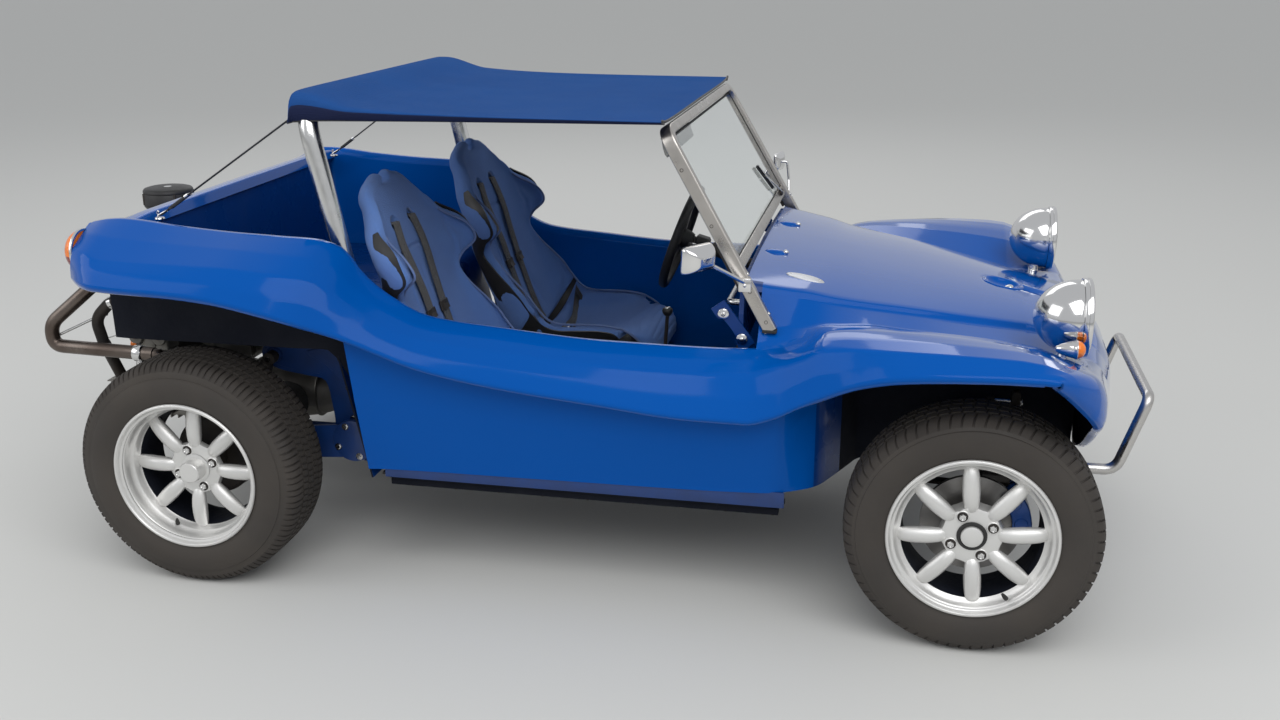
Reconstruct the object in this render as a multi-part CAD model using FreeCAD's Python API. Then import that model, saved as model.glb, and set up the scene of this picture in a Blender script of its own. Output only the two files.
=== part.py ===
"""Open two-seat dune buggy with a moulded body on a short floor pan.  Millimetres.

Frame: X forward, Y to the buggy's left, Z up, origin on the ground under the middle of its length.
"""
import FreeCAD, Part
import functools
import math
import os

from FreeCAD import Vector

# ---------------------------------------------------------------- driving dimensions
WHEELBASE = 2074.0
FRONT_OVERHANG = 460.0       # front axle to the foremost tube
REAR_OVERHANG = 556.0        # rear axle to the rearmost tube
FRONT_TRACK = 1240.0         # between tyre centres
REAR_TRACK = 1280.0
BODY_HALF_WIDTH = 835.0      # outer edge of the fenders
BODY_WALL = 8.0              # moulded skin
PAN_THICKNESS = 15.0
SEAM_GAP = 0.5               # between curved pieces that meet

FRONT_TYRE_RADIUS = 314.0
FRONT_TYRE_WIDTH = 196.0
REAR_TYRE_RADIUS = FRONT_TYRE_RADIUS + 8.0
REAR_TYRE_WIDTH = 222.0
RIM_RADIUS = 208.0           # outside of the flange
TYRE_BORE = 190.0            # seat of the tyre on the rim
SPOKE_COUNT = 8

KINGPIN_HALF = 540.0         # steering axis from the middle plane
HOOP_TUBE = 52.0
HOOP_HALF_WIDTH = 550.0
BUMPER_TUBE = 30.0
REAR_BUMPER_TUBE = 40.0
ROOF_HALF_WIDTH = 548.0
ROOF_CLOTH = 6.0
SEAT_WIDTH = 440.0
SEAT_OFFSET = 92.0 + SEAT_WIDTH / 2                      # seat middle, clear of the tunnel
CABIN_HALF_WIDTH = SEAT_OFFSET + SEAT_WIDTH / 2 + 68.0   # cockpit rim
STEERING_WHEEL_RADIUS = 172.0
STEERING_SIDE = 330.0        # steering wheel middle from the middle plane

LENGTH = FRONT_OVERHANG + WHEELBASE + REAR_OVERHANG      # front bumper to rear bumper
FRONT_X = LENGTH / 2 - FRONT_OVERHANG
REAR_X = FRONT_X - WHEELBASE
FRONT_Z = FRONT_TYRE_RADIUS
REAR_Z = REAR_TYRE_RADIUS
PAN_TOP = FRONT_Z - 14.0     # floor surface
PAN_BOTTOM = PAN_TOP - PAN_THICKNESS


# ---------------------------------------------------------------- helpers
def front(offset):
    """X of a point measured from the front axle."""
    return FRONT_X + offset


def rear(offset):
    """X of a point measured from the rear axle."""
    return REAR_X + offset


def up(offset):
    """Z of a point measured from the floor surface."""
    return PAN_TOP + offset


def box(x0, x1, y0, y1, z0, z1):
    return Part.makeBox(x1 - x0, y1 - y0, z1 - z0, Vector(x0, y0, z0))


def rod(start, end, radius):
    direction = end.sub(start)
    return Part.makeCylinder(radius, direction.Length, start, direction)


def fuse(shapes):
    solid = shapes[0]
    for shape in shapes[1:]:
        solid = solid.fuse(shape)
    return solid.removeSplitter()


def mirror(shape):
    return shape.mirror(Vector(0, 0, 0), Vector(0, 1, 0))


def largest(shape):
    return max(shape.Solids, key=lambda solid: solid.Volume)


def seat_on(shape, *carriers):
    """A piece trimmed to the surfaces that carry it."""
    for carrier in carriers:
        shape = shape.cut(carrier)
    return largest(shape)


def both(shape):
    """A piece and its mirror image as one shape of separate solids."""
    return Part.makeCompound([shape, mirror(shape)])


def bent_tube(points, bend, radius):
    """Round tube along straight runs joined by tangent arcs."""
    edges = []
    last = points[0]
    for before, corner, after in zip(points, points[1:], points[2:]):
        arrive = corner.sub(before).normalize()
        leave = after.sub(corner).normalize()
        half = arrive.getAngle(leave) / 2
        cut = bend * math.tan(half)
        begin = corner.sub(arrive * cut)
        finish = corner.add(leave * cut)
        inward = leave.sub(arrive).normalize()
        centre = corner.add(inward * (bend / math.cos(half)))
        middle = centre.sub(inward * bend)
        edges.append(Part.LineSegment(last, begin).toShape())
        edges.append(Part.Arc(begin, middle, finish).toShape())
        last = finish
    edges.append(Part.LineSegment(last, points[-1]).toShape())
    path = Part.Wire(edges)
    ring = Part.Wire(Part.makeCircle(radius, points[0], points[1].sub(points[0])))
    return path.makePipeShell([ring], True, True)


def offset_line(points, wall):
    """Points moved sideways by the wall, to the right of the direction of travel."""
    moved = []
    for index in range(len(points)):
        normals = []
        if index > 0:
            normals.append(right_normal(points[index - 1], points[index]))
        if index < len(points) - 1:
            normals.append(right_normal(points[index], points[index + 1]))
        u = sum(n[0] for n in normals) / len(normals)
        v = sum(n[1] for n in normals) / len(normals)
        scale = wall / (u * u + v * v)
        moved.append((points[index][0] + u * scale, points[index][1] + v * scale))
    return moved


def right_normal(start, end):
    du = end[0] - start[0]
    dv = end[1] - start[1]
    size = math.hypot(du, dv)
    return dv / size, -du / size


def skin(stations, wall, place):
    """Thin shell through open section lines, each at its own station."""
    wires = []
    for station, line in stations:
        ring = line + offset_line(line, wall)[::-1]
        corners = [place(station, u, v) for u, v in ring]
        wires.append(Part.makePolygon(corners + corners[:1]))
    return Part.makeLoft(wires, True, True)


def across(x, y, z):
    """Station along X, section in the YZ plane."""
    return Vector(x, y, z)


def along(y, x, z):
    """Station along Y, section in the XZ plane."""
    return Vector(x, y, z)


def export(name, shape):
    shape.exportStep("parts/" + name + ".step")


# ---------------------------------------------------------------- body
# Heights are above the floor surface, half widths are inside the fender edge or the cockpit rim.
def cabin_section(crease_in, crease, mid, rim):
    half = CABIN_HALF_WIDTH
    return [(half + 5, 0), (half + 50, crease - 40), (BODY_HALF_WIDTH - crease_in, crease),
            (half + 65, mid), (half, rim), (half - 12, rim - 4), (half - 25, 0)]


# x, crease inset, crease height, middle height, rim height
CABIN = [
    (rear(474), 95, 420, 530, 575),
    (rear(624), 110, 360, 430, 470),
    (rear(864), 115, 325, 400, 440),
    (front(-950), 115, 295, 380, 420),
    (front(-670), 115, 270, 375, 420),
    (front(-500), 110, 285, 400, 440),
]

# x, edge inset, edge height, shoulder inset, shoulder height, crest half width, crest height, floor of the bin
REAR_FENDER = [
    (rear(474), 95, 420, 150, 530, 600, 575, 365),
    (rear(424), 60, 470, 110, 560, 622, 632, 365),
    (rear(260), 15, 510, 65, 610, 650, 670, 365),
    (rear(24), 0, 550, 55, 618, 650, 684, 365),
    (rear(-150), 10, 560, 55, 622, 650, 700, 365),
    (rear(-235), 75, 568, 95, 660, 650, 690, 560),
]

# x, edge inset, edge height, shoulder inset, shoulder height, crest inset, crest height,
# valley half width, valley height
FRONT_FENDER = [
    (front(-500), 110, 285, 170, 400, 235, 440, 565, 460),
    (front(-360), 85, 360, 115, 460, 175, 495, 530, 488),
    (front(-200), 35, 420, 65, 475, 145, 495, 490, 465),
    (front(0), 5, 450, 35, 485, 135, 490, 460, 440),
    (front(120), 5, 445, 35, 470, 135, 475, 440, 405),
]
FLANGE_WIDTH = 55.0          # lip under the hood's edge
FLANGE_DROP = 22.0
BIN_FLOOR = 365.0

# y, setback of the front, and the heights of the nose line from its top back edge to its lower edge
NOSE = [
    (0, 0, 462, 436, 372, 250, 185, 130),
    (180, 8, 454, 432, 372, 248, 185, 130),
    (300, 22, 440, 425, 366, 242, 185, 135),
    (440, 40, 405, 398, 355, 255, 200, 155),
    (560, 62, 440, 425, 375, 310, 280, 255),
    (700, 89, 475, 462, 430, 390, 345, 320),
    (BODY_HALF_WIDTH - 20, 110, 470, 460, 432, 410, 385, 372),
]
NOSE_FRONT = 365.0


def rear_section(row):
    x, edge_in, edge, shoulder_in, shoulder, crest_half, crest, floor = row
    width = BODY_HALF_WIDTH
    line = [(width - edge_in, edge), (width - shoulder_in, shoulder), (crest_half, crest),
            (crest_half - 35, crest - 15), (crest_half - 60, floor)]
    return x, [(y, up(z)) for y, z in line]


def front_section(row):
    x, edge_in, edge, shoulder_in, shoulder, crest_in, crest, valley_y, valley = row
    width = BODY_HALF_WIDTH
    line = [(width - edge_in, edge), (width - shoulder_in, shoulder), (width - crest_in, crest),
            (valley_y, valley), (valley_y - FLANGE_WIDTH, valley - FLANGE_DROP)]
    return x, [(y, up(z)) for y, z in line]


def nose_section(row):
    y, setback, top, brow, face, middle, chin, foot = row
    reach = NOSE_FRONT - setback
    line = [(120, top), (reach - 105, brow), (reach - 30, face), (reach, middle),
            (reach - 8, chin), (reach - 30, foot)]
    return y, [(front(x), up(z)) for x, z in line]


@functools.cache
def body_tub():
    cabin_rows = []
    for x, crease_in, crease, mid, rim in CABIN:
        cabin_rows.append((x, [(y, up(z)) for y, z in cabin_section(crease_in, crease, mid, rim)]))
    side = skin(cabin_rows, -BODY_WALL, across)
    rear_side = skin([rear_section(row) for row in REAR_FENDER], -BODY_WALL, across)
    front_side = skin([front_section(row) for row in FRONT_FENDER], -BODY_WALL, across)
    nose = skin([nose_section(row) for row in NOSE], BODY_WALL, along)
    half = fuse([side, rear_side, front_side, nose, wheel_well()] + end_panels())
    tub = fuse([half, mirror(half), rear_bin(), rear_deck(), bulkheads()])
    for piece in (tunnel(SEAM_GAP), floor_pan(), hoop_tube(SEAM_GAP), column_tube(COLUMN_RADIUS + SEAM_GAP)):
        tub = tub.cut(piece)
    return largest(tub)


def closing_plate(x, line, reach):
    ring = [Vector(x, y, z) for y, z in line]
    return Part.Face(Part.makePolygon(ring + ring[:1])).extrude(Vector(reach, 0, 0))


def end_panels():
    """Plates that close the tail, which carries the lamp, and both ends of the side's hollow."""
    x, tail = rear_section(REAR_FENDER[-1])
    plates = [closing_plate(x, tail, -BODY_WALL)]
    for row, reach in ((CABIN[0], BODY_WALL), (CABIN[-1], -BODY_WALL)):
        line = [(y, up(z)) for y, z in cabin_section(*row[1:])]
        plates.append(closing_plate(row[0], line, reach))
    return plates


# plan line of the front wheel's inner wall, then its outline seen from the side
WELL_PLAN = [(-500, 592), (-410, 560), (-290, 335), (335, 335)]
WELL_SIDE = [(-510, 0), (-405, 0), (-260, 205), (335, 205), (335, 300), (240, 380), (120, 400),
             (0, 440), (-290, 490), (-410, 462), (-510, 425)]


def wheel_well():
    ring = WELL_PLAN + offset_line(WELL_PLAN, BODY_WALL)[::-1]
    plan = [Vector(front(x), y, PAN_TOP) for x, y in ring]
    band = Part.Face(Part.makePolygon(plan + plan[:1])).extrude(Vector(0, 0, 520))
    return band.common(slab(WELL_SIDE, 0, BODY_HALF_WIDTH))


def rear_bin():
    """Firewall behind the seats, bin floor and the bin's rear wall, as one folded sheet."""
    half = CABIN_HALF_WIDTH - 12
    line = [(rear(480), up(0)), (rear(400), up(BIN_FLOOR)), (rear(-130), up(BIN_FLOOR)), (rear(-140), up(690))]
    return skin([(-half, line), (half, line)], BODY_WALL, along)


# y, then distances behind the rear axle and heights of the deck's front edge, back edge and lip
DECK = [
    (0, 140, 700, 315, 612, 320, 575),
    (300, 140, 700, 312, 614, 318, 575),
    (540, 140, 700, 275, 645, 284, 580),
    (628, 140, 698, 232, 682, 236, 590),
]


def rear_deck():
    half = [(y, [(rear(-a), up(b)), (rear(-c), up(d)), (rear(-e), up(f))]) for y, a, b, c, d, e, f in DECK]
    rows = [(-y, line) for y, line in half[:0:-1]] + half
    return skin(rows, BODY_WALL, along)


def bulkheads():
    """Toe board and front bulkhead under the windshield."""
    half = CABIN_HALF_WIDTH - 20
    line = [(front(-640), up(0)), (front(-500), up(120)), (front(-470), up(440))]
    return skin([(-half, line), (half, line)], -BODY_WALL, along)


# crease half width, middle height and crease height at each station of the front fender
HOOD = [(485, 575, 557), (450, 552, 528), (418, 524, 505), (350, 484, 462), (300, 462, 440)]
HOOD_BACK = (front(-590), 505, 586, 570, 560, 490)


def hood_line(crease_half, middle, crease, foot_half, foot):
    right = [(foot_half, up(foot)), (crease_half, up(crease)), (crease_half * 0.6, up(middle - 8))]
    left = [(-y, z) for y, z in right[::-1]]
    return right + [(0, up(middle))] + left


@functools.cache
def hood():
    """Hood moulding: crowned top, side crease and skirt that rests in the fender's valley."""
    rows = [(HOOD_BACK[0], hood_line(*HOOD_BACK[1:]))]
    for shape, row in zip(HOOD, FRONT_FENDER):
        foot_half = row[-2] - BODY_WALL
        rows.append((row[0], hood_line(*shape, foot_half, row[-1] + SEAM_GAP)))
    return largest(skin(rows, -BODY_WALL, across).cut(windshield_frame()).cut(body_tub()))


# ---------------------------------------------------------------- floor
TUNNEL_HALF = 62.0
TUNNEL_HEIGHT = 120.0
PAN_FRONT = front(-480)
PAN_REAR = rear(430)
PAN_HALF = CABIN_HALF_WIDTH + 5
SILL_WIDTH = 40.0
SILL_HEIGHT = 18.0
HEAD_HALF = 80.0
HEAD_HEIGHT = 62.0
HORN_HALF = 25.0
HORN_OFFSET = 185.0
HORN_TOP = PAN_BOTTOM - 5.0
HORN_DEPTH = 55.0


def tunnel(grow):
    return box(PAN_REAR, front(-440), -TUNNEL_HALF - grow, TUNNEL_HALF + grow,
               PAN_TOP - 5, PAN_TOP + TUNNEL_HEIGHT + grow)


@functools.cache
def floor_pan():
    plate = box(PAN_REAR, PAN_FRONT, -PAN_HALF, PAN_HALF, PAN_BOTTOM, PAN_TOP)
    spine = tunnel(0)
    head = box(front(-450), front(BEAM_X - BEAM_WEB), -HEAD_HALF, HEAD_HALF, PAN_BOTTOM, PAN_BOTTOM + HEAD_HEIGHT)
    parts = [plate, spine, head]
    for side in (-1, 1):
        edge = side * (PAN_HALF - SILL_WIDTH / 2)
        parts.append(box(PAN_REAR, PAN_FRONT, edge - SILL_WIDTH / 2, edge + SILL_WIDTH / 2,
                         PAN_BOTTOM - SILL_HEIGHT, PAN_BOTTOM))
    return fuse(parts)


# ---------------------------------------------------------------- windshield and dashboard
SHIELD_FOOT = Vector(front(-517), 0, up(470))
SHIELD_TOP_Z = up(955)
SHIELD_LEAN = 29.8
SHIELD_FOOT_HALF = 574.0
SHIELD_TOP_HALF = 545.0
SHIELD_RAIL = 26.0
SHIELD_DEPTH = 34.0
SHIELD_BAR_LOW = 165.0
SHIELD_BAR = 26.0
GLASS_THICKNESS = 5.0


def lean(shape):
    """Turn a flat piece drawn in the YZ plane back to the windshield's angle."""
    shape = shape.copy()
    shape.rotate(Vector(0, 0, 0), Vector(0, 1, 0), -SHIELD_LEAN)
    shape.translate(SHIELD_FOOT)
    return shape


def shield_length():
    return (SHIELD_TOP_Z - SHIELD_FOOT.z) / math.cos(math.radians(SHIELD_LEAN))


def shield_half(v):
    return SHIELD_FOOT_HALF + (SHIELD_TOP_HALF - SHIELD_FOOT_HALF) * v / shield_length()


def shield_plate(low, high, inset, depth):
    """Flat trapezoid between two distances up the rails."""
    ring = [Vector(0, -shield_half(low) + inset, low), Vector(0, shield_half(low) - inset, low),
            Vector(0, shield_half(high) - inset, high), Vector(0, -shield_half(high) + inset, high)]
    face = Part.Face(Part.makePolygon(ring + ring[:1]))
    plate = face.extrude(Vector(depth, 0, 0))
    plate.translate(Vector(-depth / 2, 0, 0))
    return plate


@functools.cache
def windshield_frame():
    top = shield_length()
    plate = shield_plate(0, top, 0, SHIELD_DEPTH)
    corners = [e for e in plate.Edges if abs(e.BoundBox.ZMin - top) < 1 and e.BoundBox.XLength > 1]
    plate = plate.makeFillet(55, corners)
    window = shield_plate(SHIELD_BAR_LOW + SHIELD_BAR, top - 30, SHIELD_RAIL, SHIELD_DEPTH + 4)
    gate = shield_plate(-5, SHIELD_BAR_LOW, SHIELD_RAIL, SHIELD_DEPTH + 4)
    return lean(plate.cut(window).cut(gate))


def windshield_glass():
    return lean(shield_plate(SHIELD_BAR_LOW + SHIELD_BAR + 0.3, shield_length() - 30.3,
                             SHIELD_RAIL + 0.3, GLASS_THICKNESS))


DASH_THICKNESS = 12.0
DASH_BOTTOM = 405.0
DASH_HALF = 530.0


def dashboard():
    """Panel that closes the hood's back edge."""
    x = HOOD_BACK[0]
    outline = hood_line(*HOOD_BACK[1:])[1:-1]
    outline = [(DASH_HALF, up(DASH_BOTTOM)), (DASH_HALF, up(500))] + outline
    outline += [(-DASH_HALF, up(500)), (-DASH_HALF, up(DASH_BOTTOM))]
    ring = [Vector(x, y, z) for y, z in outline]
    panel = Part.Face(Part.makePolygon(ring + ring[:1])).extrude(Vector(-DASH_THICKNESS, 0, 0))
    return seat_on(panel, column_tube(COLUMN_RADIUS + SEAM_GAP), windshield_frame())


# ---------------------------------------------------------------- roll hoop and soft top
RIDGE_Z = up(1037)
HOOP_SLOPE = 0.2155
HOOP_FOOT_X = rear(545)
HOOP_BEND = 110.0
HOOP_LEG_HALF = HOOP_HALF_WIDTH - 15
HOOP_TOP_Z = RIDGE_Z - ROOF_CLOTH - SEAM_GAP - HOOP_TUBE / 2
HOOP_TOP_X = HOOP_FOOT_X - HOOP_SLOPE * (HOOP_TOP_Z - PAN_TOP)
HOOP_PLATE = 3 * HOOP_TUBE / 26


def hoop_tube(grow):
    foot_z = PAN_TOP + HOOP_PLATE
    points = [Vector(HOOP_FOOT_X, -HOOP_LEG_HALF, foot_z), Vector(HOOP_TOP_X, -HOOP_LEG_HALF, HOOP_TOP_Z),
              Vector(HOOP_TOP_X, HOOP_LEG_HALF, HOOP_TOP_Z), Vector(HOOP_FOOT_X, HOOP_LEG_HALF, foot_z)]
    return bent_tube(points, HOOP_BEND, HOOP_TUBE / 2 + grow)


def roll_hoop():
    parts = [hoop_tube(0)]
    for side in (-1, 1):
        y = side * HOOP_LEG_HALF
        parts.append(box(HOOP_FOOT_X - 45, HOOP_FOOT_X + 45, y - 40, y + 40, PAN_TOP, PAN_TOP + 2 * HOOP_PLATE))
    return fuse(parts)


# y inset from the edge, heights below the ridge at windshield, middle, behind the seats, ridge, rear hem
ROOF = [
    (ROOF_HALF_WIDTH + 18, 65, 50, 22, 0, 75),
    (115, 65, 60, 37, 0, 75),
    (45, 67, 66, 48, 18, 80),
    (0, 74, 74, 72, 66, 92),
]


@functools.cache
def soft_top():
    """Stretched cloth over the windshield top and the hoop, with its hem turned down."""
    edge = ROOF_HALF_WIDTH + 18
    over = HOOP_TUBE / 2 + SEAM_GAP + ROOF_CLOTH
    rows = []
    for inset, shield, middle, behind, ridge, hem in ROOF:
        top = RIDGE_Z - ridge
        line = [(front(-792), RIDGE_Z - shield), (front(-1190), RIDGE_Z - middle), (rear(484), RIDGE_Z - behind),
                (HOOP_TOP_X + 0.42 * over, top), (HOOP_TOP_X - 0.42 * over, top),
                (HOOP_TOP_X - 1.02 * over, top - 0.25 * (hem - ridge)), (HOOP_TOP_X - 1.12 * over, RIDGE_Z - hem)]
        rows.append((edge - inset, line))
    half = skin(rows, -ROOF_CLOTH, along)
    return fuse([half, mirror(half)])


def soft_top_straps():
    top = Vector(HOOP_TOP_X - HOOP_TUBE / 2 - 8, 500, RIDGE_Z - 70)
    low = Vector(rear(-98), 556, up(690))
    run = low.sub(top)
    face = Part.Face(Part.makePolygon([top + Vector(-1.5, -12, 0), top + Vector(1.5, -12, 0),
                                       top + Vector(1.5, 12, 0), top + Vector(-1.5, 12, 0),
                                       top + Vector(-1.5, -12, 0)]))
    return both(seat_on(face.extrude(run), soft_top(), body_tub()))


# ---------------------------------------------------------------- seats
SEAT_SHELL = 10.0
SEAT_SETBACK = 36.0          # passenger's seat, slid back from the driver's
HEAD_HALF_WIDTH = 150.0      # seat back above the shoulders
SEAT_FOOT_X = (-1230, -980)
# distance from the front axle and height above the floor, from the cushion's front edge to the head
SEAT_LINE = [(-925, 95), (-1290, 62), (-1375, 150), (-1640, 795)]
CUSHION_TOP = [(-1325, 125), (-1262, 205), (-1130, 185), (-950, 245), (-925, 215)]
BACK_FRONT = [(-1622, 815), (-1565, 800), (-1335, 250), (-1290, 200), (-1330, 150)]
SEAT_SIDE = [(-935, 96), (-1290, 64), (-1375, 150), (-1560, 600), (-1380, 650), (-1400, 480),
             (-1330, 300), (-1240, 235), (-960, 215)]


def slab(outline, y0, y1):
    ring = [Vector(front(x), y0, up(z)) for x, z in outline]
    return Part.Face(Part.makePolygon(ring + ring[:1])).extrude(Vector(0, y1 - y0, 0))


def seat_shell(middle):
    """Bucket shell on two cross feet."""
    half = SEAT_WIDTH / 2
    line = [(front(x), up(z)) for x, z in SEAT_LINE]
    pan = skin([(middle - half, line), (middle + half, line)], -SEAT_SHELL, along)
    parts = [pan]
    for y in (middle - half, middle + half - SEAT_SHELL):
        parts.append(slab(SEAT_SIDE, y, y + SEAT_SHELL))
    shell = fuse(parts)
    feet = []
    for x in SEAT_FOOT_X:
        foot = box(front(x) - 20, front(x) + 20, middle - 150, middle + 150, PAN_TOP, up(110))
        feet.append(lowest(foot.cut(pan)))
    return fuse([shell] + feet)


def head_cut(middle):
    """The corners beside a seat's head."""
    return fuse([box(front(-1720), front(-1450), y, y + SEAT_WIDTH / 2, up(675), up(850))
                 for y in (middle + HEAD_HALF_WIDTH, middle - HEAD_HALF_WIDTH - SEAT_WIDTH / 2)])


def lowest(shape):
    return min(shape.Solids, key=lambda solid: solid.CenterOfMass.z)


def seat_pads(middle):
    """Cushion and back pad, each lying on the shell."""
    half = SEAT_WIDTH / 2 - SEAT_SHELL - SEAM_GAP
    seat = offset_line(SEAT_LINE, SEAM_GAP)
    hip = seat[1][0] + 0.35 * (seat[2][0] - seat[1][0]), seat[1][1] + 0.35 * (seat[2][1] - seat[1][1])
    heel = seat[1][0] + 0.45 * (seat[2][0] - seat[1][0]), seat[1][1] + 0.45 * (seat[2][1] - seat[1][1])
    cushion = slab([seat[0], seat[1], hip] + CUSHION_TOP, middle - half, middle + half)
    back = slab([heel, seat[2], seat[3]] + BACK_FRONT, middle - half, middle + half)
    return cushion, back.cut(cushion)


# ---------------------------------------------------------------- controls
COLUMN_RADIUS = 19.0
COLUMN_TILT = 19.0
WHEEL_HUB = Vector(front(-900), STEERING_SIDE, up(500))
COLUMN_AXIS = Vector(math.cos(math.radians(COLUMN_TILT)), 0, -math.sin(math.radians(COLUMN_TILT)))
COLUMN_START = 40.0          # from the wheel's middle to the column's end
COLUMN_LENGTH = 500.0
STEERING_RIM = 14.0


def column_tube(radius):
    start = WHEEL_HUB + COLUMN_AXIS * COLUMN_START
    return rod(start, start + COLUMN_AXIS * COLUMN_LENGTH, radius)


def steering_column():
    start = WHEEL_HUB + COLUMN_AXIS * COLUMN_START
    end = start + COLUMN_AXIS * COLUMN_LENGTH
    gearbox = rod(end, end + COLUMN_AXIS * 40, COLUMN_RADIUS + 14)
    return fuse([column_tube(COLUMN_RADIUS), gearbox])


def steering_wheel():
    rim = Part.makeTorus(STEERING_WHEEL_RADIUS - STEERING_RIM, STEERING_RIM)
    hub = Part.makeCylinder(32, COLUMN_START - SEAM_GAP + 2, Vector(0, 0, -2))
    parts = [rim, hub]
    for angle in (90, 210, 330):
        spoke = Part.makeBox(STEERING_WHEEL_RADIUS - STEERING_RIM, 26, 4, Vector(0, -13, -2))
        spoke.rotate(Vector(0, 0, 0), Vector(0, 0, 1), angle + 90)
        parts.append(spoke)
    wheel = fuse(parts)
    wheel.rotate(Vector(0, 0, 0), Vector(0, 1, 0), 90 + COLUMN_TILT)
    wheel.translate(WHEEL_HUB)
    return wheel


def gear_lever():
    foot = Vector(front(-895), 0, PAN_TOP + TUNNEL_HEIGHT)
    boot = Part.makeCone(34, 14, 45, foot)
    knob = Part.makeSphere(20, Vector(front(-935), 0, up(415)))
    lever = rod(foot + Vector(0, 0, 20), Vector(front(-935), 0, up(415)), 6)
    return fuse([boot, lever, knob])


def handbrake_lever():
    foot = Vector(front(-1130), 0, PAN_TOP + TUNNEL_HEIGHT)
    mount = box(foot.x - 30, foot.x + 30, -16, 16, foot.z, foot.z + 30)
    return fuse([mount, rod(foot + Vector(0, 0, 18), foot + Vector(175, 0, 50), 11)])


def pedals():
    """Floor plate with clutch, brake and accelerator pedals."""
    parts = [box(front(-745), front(-690), STEERING_SIDE - 130, STEERING_SIDE + 110, PAN_TOP, PAN_TOP + 12)]
    for y, width in ((STEERING_SIDE - 95, 50), (STEERING_SIDE, 50), (STEERING_SIDE + 85, 40)):
        parts.append(rod(Vector(front(-715), y, PAN_TOP + 6), Vector(front(-690), y, up(150)), 7))
        parts.append(box(front(-708), front(-694), y - width / 2, y + width / 2, up(125), up(185)))
    return fuse(parts)


# ---------------------------------------------------------------- lamps and mirrors
LAMP_X = front(262)
LAMP_Y = 460.0
LAMP_Z = up(517)
LAMP_RADIUS = 96.0
LAMP_DEPTH = 165.0
STALK_RADIUS = 15.0
TAIL_LAMP_RADIUS = 58.0


def turned(outline, place):
    """Solid of revolution about X from (x, radius) points."""
    ring = [Vector(x, 0, r) for x, r in outline]
    return Part.Face(Part.makePolygon(ring + ring[:1])).revolve(Vector(0, 0, 0), Vector(1, 0, 0), 360).translated(place)


def headlights():
    pod = [(-LAMP_DEPTH, 0), (-LAMP_DEPTH + 4, 25), (-125, 60), (-75, 84), (-25, 93), (-20, LAMP_RADIUS),
           (-2, LAMP_RADIUS), (0, LAMP_RADIUS - 6), (-12, LAMP_RADIUS - 9), (-12, 0)]
    place = Vector(LAMP_X, LAMP_Y, LAMP_Z)
    stalk_top = Vector(LAMP_X - 65, LAMP_Y, LAMP_Z - 75)
    stalk = rod(stalk_top, stalk_top - Vector(0, 0, 65), STALK_RADIUS)
    return both(fuse([turned(pod, place), seat_on(stalk, body_tub(), hood())]))


def headlight_lenses():
    lens = [(-11.5, 0), (-11.5, LAMP_RADIUS - 10), (-6, LAMP_RADIUS - 12), (6, 55), (10, 0)]
    return both(turned(lens, Vector(LAMP_X, LAMP_Y, LAMP_Z)))


def front_turn_signals():
    shell = [(-40, 0), (-38, 9), (0, 22), (14, 20), (26, 12), (30, 0)]
    place = Vector(front(205), LAMP_Y + 112, up(467))
    foot = rod(place + Vector(-20, 0, 0), place + Vector(-30, 0, -50), 6)
    return both(seat_on(fuse([turned(shell, place), foot]), body_tub()))


def tail_lamps():
    x = REAR_FENDER[-1][0] - BODY_WALL
    dome = [(0, 0), (0, TAIL_LAMP_RADIUS), (-14, TAIL_LAMP_RADIUS - 2), (-28, 44), (-36, 22), (-38, 0)]
    return both(turned(dome, Vector(x, 695, up(626))))


def mirrors():
    """Door-less rail mirrors: a long stalk on the driver's side, a short arm on the other."""
    right_head = box(-9, 9, -55, 55, -38, 38)
    right_head.rotate(Vector(0, 0, 0), Vector(0, 0, 1), -35)
    right_head.translate(Vector(front(-692), -668, up(668)))
    right_arm = rod(Vector(front(-584), -562, up(588)), Vector(front(-688), -655, up(662)), 7)
    left_head = box(-8, 8, -40, 40, -30, 30).translated(Vector(front(-622), 640, up(700)))
    left_arm = rod(Vector(front(-584), 562, up(588)), Vector(front(-618), 632, up(700)), 5)
    frame = windshield_frame()
    right = fuse([right_head, right_arm])
    left = fuse([left_head, left_arm])
    return Part.makeCompound([seat_on(right, frame), seat_on(left, frame)])


# ---------------------------------------------------------------- bumpers
def front_bumper():
    """One bent tube: both feet at the axle beam, a bar across at the front."""
    half = 292.0
    low = up(57)
    bar_x = front(FRONT_OVERHANG - BUMPER_TUBE / 2)
    points = [Vector(front(BEAM_X), -half, low), Vector(front(335), -half, low), Vector(bar_x, -half + 10, up(262)),
              Vector(bar_x, half - 10, up(262)), Vector(front(335), half, low),
              Vector(front(BEAM_X), half, low)]
    return seat_on(bent_tube(points, 45.0, BUMPER_TUBE / 2), front_axle_beam())


STAY_RADIUS = 12.0


def rear_bumper():
    """Rear hoop of tube: legs at the frame horns, side bends and an upper bar across."""
    half = 480.0
    back = FRONT_X + FRONT_OVERHANG - LENGTH + REAR_BUMPER_TUBE / 2
    low = up(275)
    points = [Vector(rear(-215), -half, low), Vector(back, -half, low + 8), Vector(back, -half, low + 70),
              Vector(rear(-410), -half + 60, up(465)), Vector(rear(-410), half - 60, up(465)),
              Vector(back, half, low + 70), Vector(back, half, low + 8), Vector(rear(-215), half, low)]
    parts = [bent_tube(points, 32.0, REAR_BUMPER_TUBE / 2)]
    for side in (-1, 1):
        top = Vector(rear(-222), side * half, low)
        foot = Vector(rear(-170), side * HORN_OFFSET, HORN_TOP - HORN_DEPTH / 2)
        stay = seat_on(rod(top, foot, STAY_RADIUS), rear_torsion_housing())
        parts.append(stay)
    return fuse(parts)


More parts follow.
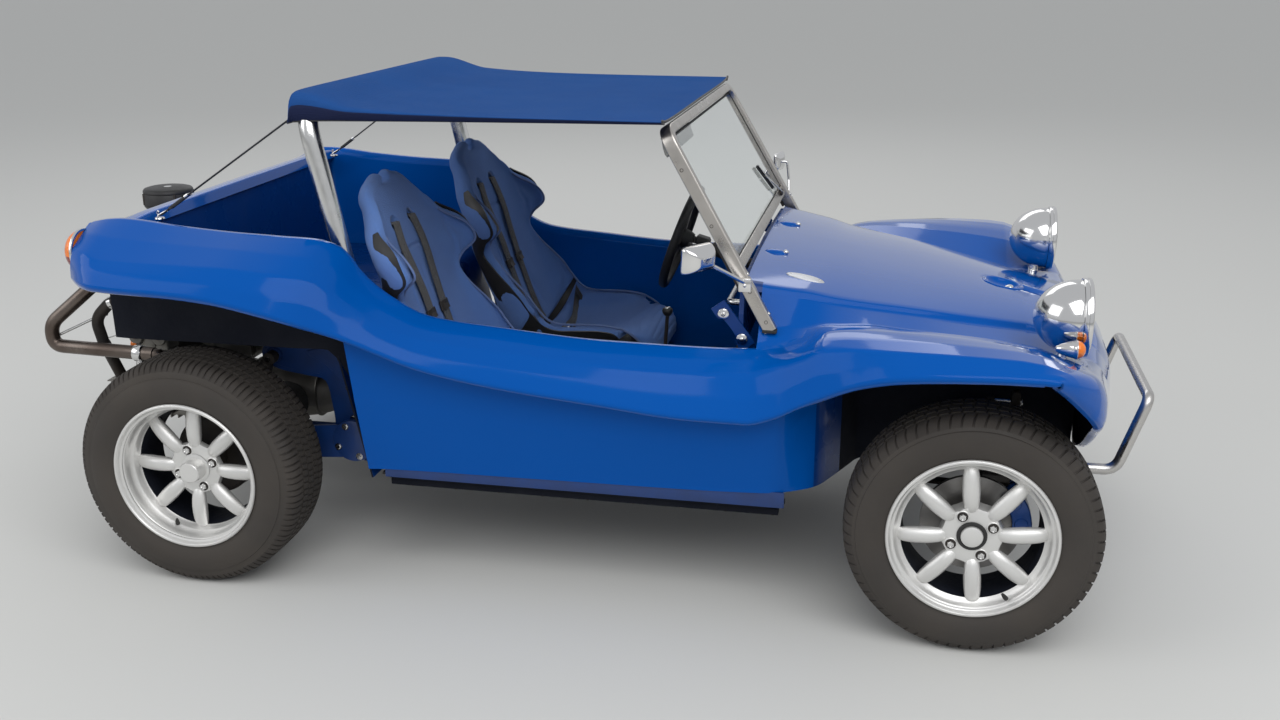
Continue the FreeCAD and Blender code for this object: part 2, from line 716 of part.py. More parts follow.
# ---------------------------------------------------------------- engine and transaxle
ENGINE_FRONT = rear(-240)
ENGINE_BACK = rear(-500)
AXLE_TUBE = 38.0
CARBURETTOR_Y = 365.0
EXHAUST_RADIUS = 17.0


@functools.cache
def engine():
    case = box(ENGINE_BACK, ENGINE_FRONT, -150, 150, REAR_Z - 90, REAR_Z + 190)
    heads = box(ENGINE_BACK + 40, ENGINE_FRONT - 20, -390, 390, REAR_Z + 10, REAR_Z + 130)
    shroud = Part.makeCylinder(230, 90, Vector(ENGINE_FRONT - 130, 0, REAR_Z + 230), Vector(1, 0, 0))
    shroud = shroud.common(box(ENGINE_BACK, ENGINE_FRONT, -240, 240, REAR_Z + 130, REAR_Z + 460))
    ducts = []
    for side in (-1, 1):
        y = side * CARBURETTOR_Y
        ducts.append(box(rear(-345), rear(-262), y - 35, y + 25, REAR_Z + 100, REAR_Z + 240))
        ducts.append(box(rear(-350), rear(-195), y - 40, y + 40, REAR_Z + 230, REAR_Z + 330))
        for x in (rear(-310), rear(-240)):
            ducts.append(rod(Vector(x, y, REAR_Z + 300), Vector(x, y, REAR_Z + 425), 20))
    pulley = Part.makeCylinder(85, 25, Vector(ENGINE_BACK - 25, 0, REAR_Z + 20), Vector(1, 0, 0))
    return fuse([case, heads, shroud, pulley] + ducts)


def exhaust():
    """Curved pipe on each side, from the cylinder head up and forward under the deck."""
    points = [Vector(rear(-420), 345, REAR_Z + 130), Vector(rear(-425), 405, up(275)), Vector(rear(-435), 415, up(350)),
              Vector(rear(-385), 412, up(400)), Vector(rear(-342), 412, up(415))]
    pipe = bent_tube(points, 30.0, EXHAUST_RADIUS)
    return both(seat_on(pipe, engine(), body_tub()))


def air_cleaner():
    centre = Vector(rear(-410), 0, up(603))
    drum = Part.makeCylinder(76, 66, centre)
    throat = Vector(rear(-354), 0, REAR_Z + 190)
    return fuse([drum, Part.makeCylinder(22, centre.z + 5 - throat.z, throat)]).cut(engine())


def transaxle():
    case = box(ENGINE_FRONT, rear(180), -105, 105, REAR_Z - 90, REAR_Z + 90)
    nose = box(rear(180), TORSION_X - TORSION_RADIUS - SEAM_GAP, -60, 60, REAR_Z - 50, REAR_Z + 60)
    return fuse([case, nose])


@functools.cache
def rear_axle_tubes():
    tube = rod(Vector(REAR_X, 105, REAR_Z), Vector(REAR_X, WHEEL_REAR_Y - 108, REAR_Z), AXLE_TUBE)
    plate = rod(Vector(REAR_X, WHEEL_REAR_Y - 108, REAR_Z), Vector(REAR_X, WHEEL_REAR_Y - 60, REAR_Z), 115)
    stub = rod(Vector(REAR_X, WHEEL_REAR_Y - 60, REAR_Z), Vector(REAR_X, WHEEL_REAR_Y + 36, REAR_Z), STUB_RADIUS)
    return both(fuse([tube, plate, stub]))


TORSION_X = rear(378)
TORSION_Z = PAN_BOTTOM + 70
TORSION_RADIUS = 50.0
TORSION_HALF = 470.0
BRACKET_Y = 440.0
BRACKET_HALF = 12.0
# distance ahead of the rear axle and height above the floor
SHOCK_BRACKET = [(330, 40), (300, 225), (165, 250), (118, 283), (150, 322), (250, 340), (360, 338), (385, 300), (395, 60)]


@functools.cache
def rear_torsion_housing():
    """Cross tube at the back of the pan, with the two frame horns and the shock towers."""
    tube = rod(Vector(TORSION_X, -TORSION_HALF, TORSION_Z), Vector(TORSION_X, TORSION_HALF, TORSION_Z), TORSION_RADIUS)
    parts = [tube, box(TORSION_X, PAN_REAR, -TORSION_HALF + 40, TORSION_HALF - 40, PAN_BOTTOM, TORSION_Z)]
    for side in (-1, 1):
        horn = side * HORN_OFFSET
        parts.append(box(rear(-190), TORSION_X, horn - HORN_HALF, horn + HORN_HALF, HORN_TOP - HORN_DEPTH, HORN_TOP))
        parts.append(box(TORSION_X - 25, TORSION_X + 25, horn - HORN_HALF, horn + HORN_HALF, HORN_TOP - HORN_DEPTH, TORSION_Z))
        plate = [(x - WHEELBASE, z) for x, z in SHOCK_BRACKET]
        parts.append(slab(plate, side * BRACKET_Y - BRACKET_HALF, side * BRACKET_Y + BRACKET_HALF))
    return fuse(parts)


def spring_plates():
    plate = rod(Vector(TORSION_X, TORSION_HALF, TORSION_Z), Vector(TORSION_X, TORSION_HALF + 19, TORSION_Z), 62)
    ring = [Vector(TORSION_X, 474, TORSION_Z + 50), Vector(TORSION_X, 474, TORSION_Z - 50),
            Vector(rear(45), 474, REAR_Z - 38), Vector(rear(45), 474, REAR_Z + 38)]
    arm = Part.Face(Part.makePolygon(ring + ring[:1])).extrude(Vector(0, 12, 0))
    return both(fuse([plate, arm]))


SHOCK_RADIUS = 20.0
FRONT_TOWER_Y = 400.0
FRONT_SHOCK_X = 38.0


def shock_absorbers():
    foot = Vector(rear(-45), 478, REAR_Z)
    head = Vector(rear(145), 478, up(286))
    rear_one = seat_on(fuse([rod(foot, head, SHOCK_RADIUS), rod(head, Vector(head.x, BRACKET_Y, head.z), 8)]),
                       rear_axle_tubes(), rear_torsion_housing())
    top = Vector(front(FRONT_SHOCK_X), FRONT_TOWER_Y, up(280))
    body = rod(Vector(front(FRONT_SHOCK_X), FRONT_TOWER_Y, FRONT_Z - 60), top, SHOCK_RADIUS)
    upper = rod(top - Vector(0, 0, 12), Vector(front(BEAM_X - BEAM_WEB), FRONT_TOWER_Y, up(268)), 8)
    low = Vector(front(FRONT_SHOCK_X), FRONT_TOWER_Y, FRONT_Z - 50)
    lower = rod(low, Vector(front(FRONT_SHOCK_X), 510, FRONT_Z - 75), 8)
    front_one = seat_on(fuse([body, upper, lower]), trailing_arms(), front_axle_beam())
    return Part.makeCompound([rear_one, mirror(rear_one), front_one, mirror(front_one)])


# ---------------------------------------------------------------- front axle and steering
BEAM_X = 100.0
BEAM_TUBE = 25.0
BEAM_WEB = 12.0
BEAM_HALF = 425.0
ARM_RISE = 60.0              # beam tubes above and below the wheel centre
BOSS_RADIUS = 22.0
KINGPIN_RADIUS = 10.0
STUB_RADIUS = 17.0
STEER_ARM = 120.0
STEER_ARM_TOP = FRONT_Z + 72
TRACK_ROD_RADIUS = 10.0


def beam_web(y, top):
    return box(front(BEAM_X - BEAM_WEB), front(BEAM_X + BEAM_WEB), y - 14, y + 14, FRONT_Z - ARM_RISE, top)


@functools.cache
def front_axle_beam():
    """Two cross tubes joined by webs, with the outer webs as shock towers."""
    parts = []
    for rise in (-ARM_RISE, ARM_RISE):
        z = FRONT_Z + rise
        parts.append(rod(Vector(front(BEAM_X), -BEAM_HALF, z), Vector(front(BEAM_X), BEAM_HALF, z), BEAM_TUBE))
    for y in (-300, -70, 70, 300):
        parts.append(beam_web(y, FRONT_Z + ARM_RISE))
    for side in (-1, 1):
        parts.append(beam_web(side * FRONT_TOWER_Y, up(300)))
    return fuse(parts)


@functools.cache
def trailing_arms():
    arms = []
    for rise, z0, z1 in ((ARM_RISE, 76, 106), (-ARM_RISE, -106, -76)):
        eye = rod(Vector(front(BEAM_X), BEAM_HALF + 0.5, FRONT_Z + rise),
                  Vector(front(BEAM_X), BEAM_HALF + 30, FRONT_Z + rise), 30)
        boss = rod(Vector(FRONT_X, KINGPIN_HALF, FRONT_Z + z0), Vector(FRONT_X, KINGPIN_HALF, FRONT_Z + z1), BOSS_RADIUS)
        arm = rod(Vector(front(BEAM_X), BEAM_HALF + 16, FRONT_Z + rise),
                  Vector(front(6), KINGPIN_HALF - 12, FRONT_Z + (z0 + z1) / 2), 13)
        arms.append(fuse([eye, boss, arm]).cut(kingpin(0.5)))
    return Part.makeCompound(arms + [mirror(arm) for arm in arms])


def kingpin(grow):
    return rod(Vector(FRONT_X, KINGPIN_HALF, FRONT_Z - 106), Vector(FRONT_X, KINGPIN_HALF, FRONT_Z + 106),
               KINGPIN_RADIUS + grow)


def knuckle():
    post = rod(Vector(FRONT_X, KINGPIN_HALF, FRONT_Z - 75), Vector(FRONT_X, KINGPIN_HALF, FRONT_Z + 75), 20)
    stub = rod(Vector(FRONT_X, KINGPIN_HALF, FRONT_Z), Vector(FRONT_X, WHEEL_FRONT_Y + 20, FRONT_Z), STUB_RADIUS)
    arm = box(front(-STEER_ARM - 14), front(0), KINGPIN_HALF - 40, KINGPIN_HALF - 12, STEER_ARM_TOP - 14, STEER_ARM_TOP)
    caliper = box(front(92), front(148), WHEEL_FRONT_Y - 48, WHEEL_FRONT_Y + 6, FRONT_Z - 15, FRONT_Z + 85)
    caliper = caliper.cut(rod(Vector(FRONT_X, WHEEL_FRONT_Y - DISC_IN - 6, FRONT_Z),
                              Vector(FRONT_X, WHEEL_FRONT_Y - DISC_OUT + 6, FRONT_Z), DISC_RADIUS + 5))
    carrier = box(front(0), front(120), WHEEL_FRONT_Y - 48, WHEEL_FRONT_Y - 34, FRONT_Z - 15, FRONT_Z + 45)
    link = box(front(-16), front(16), KINGPIN_HALF, WHEEL_FRONT_Y - 34, FRONT_Z - 30, FRONT_Z + 30)
    return fuse([post, kingpin(0), stub, arm, caliper, carrier, link])


def track_rod():
    """Cross rod that lies on the two steering arms."""
    y = KINGPIN_HALF - 34
    z = STEER_ARM_TOP + SEAM_GAP + TRACK_ROD_RADIUS
    return rod(Vector(front(-STEER_ARM), -y, z), Vector(front(-STEER_ARM), y, z), TRACK_ROD_RADIUS)


# ---------------------------------------------------------------- wheels
WHEEL_FRONT_Y = FRONT_TRACK / 2
WHEEL_REAR_Y = REAR_TRACK / 2
DISC_RADIUS = 125.0
DISC_IN = 22.0
DISC_OUT = 10.0
RIM_WALL = 6.0


def spin(outline):
    """Solid of revolution about Y from (y, radius) points."""
    ring = [Vector(0, y, r) for y, r in outline]
    return Part.Face(Part.makePolygon(ring + ring[:1])).revolve(Vector(0, 0, 0), Vector(0, 1, 0), 360)


def tyre(width, radius):
    bead = width / 2 - 13
    wide = width / 2
    line = [(bead, TYRE_BORE + 0.3), (bead, RIM_RADIUS + 2), (wide, RIM_RADIUS + 28), (wide, RIM_RADIUS + 52),
            (wide - 10, radius - 20), (wide - 24, radius - 5), (wide - 44, radius)]
    return spin(line + [(-y, r) for y, r in line[::-1]])


def rim(width, dish, cap_radius, cap_reach):
    edge = width / 2 - 4
    face = edge - dish
    barrel = spin([(edge, RIM_RADIUS), (edge - 8, RIM_RADIUS), (edge - 8, TYRE_BORE), (-edge + 8, TYRE_BORE),
                   (-edge + 8, RIM_RADIUS), (-edge, RIM_RADIUS), (-edge, TYRE_BORE - RIM_WALL),
                   (edge, TYRE_BORE - RIM_WALL)])
    hub = spin([(25, STUB_RADIUS + 0.5), (face, STUB_RADIUS + 0.5), (face, 72), (25, 76)])
    cap = spin([(face - 1, 0), (face - 1, cap_radius), (face + cap_reach, cap_radius - 3), (face + cap_reach, 0)])
    parts = [barrel, hub, cap]
    for index in range(SPOKE_COUNT):
        spoke = Part.makeBox(36, 30, TYRE_BORE - RIM_WALL - 55, Vector(-18, face - 26, 58))
        spoke.rotate(Vector(0, 0, 0), Vector(0, 1, 0), 360.0 / SPOKE_COUNT * (index + 0.5))
        parts.append(spoke)
    return fuse(parts)


def brake_disc():
    return spin([(-DISC_IN, STUB_RADIUS + 0.5), (24.5, STUB_RADIUS + 0.5), (24.5, 55), (-DISC_OUT, 60),
                 (-DISC_OUT, DISC_RADIUS), (-DISC_IN, DISC_RADIUS)])


def export_wheels():
    for axle, width, radius, x, y, dish, cap_radius, cap_reach in (
            ("front", FRONT_TYRE_WIDTH, FRONT_TYRE_RADIUS, FRONT_X, WHEEL_FRONT_Y, 26, 26, 14),
            ("rear", REAR_TYRE_WIDTH, REAR_TYRE_RADIUS, REAR_X, WHEEL_REAR_Y, 66, 30, 40)):
        place = Vector(x, y, radius)
        pieces = {"tyre": tyre(width, radius), "rim": rim(width, dish, cap_radius, cap_reach)}
        if axle == "front":
            pieces["brake_disc"] = brake_disc()
        for name, shape in pieces.items():
            left = shape.translated(place)
            export(name + "_" + axle + "_left", left)
            export(name + "_" + axle + "_right", mirror(left))


def build():
    os.makedirs("parts", exist_ok=True)
    for piece in (body_tub, hood, floor_pan, windshield_frame, windshield_glass, dashboard, roll_hoop,
                  soft_top, soft_top_straps, steering_column, steering_wheel, gear_lever, handbrake_lever,
                  pedals, headlights, headlight_lenses, front_turn_signals, tail_lamps, mirrors,
                  front_bumper, rear_bumper, engine, exhaust, air_cleaner, transaxle, rear_axle_tubes,
                  rear_torsion_housing, spring_plates, shock_absorbers, front_axle_beam, trailing_arms,
                  track_rod):
        export(piece.__name__, piece())
    for name, middle in (("driver", SEAT_OFFSET), ("passenger", -SEAT_OFFSET)):
        back_by = Vector(0 if middle > 0 else -SEAT_SETBACK, 0, 0)
        corners = head_cut(middle)
        export(name + "_seat_shell", seat_shell(middle).cut(corners).translated(back_by))
        cushion, back = seat_pads(middle)
        export(name + "_seat_cushion", cushion.translated(back_by))
        export(name + "_seat_back", back.cut(corners).translated(back_by))
    export("knuckle_left", knuckle())
    export("knuckle_right", mirror(knuckle()))
    export_wheels()


if __name__ == "__main__":
    build()
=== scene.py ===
"""Looks of the open two-seat dune buggy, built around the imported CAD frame.

Tables are in millimetres: x from the front axle, y from the middle plane, z above the floor pan's surface.
"""

import math

import bmesh
import bpy
import numpy as np
from mathutils import Matrix, Vector


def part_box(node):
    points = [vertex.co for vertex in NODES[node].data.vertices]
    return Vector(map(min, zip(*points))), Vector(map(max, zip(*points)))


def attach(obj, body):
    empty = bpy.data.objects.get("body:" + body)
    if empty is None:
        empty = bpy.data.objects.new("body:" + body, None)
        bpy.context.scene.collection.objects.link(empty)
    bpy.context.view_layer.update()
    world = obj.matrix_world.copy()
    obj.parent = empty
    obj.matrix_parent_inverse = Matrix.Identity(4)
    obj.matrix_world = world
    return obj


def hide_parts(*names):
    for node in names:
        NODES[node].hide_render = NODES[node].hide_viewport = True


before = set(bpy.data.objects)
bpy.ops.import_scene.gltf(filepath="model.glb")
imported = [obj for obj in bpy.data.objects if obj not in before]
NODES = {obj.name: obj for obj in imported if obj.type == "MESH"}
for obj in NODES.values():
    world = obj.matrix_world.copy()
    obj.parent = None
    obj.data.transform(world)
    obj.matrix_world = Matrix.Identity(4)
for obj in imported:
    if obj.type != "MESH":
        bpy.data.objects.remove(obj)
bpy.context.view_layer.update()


def middle(node):
    low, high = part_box(node)
    return [(a + b) / 2 for a, b in zip(low, high)]


FRONT_X, FRONT_Y, FRONT_Z = middle("tyre_front_left")
REAR_X, REAR_Y, REAR_Z = middle("tyre_rear_left")
FRONT_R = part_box("tyre_front_left")[1][2] / 2
REAR_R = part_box("tyre_rear_left")[1][2] / 2
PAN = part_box("body_tub")[0][2]
BASE = (FRONT_X - REAR_X) * 1000


def at(x, y, z):
    """Row-frame metres from table millimetres."""
    return (FRONT_X + x / 1000, y / 1000, PAN + z / 1000)


# ------------------------------------------------------------------ materials
def shader(name, color, rough=0.5, metal=0.0, coat=0.0, coat_rough=0.03, sheen=0.0, spec=0.5,
           glass=0.0, ior=1.45, mottle=0.0, mottle_scale=6.0, tint=None, rough_var=0.0, rough_scale=8.0,
           bump=(), alpha=1.0, glance=0.0):
    """Principled material whose colour, roughness and height vary with noise in object space.

    bump is a list of (kind, scale, distance); kind is noise, voronoi, or weave."""
    mat = bpy.data.materials.new(name)
    mat.use_nodes = True
    tree = mat.node_tree
    link = tree.links.new
    node = tree.nodes["Principled BSDF"]
    node.inputs["Base Color"].default_value = (*color, 1)
    node.inputs["Roughness"].default_value = rough
    node.inputs["Metallic"].default_value = metal
    node.inputs["Coat Weight"].default_value = coat
    node.inputs["Coat Roughness"].default_value = coat_rough
    node.inputs["Sheen Weight"].default_value = sheen
    node.inputs["Specular IOR Level"].default_value = spec
    node.inputs["Transmission Weight"].default_value = glass
    node.inputs["IOR"].default_value = ior
    node.inputs["Alpha"].default_value = alpha
    place = tree.nodes.new("ShaderNodeTexCoord")
    if glance:
        slant = tree.nodes.new("ShaderNodeLayerWeight")
        slant.inputs["Blend"].default_value = 0.5
        span = tree.nodes.new("ShaderNodeMapRange")
        span.inputs["From Min"].default_value = 0.25
        span.inputs["From Max"].default_value = 0.68
        span.inputs["To Min"].default_value = coat
        span.inputs["To Max"].default_value = glance
        link(slant.outputs["Facing"], span.inputs["Value"])
        link(span.outputs["Result"], node.inputs["Coat Weight"])

    def noise(scale, detail=3.0):
        tex = tree.nodes.new("ShaderNodeTexNoise")
        tex.inputs["Scale"].default_value = scale
        tex.inputs["Detail"].default_value = detail
        link(place.outputs["Object"], tex.inputs["Vector"])
        return tex.outputs["Fac"]

    if mottle:
        other = tint or tuple(c * 0.55 for c in color)
        ramp = tree.nodes.new("ShaderNodeValToRGB")
        ramp.color_ramp.elements[0].position = 0.5 - 0.5 * (1 - mottle * 0.5)
        ramp.color_ramp.elements[1].position = 0.5 + 0.5 * (1 - mottle * 0.5)
        ramp.color_ramp.elements[0].color = (*other, 1)
        ramp.color_ramp.elements[1].color = (*color, 1)
        link(noise(mottle_scale, 5.0), ramp.inputs["Fac"])
        mix = tree.nodes.new("ShaderNodeMix")
        mix.data_type = "RGBA"
        mix.inputs["Factor"].default_value = mottle
        mix.inputs["A"].default_value = (*color, 1)
        link(ramp.outputs["Color"], mix.inputs["B"])
        link(mix.outputs["Result"], node.inputs["Base Color"])
    if rough_var:
        span = tree.nodes.new("ShaderNodeMapRange")
        span.inputs["From Min"].default_value = 0.3
        span.inputs["From Max"].default_value = 0.7
        span.inputs["To Min"].default_value = max(0.01, rough - rough_var)
        span.inputs["To Max"].default_value = min(1.0, rough + rough_var)
        link(noise(rough_scale, 4.0), span.inputs["Value"])
        link(span.outputs["Result"], node.inputs["Roughness"])
    last = None
    for kind, scale, distance in bump:
        if kind == "noise":
            height = noise(scale, 4.0)
        elif kind == "voronoi":
            tex = tree.nodes.new("ShaderNodeTexVoronoi")
            tex.inputs["Scale"].default_value = scale
            link(place.outputs["Object"], tex.inputs["Vector"])
            height = tex.outputs["Distance"]
        else:
            height = weave(tree, place, scale)
        relief = tree.nodes.new("ShaderNodeBump")
        relief.inputs["Strength"].default_value = 1.0
        relief.inputs["Distance"].default_value = distance
        link(height, relief.inputs["Height"])
        if last:
            link(last, relief.inputs["Normal"])
        last = relief.outputs["Normal"]
    if last:
        link(last, node.inputs["Normal"])
        if coat:
            link(last, node.inputs["Coat Normal"])
    return mat


def weave(tree, place, scale):
    """Height of crossing threads, from two bands of waves in object space."""
    link = tree.links.new
    waves = []
    for axis in ("X", "Y", "Z"):
        tex = tree.nodes.new("ShaderNodeTexWave")
        tex.bands_direction = axis
        tex.inputs["Scale"].default_value = scale
        tex.inputs["Distortion"].default_value = 0.6
        tex.inputs["Detail"].default_value = 1.0
        link(place.outputs["Object"], tex.inputs["Vector"])
        waves.append(tex.outputs["Fac"])
    add = tree.nodes.new("ShaderNodeMath")
    link(waves[0], add.inputs[0])
    link(waves[1], add.inputs[1])
    more = tree.nodes.new("ShaderNodeMath")
    link(add.outputs[0], more.inputs[0])
    link(waves[2], more.inputs[1])
    return more.outputs[0]


PAINT = shader("gloss_blue", (0.0005, 0.08, 0.37), rough=0.12, ior=1.17, coat=0.06, glance=0.9,
               coat_rough=0.03, mottle=0.25, mottle_scale=1.6, tint=(0.0005, 0.067, 0.32), rough_var=0.03,
               bump=[("noise", 2.2, 0.0012), ("noise", 240, 0.00003)])
# The body's blue darkened as painted shade, for the inner walls, the bin, the bulkhead, the dashboard, the bracket
# plates and sheltered faces.
PAINT_SHADED = shader("blue_paint_painted_shade", (0.001, 0.036, 0.19), rough=0.3, ior=1.3, coat=0.15, coat_rough=0.15,
                  mottle=0.5, mottle_scale=5, tint=(0.001, 0.022, 0.11), rough_var=0.12,
                  bump=[("noise", 60, 0.0003), ("noise", 9, 0.0005)])
# Near-black underseal for the pan and the undersides; also laid as painted shade inside the rim barrels, at the front
# of the wheel wells and on the sill strips under the flange.
UNDERSEAL_AND_SHADE = shader("underseal_and_painted_shade", (0.004, 0.006, 0.013), rough=0.8, spec=0.25, mottle=0.6, mottle_scale=9,
                   tint=(0.009, 0.010, 0.016), rough_var=0.1, bump=[("noise", 70, 0.0015), ("noise", 300,
        0.0005)])
FRAME_BLUE = shader("frame_blue", (0.004, 0.04, 0.19), rough=0.45, coat=0.3, coat_rough=0.25, mottle=0.6,
                    mottle_scale=14, tint=(0.012, 0.02, 0.05), rough_var=0.15, bump=[("noise", 90, 0.0005)])
DARK = shader("dark_metal", (0.028, 0.028, 0.03), rough=0.55, metal=0.4, mottle=0.7, mottle_scale=18,
              tint=(0.06, 0.045, 0.032), rough_var=0.18, bump=[("noise", 120, 0.0005)])
CAST = shader("cast_alloy", (0.3, 0.29, 0.27), rough=0.5, metal=0.85, mottle=0.7, mottle_scale=16,
              tint=(0.08, 0.07, 0.055), rough_var=0.15, bump=[("noise", 160, 0.0006)])
CHROME = shader("chrome", (0.74, 0.735, 0.73), rough=0.12, metal=1.0, mottle=0.2, mottle_scale=9,
                tint=(0.6, 0.6, 0.62), rough_var=0.03, bump=[("noise", 30, 0.00008)])
RAIL = shader("rail_satin", (0.5, 0.475, 0.445), rough=0.33, metal=1.0, mottle=0.3, mottle_scale=14,
              tint=(0.38, 0.355, 0.33), rough_var=0.1, rough_scale=24, bump=[("noise", 420, 0.0001)])
SATIN = shader("satin_chrome", (0.6, 0.585, 0.57), rough=0.27, metal=1.0, mottle=0.4, mottle_scale=16,
               tint=(0.42, 0.4, 0.38), rough_var=0.12, rough_scale=20, bump=[("noise", 300, 0.0001)])
VISOR = shader("visor_vinyl", (0.3, 0.3, 0.29), rough=0.6, mottle=0.3, mottle_scale=40,
               bump=[("noise", 600, 0.0002)])
MAT = shader("floor_mat_rubber", (0.012, 0.012, 0.013), rough=0.75, mottle=0.5, mottle_scale=20,
             bump=[("noise", 400, 0.0003)])
POLISHED = shader("polished_aluminium", (0.74, 0.74, 0.73), rough=0.2, metal=1.0, mottle=0.45,
                  mottle_scale=22, tint=(0.5, 0.5, 0.5), rough_var=0.09, rough_scale=30,
                  bump=[("noise", 300, 0.00008)])
AGED = shader("aged_tube", (0.2, 0.17, 0.15), rough=0.34, metal=0.9, mottle=0.85, mottle_scale=13,
              tint=(0.055, 0.035, 0.026), rough_var=0.16, bump=[("noise", 150, 0.0003)])
SILVER = shader("wheel_silver", (0.74, 0.735, 0.72), rough=0.4, metal=0.62, coat=0.2, coat_rough=0.25,
                mottle=0.35, mottle_scale=11, tint=(0.52, 0.51, 0.49), rough_var=0.08,
                bump=[("noise", 420, 0.00025), ("noise", 40, 0.0004)])
TREAD = shader("tyre_rubber", (0.032, 0.029, 0.027), rough=0.78, spec=0.35, mottle=0.75, mottle_scale=7,
               tint=(0.07, 0.06, 0.052), rough_var=0.1, bump=[("noise", 260, 0.0004)])
SIDEWALL = shader("tyre_sidewall", (0.034, 0.031, 0.029), rough=0.6, spec=0.4, mottle=0.6, mottle_scale=5,
                  tint=(0.075, 0.062, 0.05), rough_var=0.1, bump=[("noise", 180, 0.0003)])
IRON = shader("brake_iron", (0.3, 0.295, 0.29), rough=0.42, metal=0.85, mottle=0.5, mottle_scale=30,
              tint=(0.19, 0.17, 0.155), rough_var=0.1, bump=[("noise", 200, 0.0002)])
CALIPER = shader("caliper_blue", (0.004, 0.07, 0.33), rough=0.45, coat=0.3, coat_rough=0.3, mottle=0.6,
                 mottle_scale=30, tint=(0.03, 0.05, 0.12), rough_var=0.12, bump=[("noise", 120, 0.0006)])
CANVAS = shader("top_canvas", (0.02, 0.088, 0.3), rough=0.9, sheen=0.0, spec=0.08, mottle=0.4,
                mottle_scale=3.5, tint=(0.013, 0.052, 0.19), rough_var=0.06, bump=[("weave", 110, 0.0005),
        ("noise", 7, 0.003)])
# A darker copy of the canvas, painted shade for the side valances and the underside of the top.
CANVAS_SHADE = shader("top_canvas_painted_shade", (0.02, 0.03, 0.085), rough=0.9, sheen=0.0, spec=0.06, mottle=0.4,
                    mottle_scale=3.5, tint=(0.022, 0.02, 0.04), rough_var=0.06, bump=[("weave", 110, 0.0005),
        ("noise", 7, 0.003)])
FABRIC = shader("seat_fabric", (0.125, 0.25, 0.6), rough=0.9, sheen=0.12, spec=0.15, mottle=0.5,
                mottle_scale=9, tint=(0.09, 0.16, 0.4), rough_var=0.05, bump=[("weave", 190, 0.0005),
        ("noise", 420, 0.0003)])
PIPING = shader("seat_piping", (0.11, 0.17, 0.36), rough=0.7, sheen=0.2, mottle=0.4, mottle_scale=40,
                bump=[("noise", 500, 0.0002)])
WEBBING = shader("webbing", (0.012, 0.012, 0.013), rough=0.7, sheen=0.3, mottle=0.4, mottle_scale=30,
                 tint=(0.03, 0.03, 0.032), bump=[("weave", 300, 0.0004)])
PLASTIC = shader("black_plastic", (0.014, 0.014, 0.015), rough=0.48, mottle=0.5, mottle_scale=25,
                 tint=(0.028, 0.027, 0.027), rough_var=0.1, bump=[("noise", 350, 0.0002)])
GRIP = shader("wheel_grip", (0.013, 0.013, 0.014), rough=0.55, mottle=0.4, mottle_scale=60,
              tint=(0.026, 0.025, 0.025), rough_var=0.1, bump=[("voronoi", 420, 0.0003)])
SEAL = shader("rubber_seal", (0.018, 0.018, 0.018), rough=0.7, mottle=0.5, mottle_scale=30,
              tint=(0.035, 0.034, 0.033), bump=[("noise", 200, 0.0003)])
PANE = shader("windshield_pane", (0.93, 0.97, 0.95), rough=0.01, glass=1.0, ior=1.5, spec=0.5, mottle=0.1,
              mottle_scale=3, tint=(0.88, 0.93, 0.91), bump=[("noise", 3, 0.0002)])
LENS = shader("lamp_lens", (0.95, 0.96, 0.97), rough=0.04, glass=1.0, ior=1.45, mottle=0.1, mottle_scale=9,
              tint=(0.9, 0.92, 0.93), bump=[("voronoi", 95, 0.0012)])
AMBER = shader("amber_lens", (0.9, 0.22, 0.01), rough=0.14, coat=0.8, mottle=0.35, mottle_scale=30,
               tint=(0.62, 0.1, 0.005), bump=[("voronoi", 150, 0.0008)])
RED = shader("red_lens", (0.24, 0.008, 0.006), rough=0.14, coat=0.8, mottle=0.35, mottle_scale=30,
             tint=(0.09, 0.003, 0.003), bump=[("voronoi", 150, 0.0008)])
BULB = shader("reflector", (0.85, 0.85, 0.86), rough=0.12, metal=1.0, mottle=0.15, mottle_scale=30,
              tint=(0.6, 0.6, 0.62), bump=[("voronoi", 60, 0.001)])
BADGE = shader("blank_plate", (0.62, 0.63, 0.65), rough=0.3, metal=0.5, mottle=0.3, mottle_scale=40,
               tint=(0.45, 0.46, 0.5), bump=[("noise", 200, 0.0002)])


# ------------------------------------------------------------------ mesh helpers
def make(name, verts, faces, mat, body="root", slot=None, replaces=(), smooth=True, normals=None, angle=None):
    """New mesh object, riding on a body."""
    mesh = bpy.data.meshes.new(name)
    mesh.from_pydata([tuple(v) for v in verts], [], [tuple(int(i) for i in f) for f in faces])
    mesh.validate()
    mesh.update()
    obj = bpy.data.objects.new(name, mesh)
    bpy.context.collection.objects.link(obj)
    mats = mat if isinstance(mat, (list, tuple)) else [mat]
    for m in mats:
        mesh.materials.append(m)
    mesh.polygons.foreach_set("use_smooth", [smooth] * len(mesh.polygons))
    if normals is not None:
        mesh.normals_split_custom_set(normals)
    if angle is not None:
        sharpen(mesh, angle)
    return settle(obj, body, replaces)


def settle(obj, body, replaces=()):
    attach(obj, body)
    if replaces:
        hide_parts(*replaces)
    return obj


def sharpen(mesh, degrees):
    """Turns a closed piece's faces outward and marks its sharp edges."""
    bm = bmesh.new()
    bm.from_mesh(mesh)
    bmesh.ops.recalc_face_normals(bm, faces=bm.faces)
    limit = math.radians(degrees)
    for edge in bm.edges:
        edge.smooth = len(edge.link_faces) == 2 and edge.calc_face_angle(0) < limit
    bm.to_mesh(mesh)
    bm.free()


def join(parts):
    """One (verts, faces) from several."""
    verts, faces = [], []
    for v, f in parts:
        base = len(verts)
        verts += [tuple(p) for p in v]
        faces += [tuple(i + base for i in face) for face in f]
    return verts, faces


def mirrored(part):
    verts, faces = part
    return [(x, -y, z) for x, y, z in verts], flipped(faces)


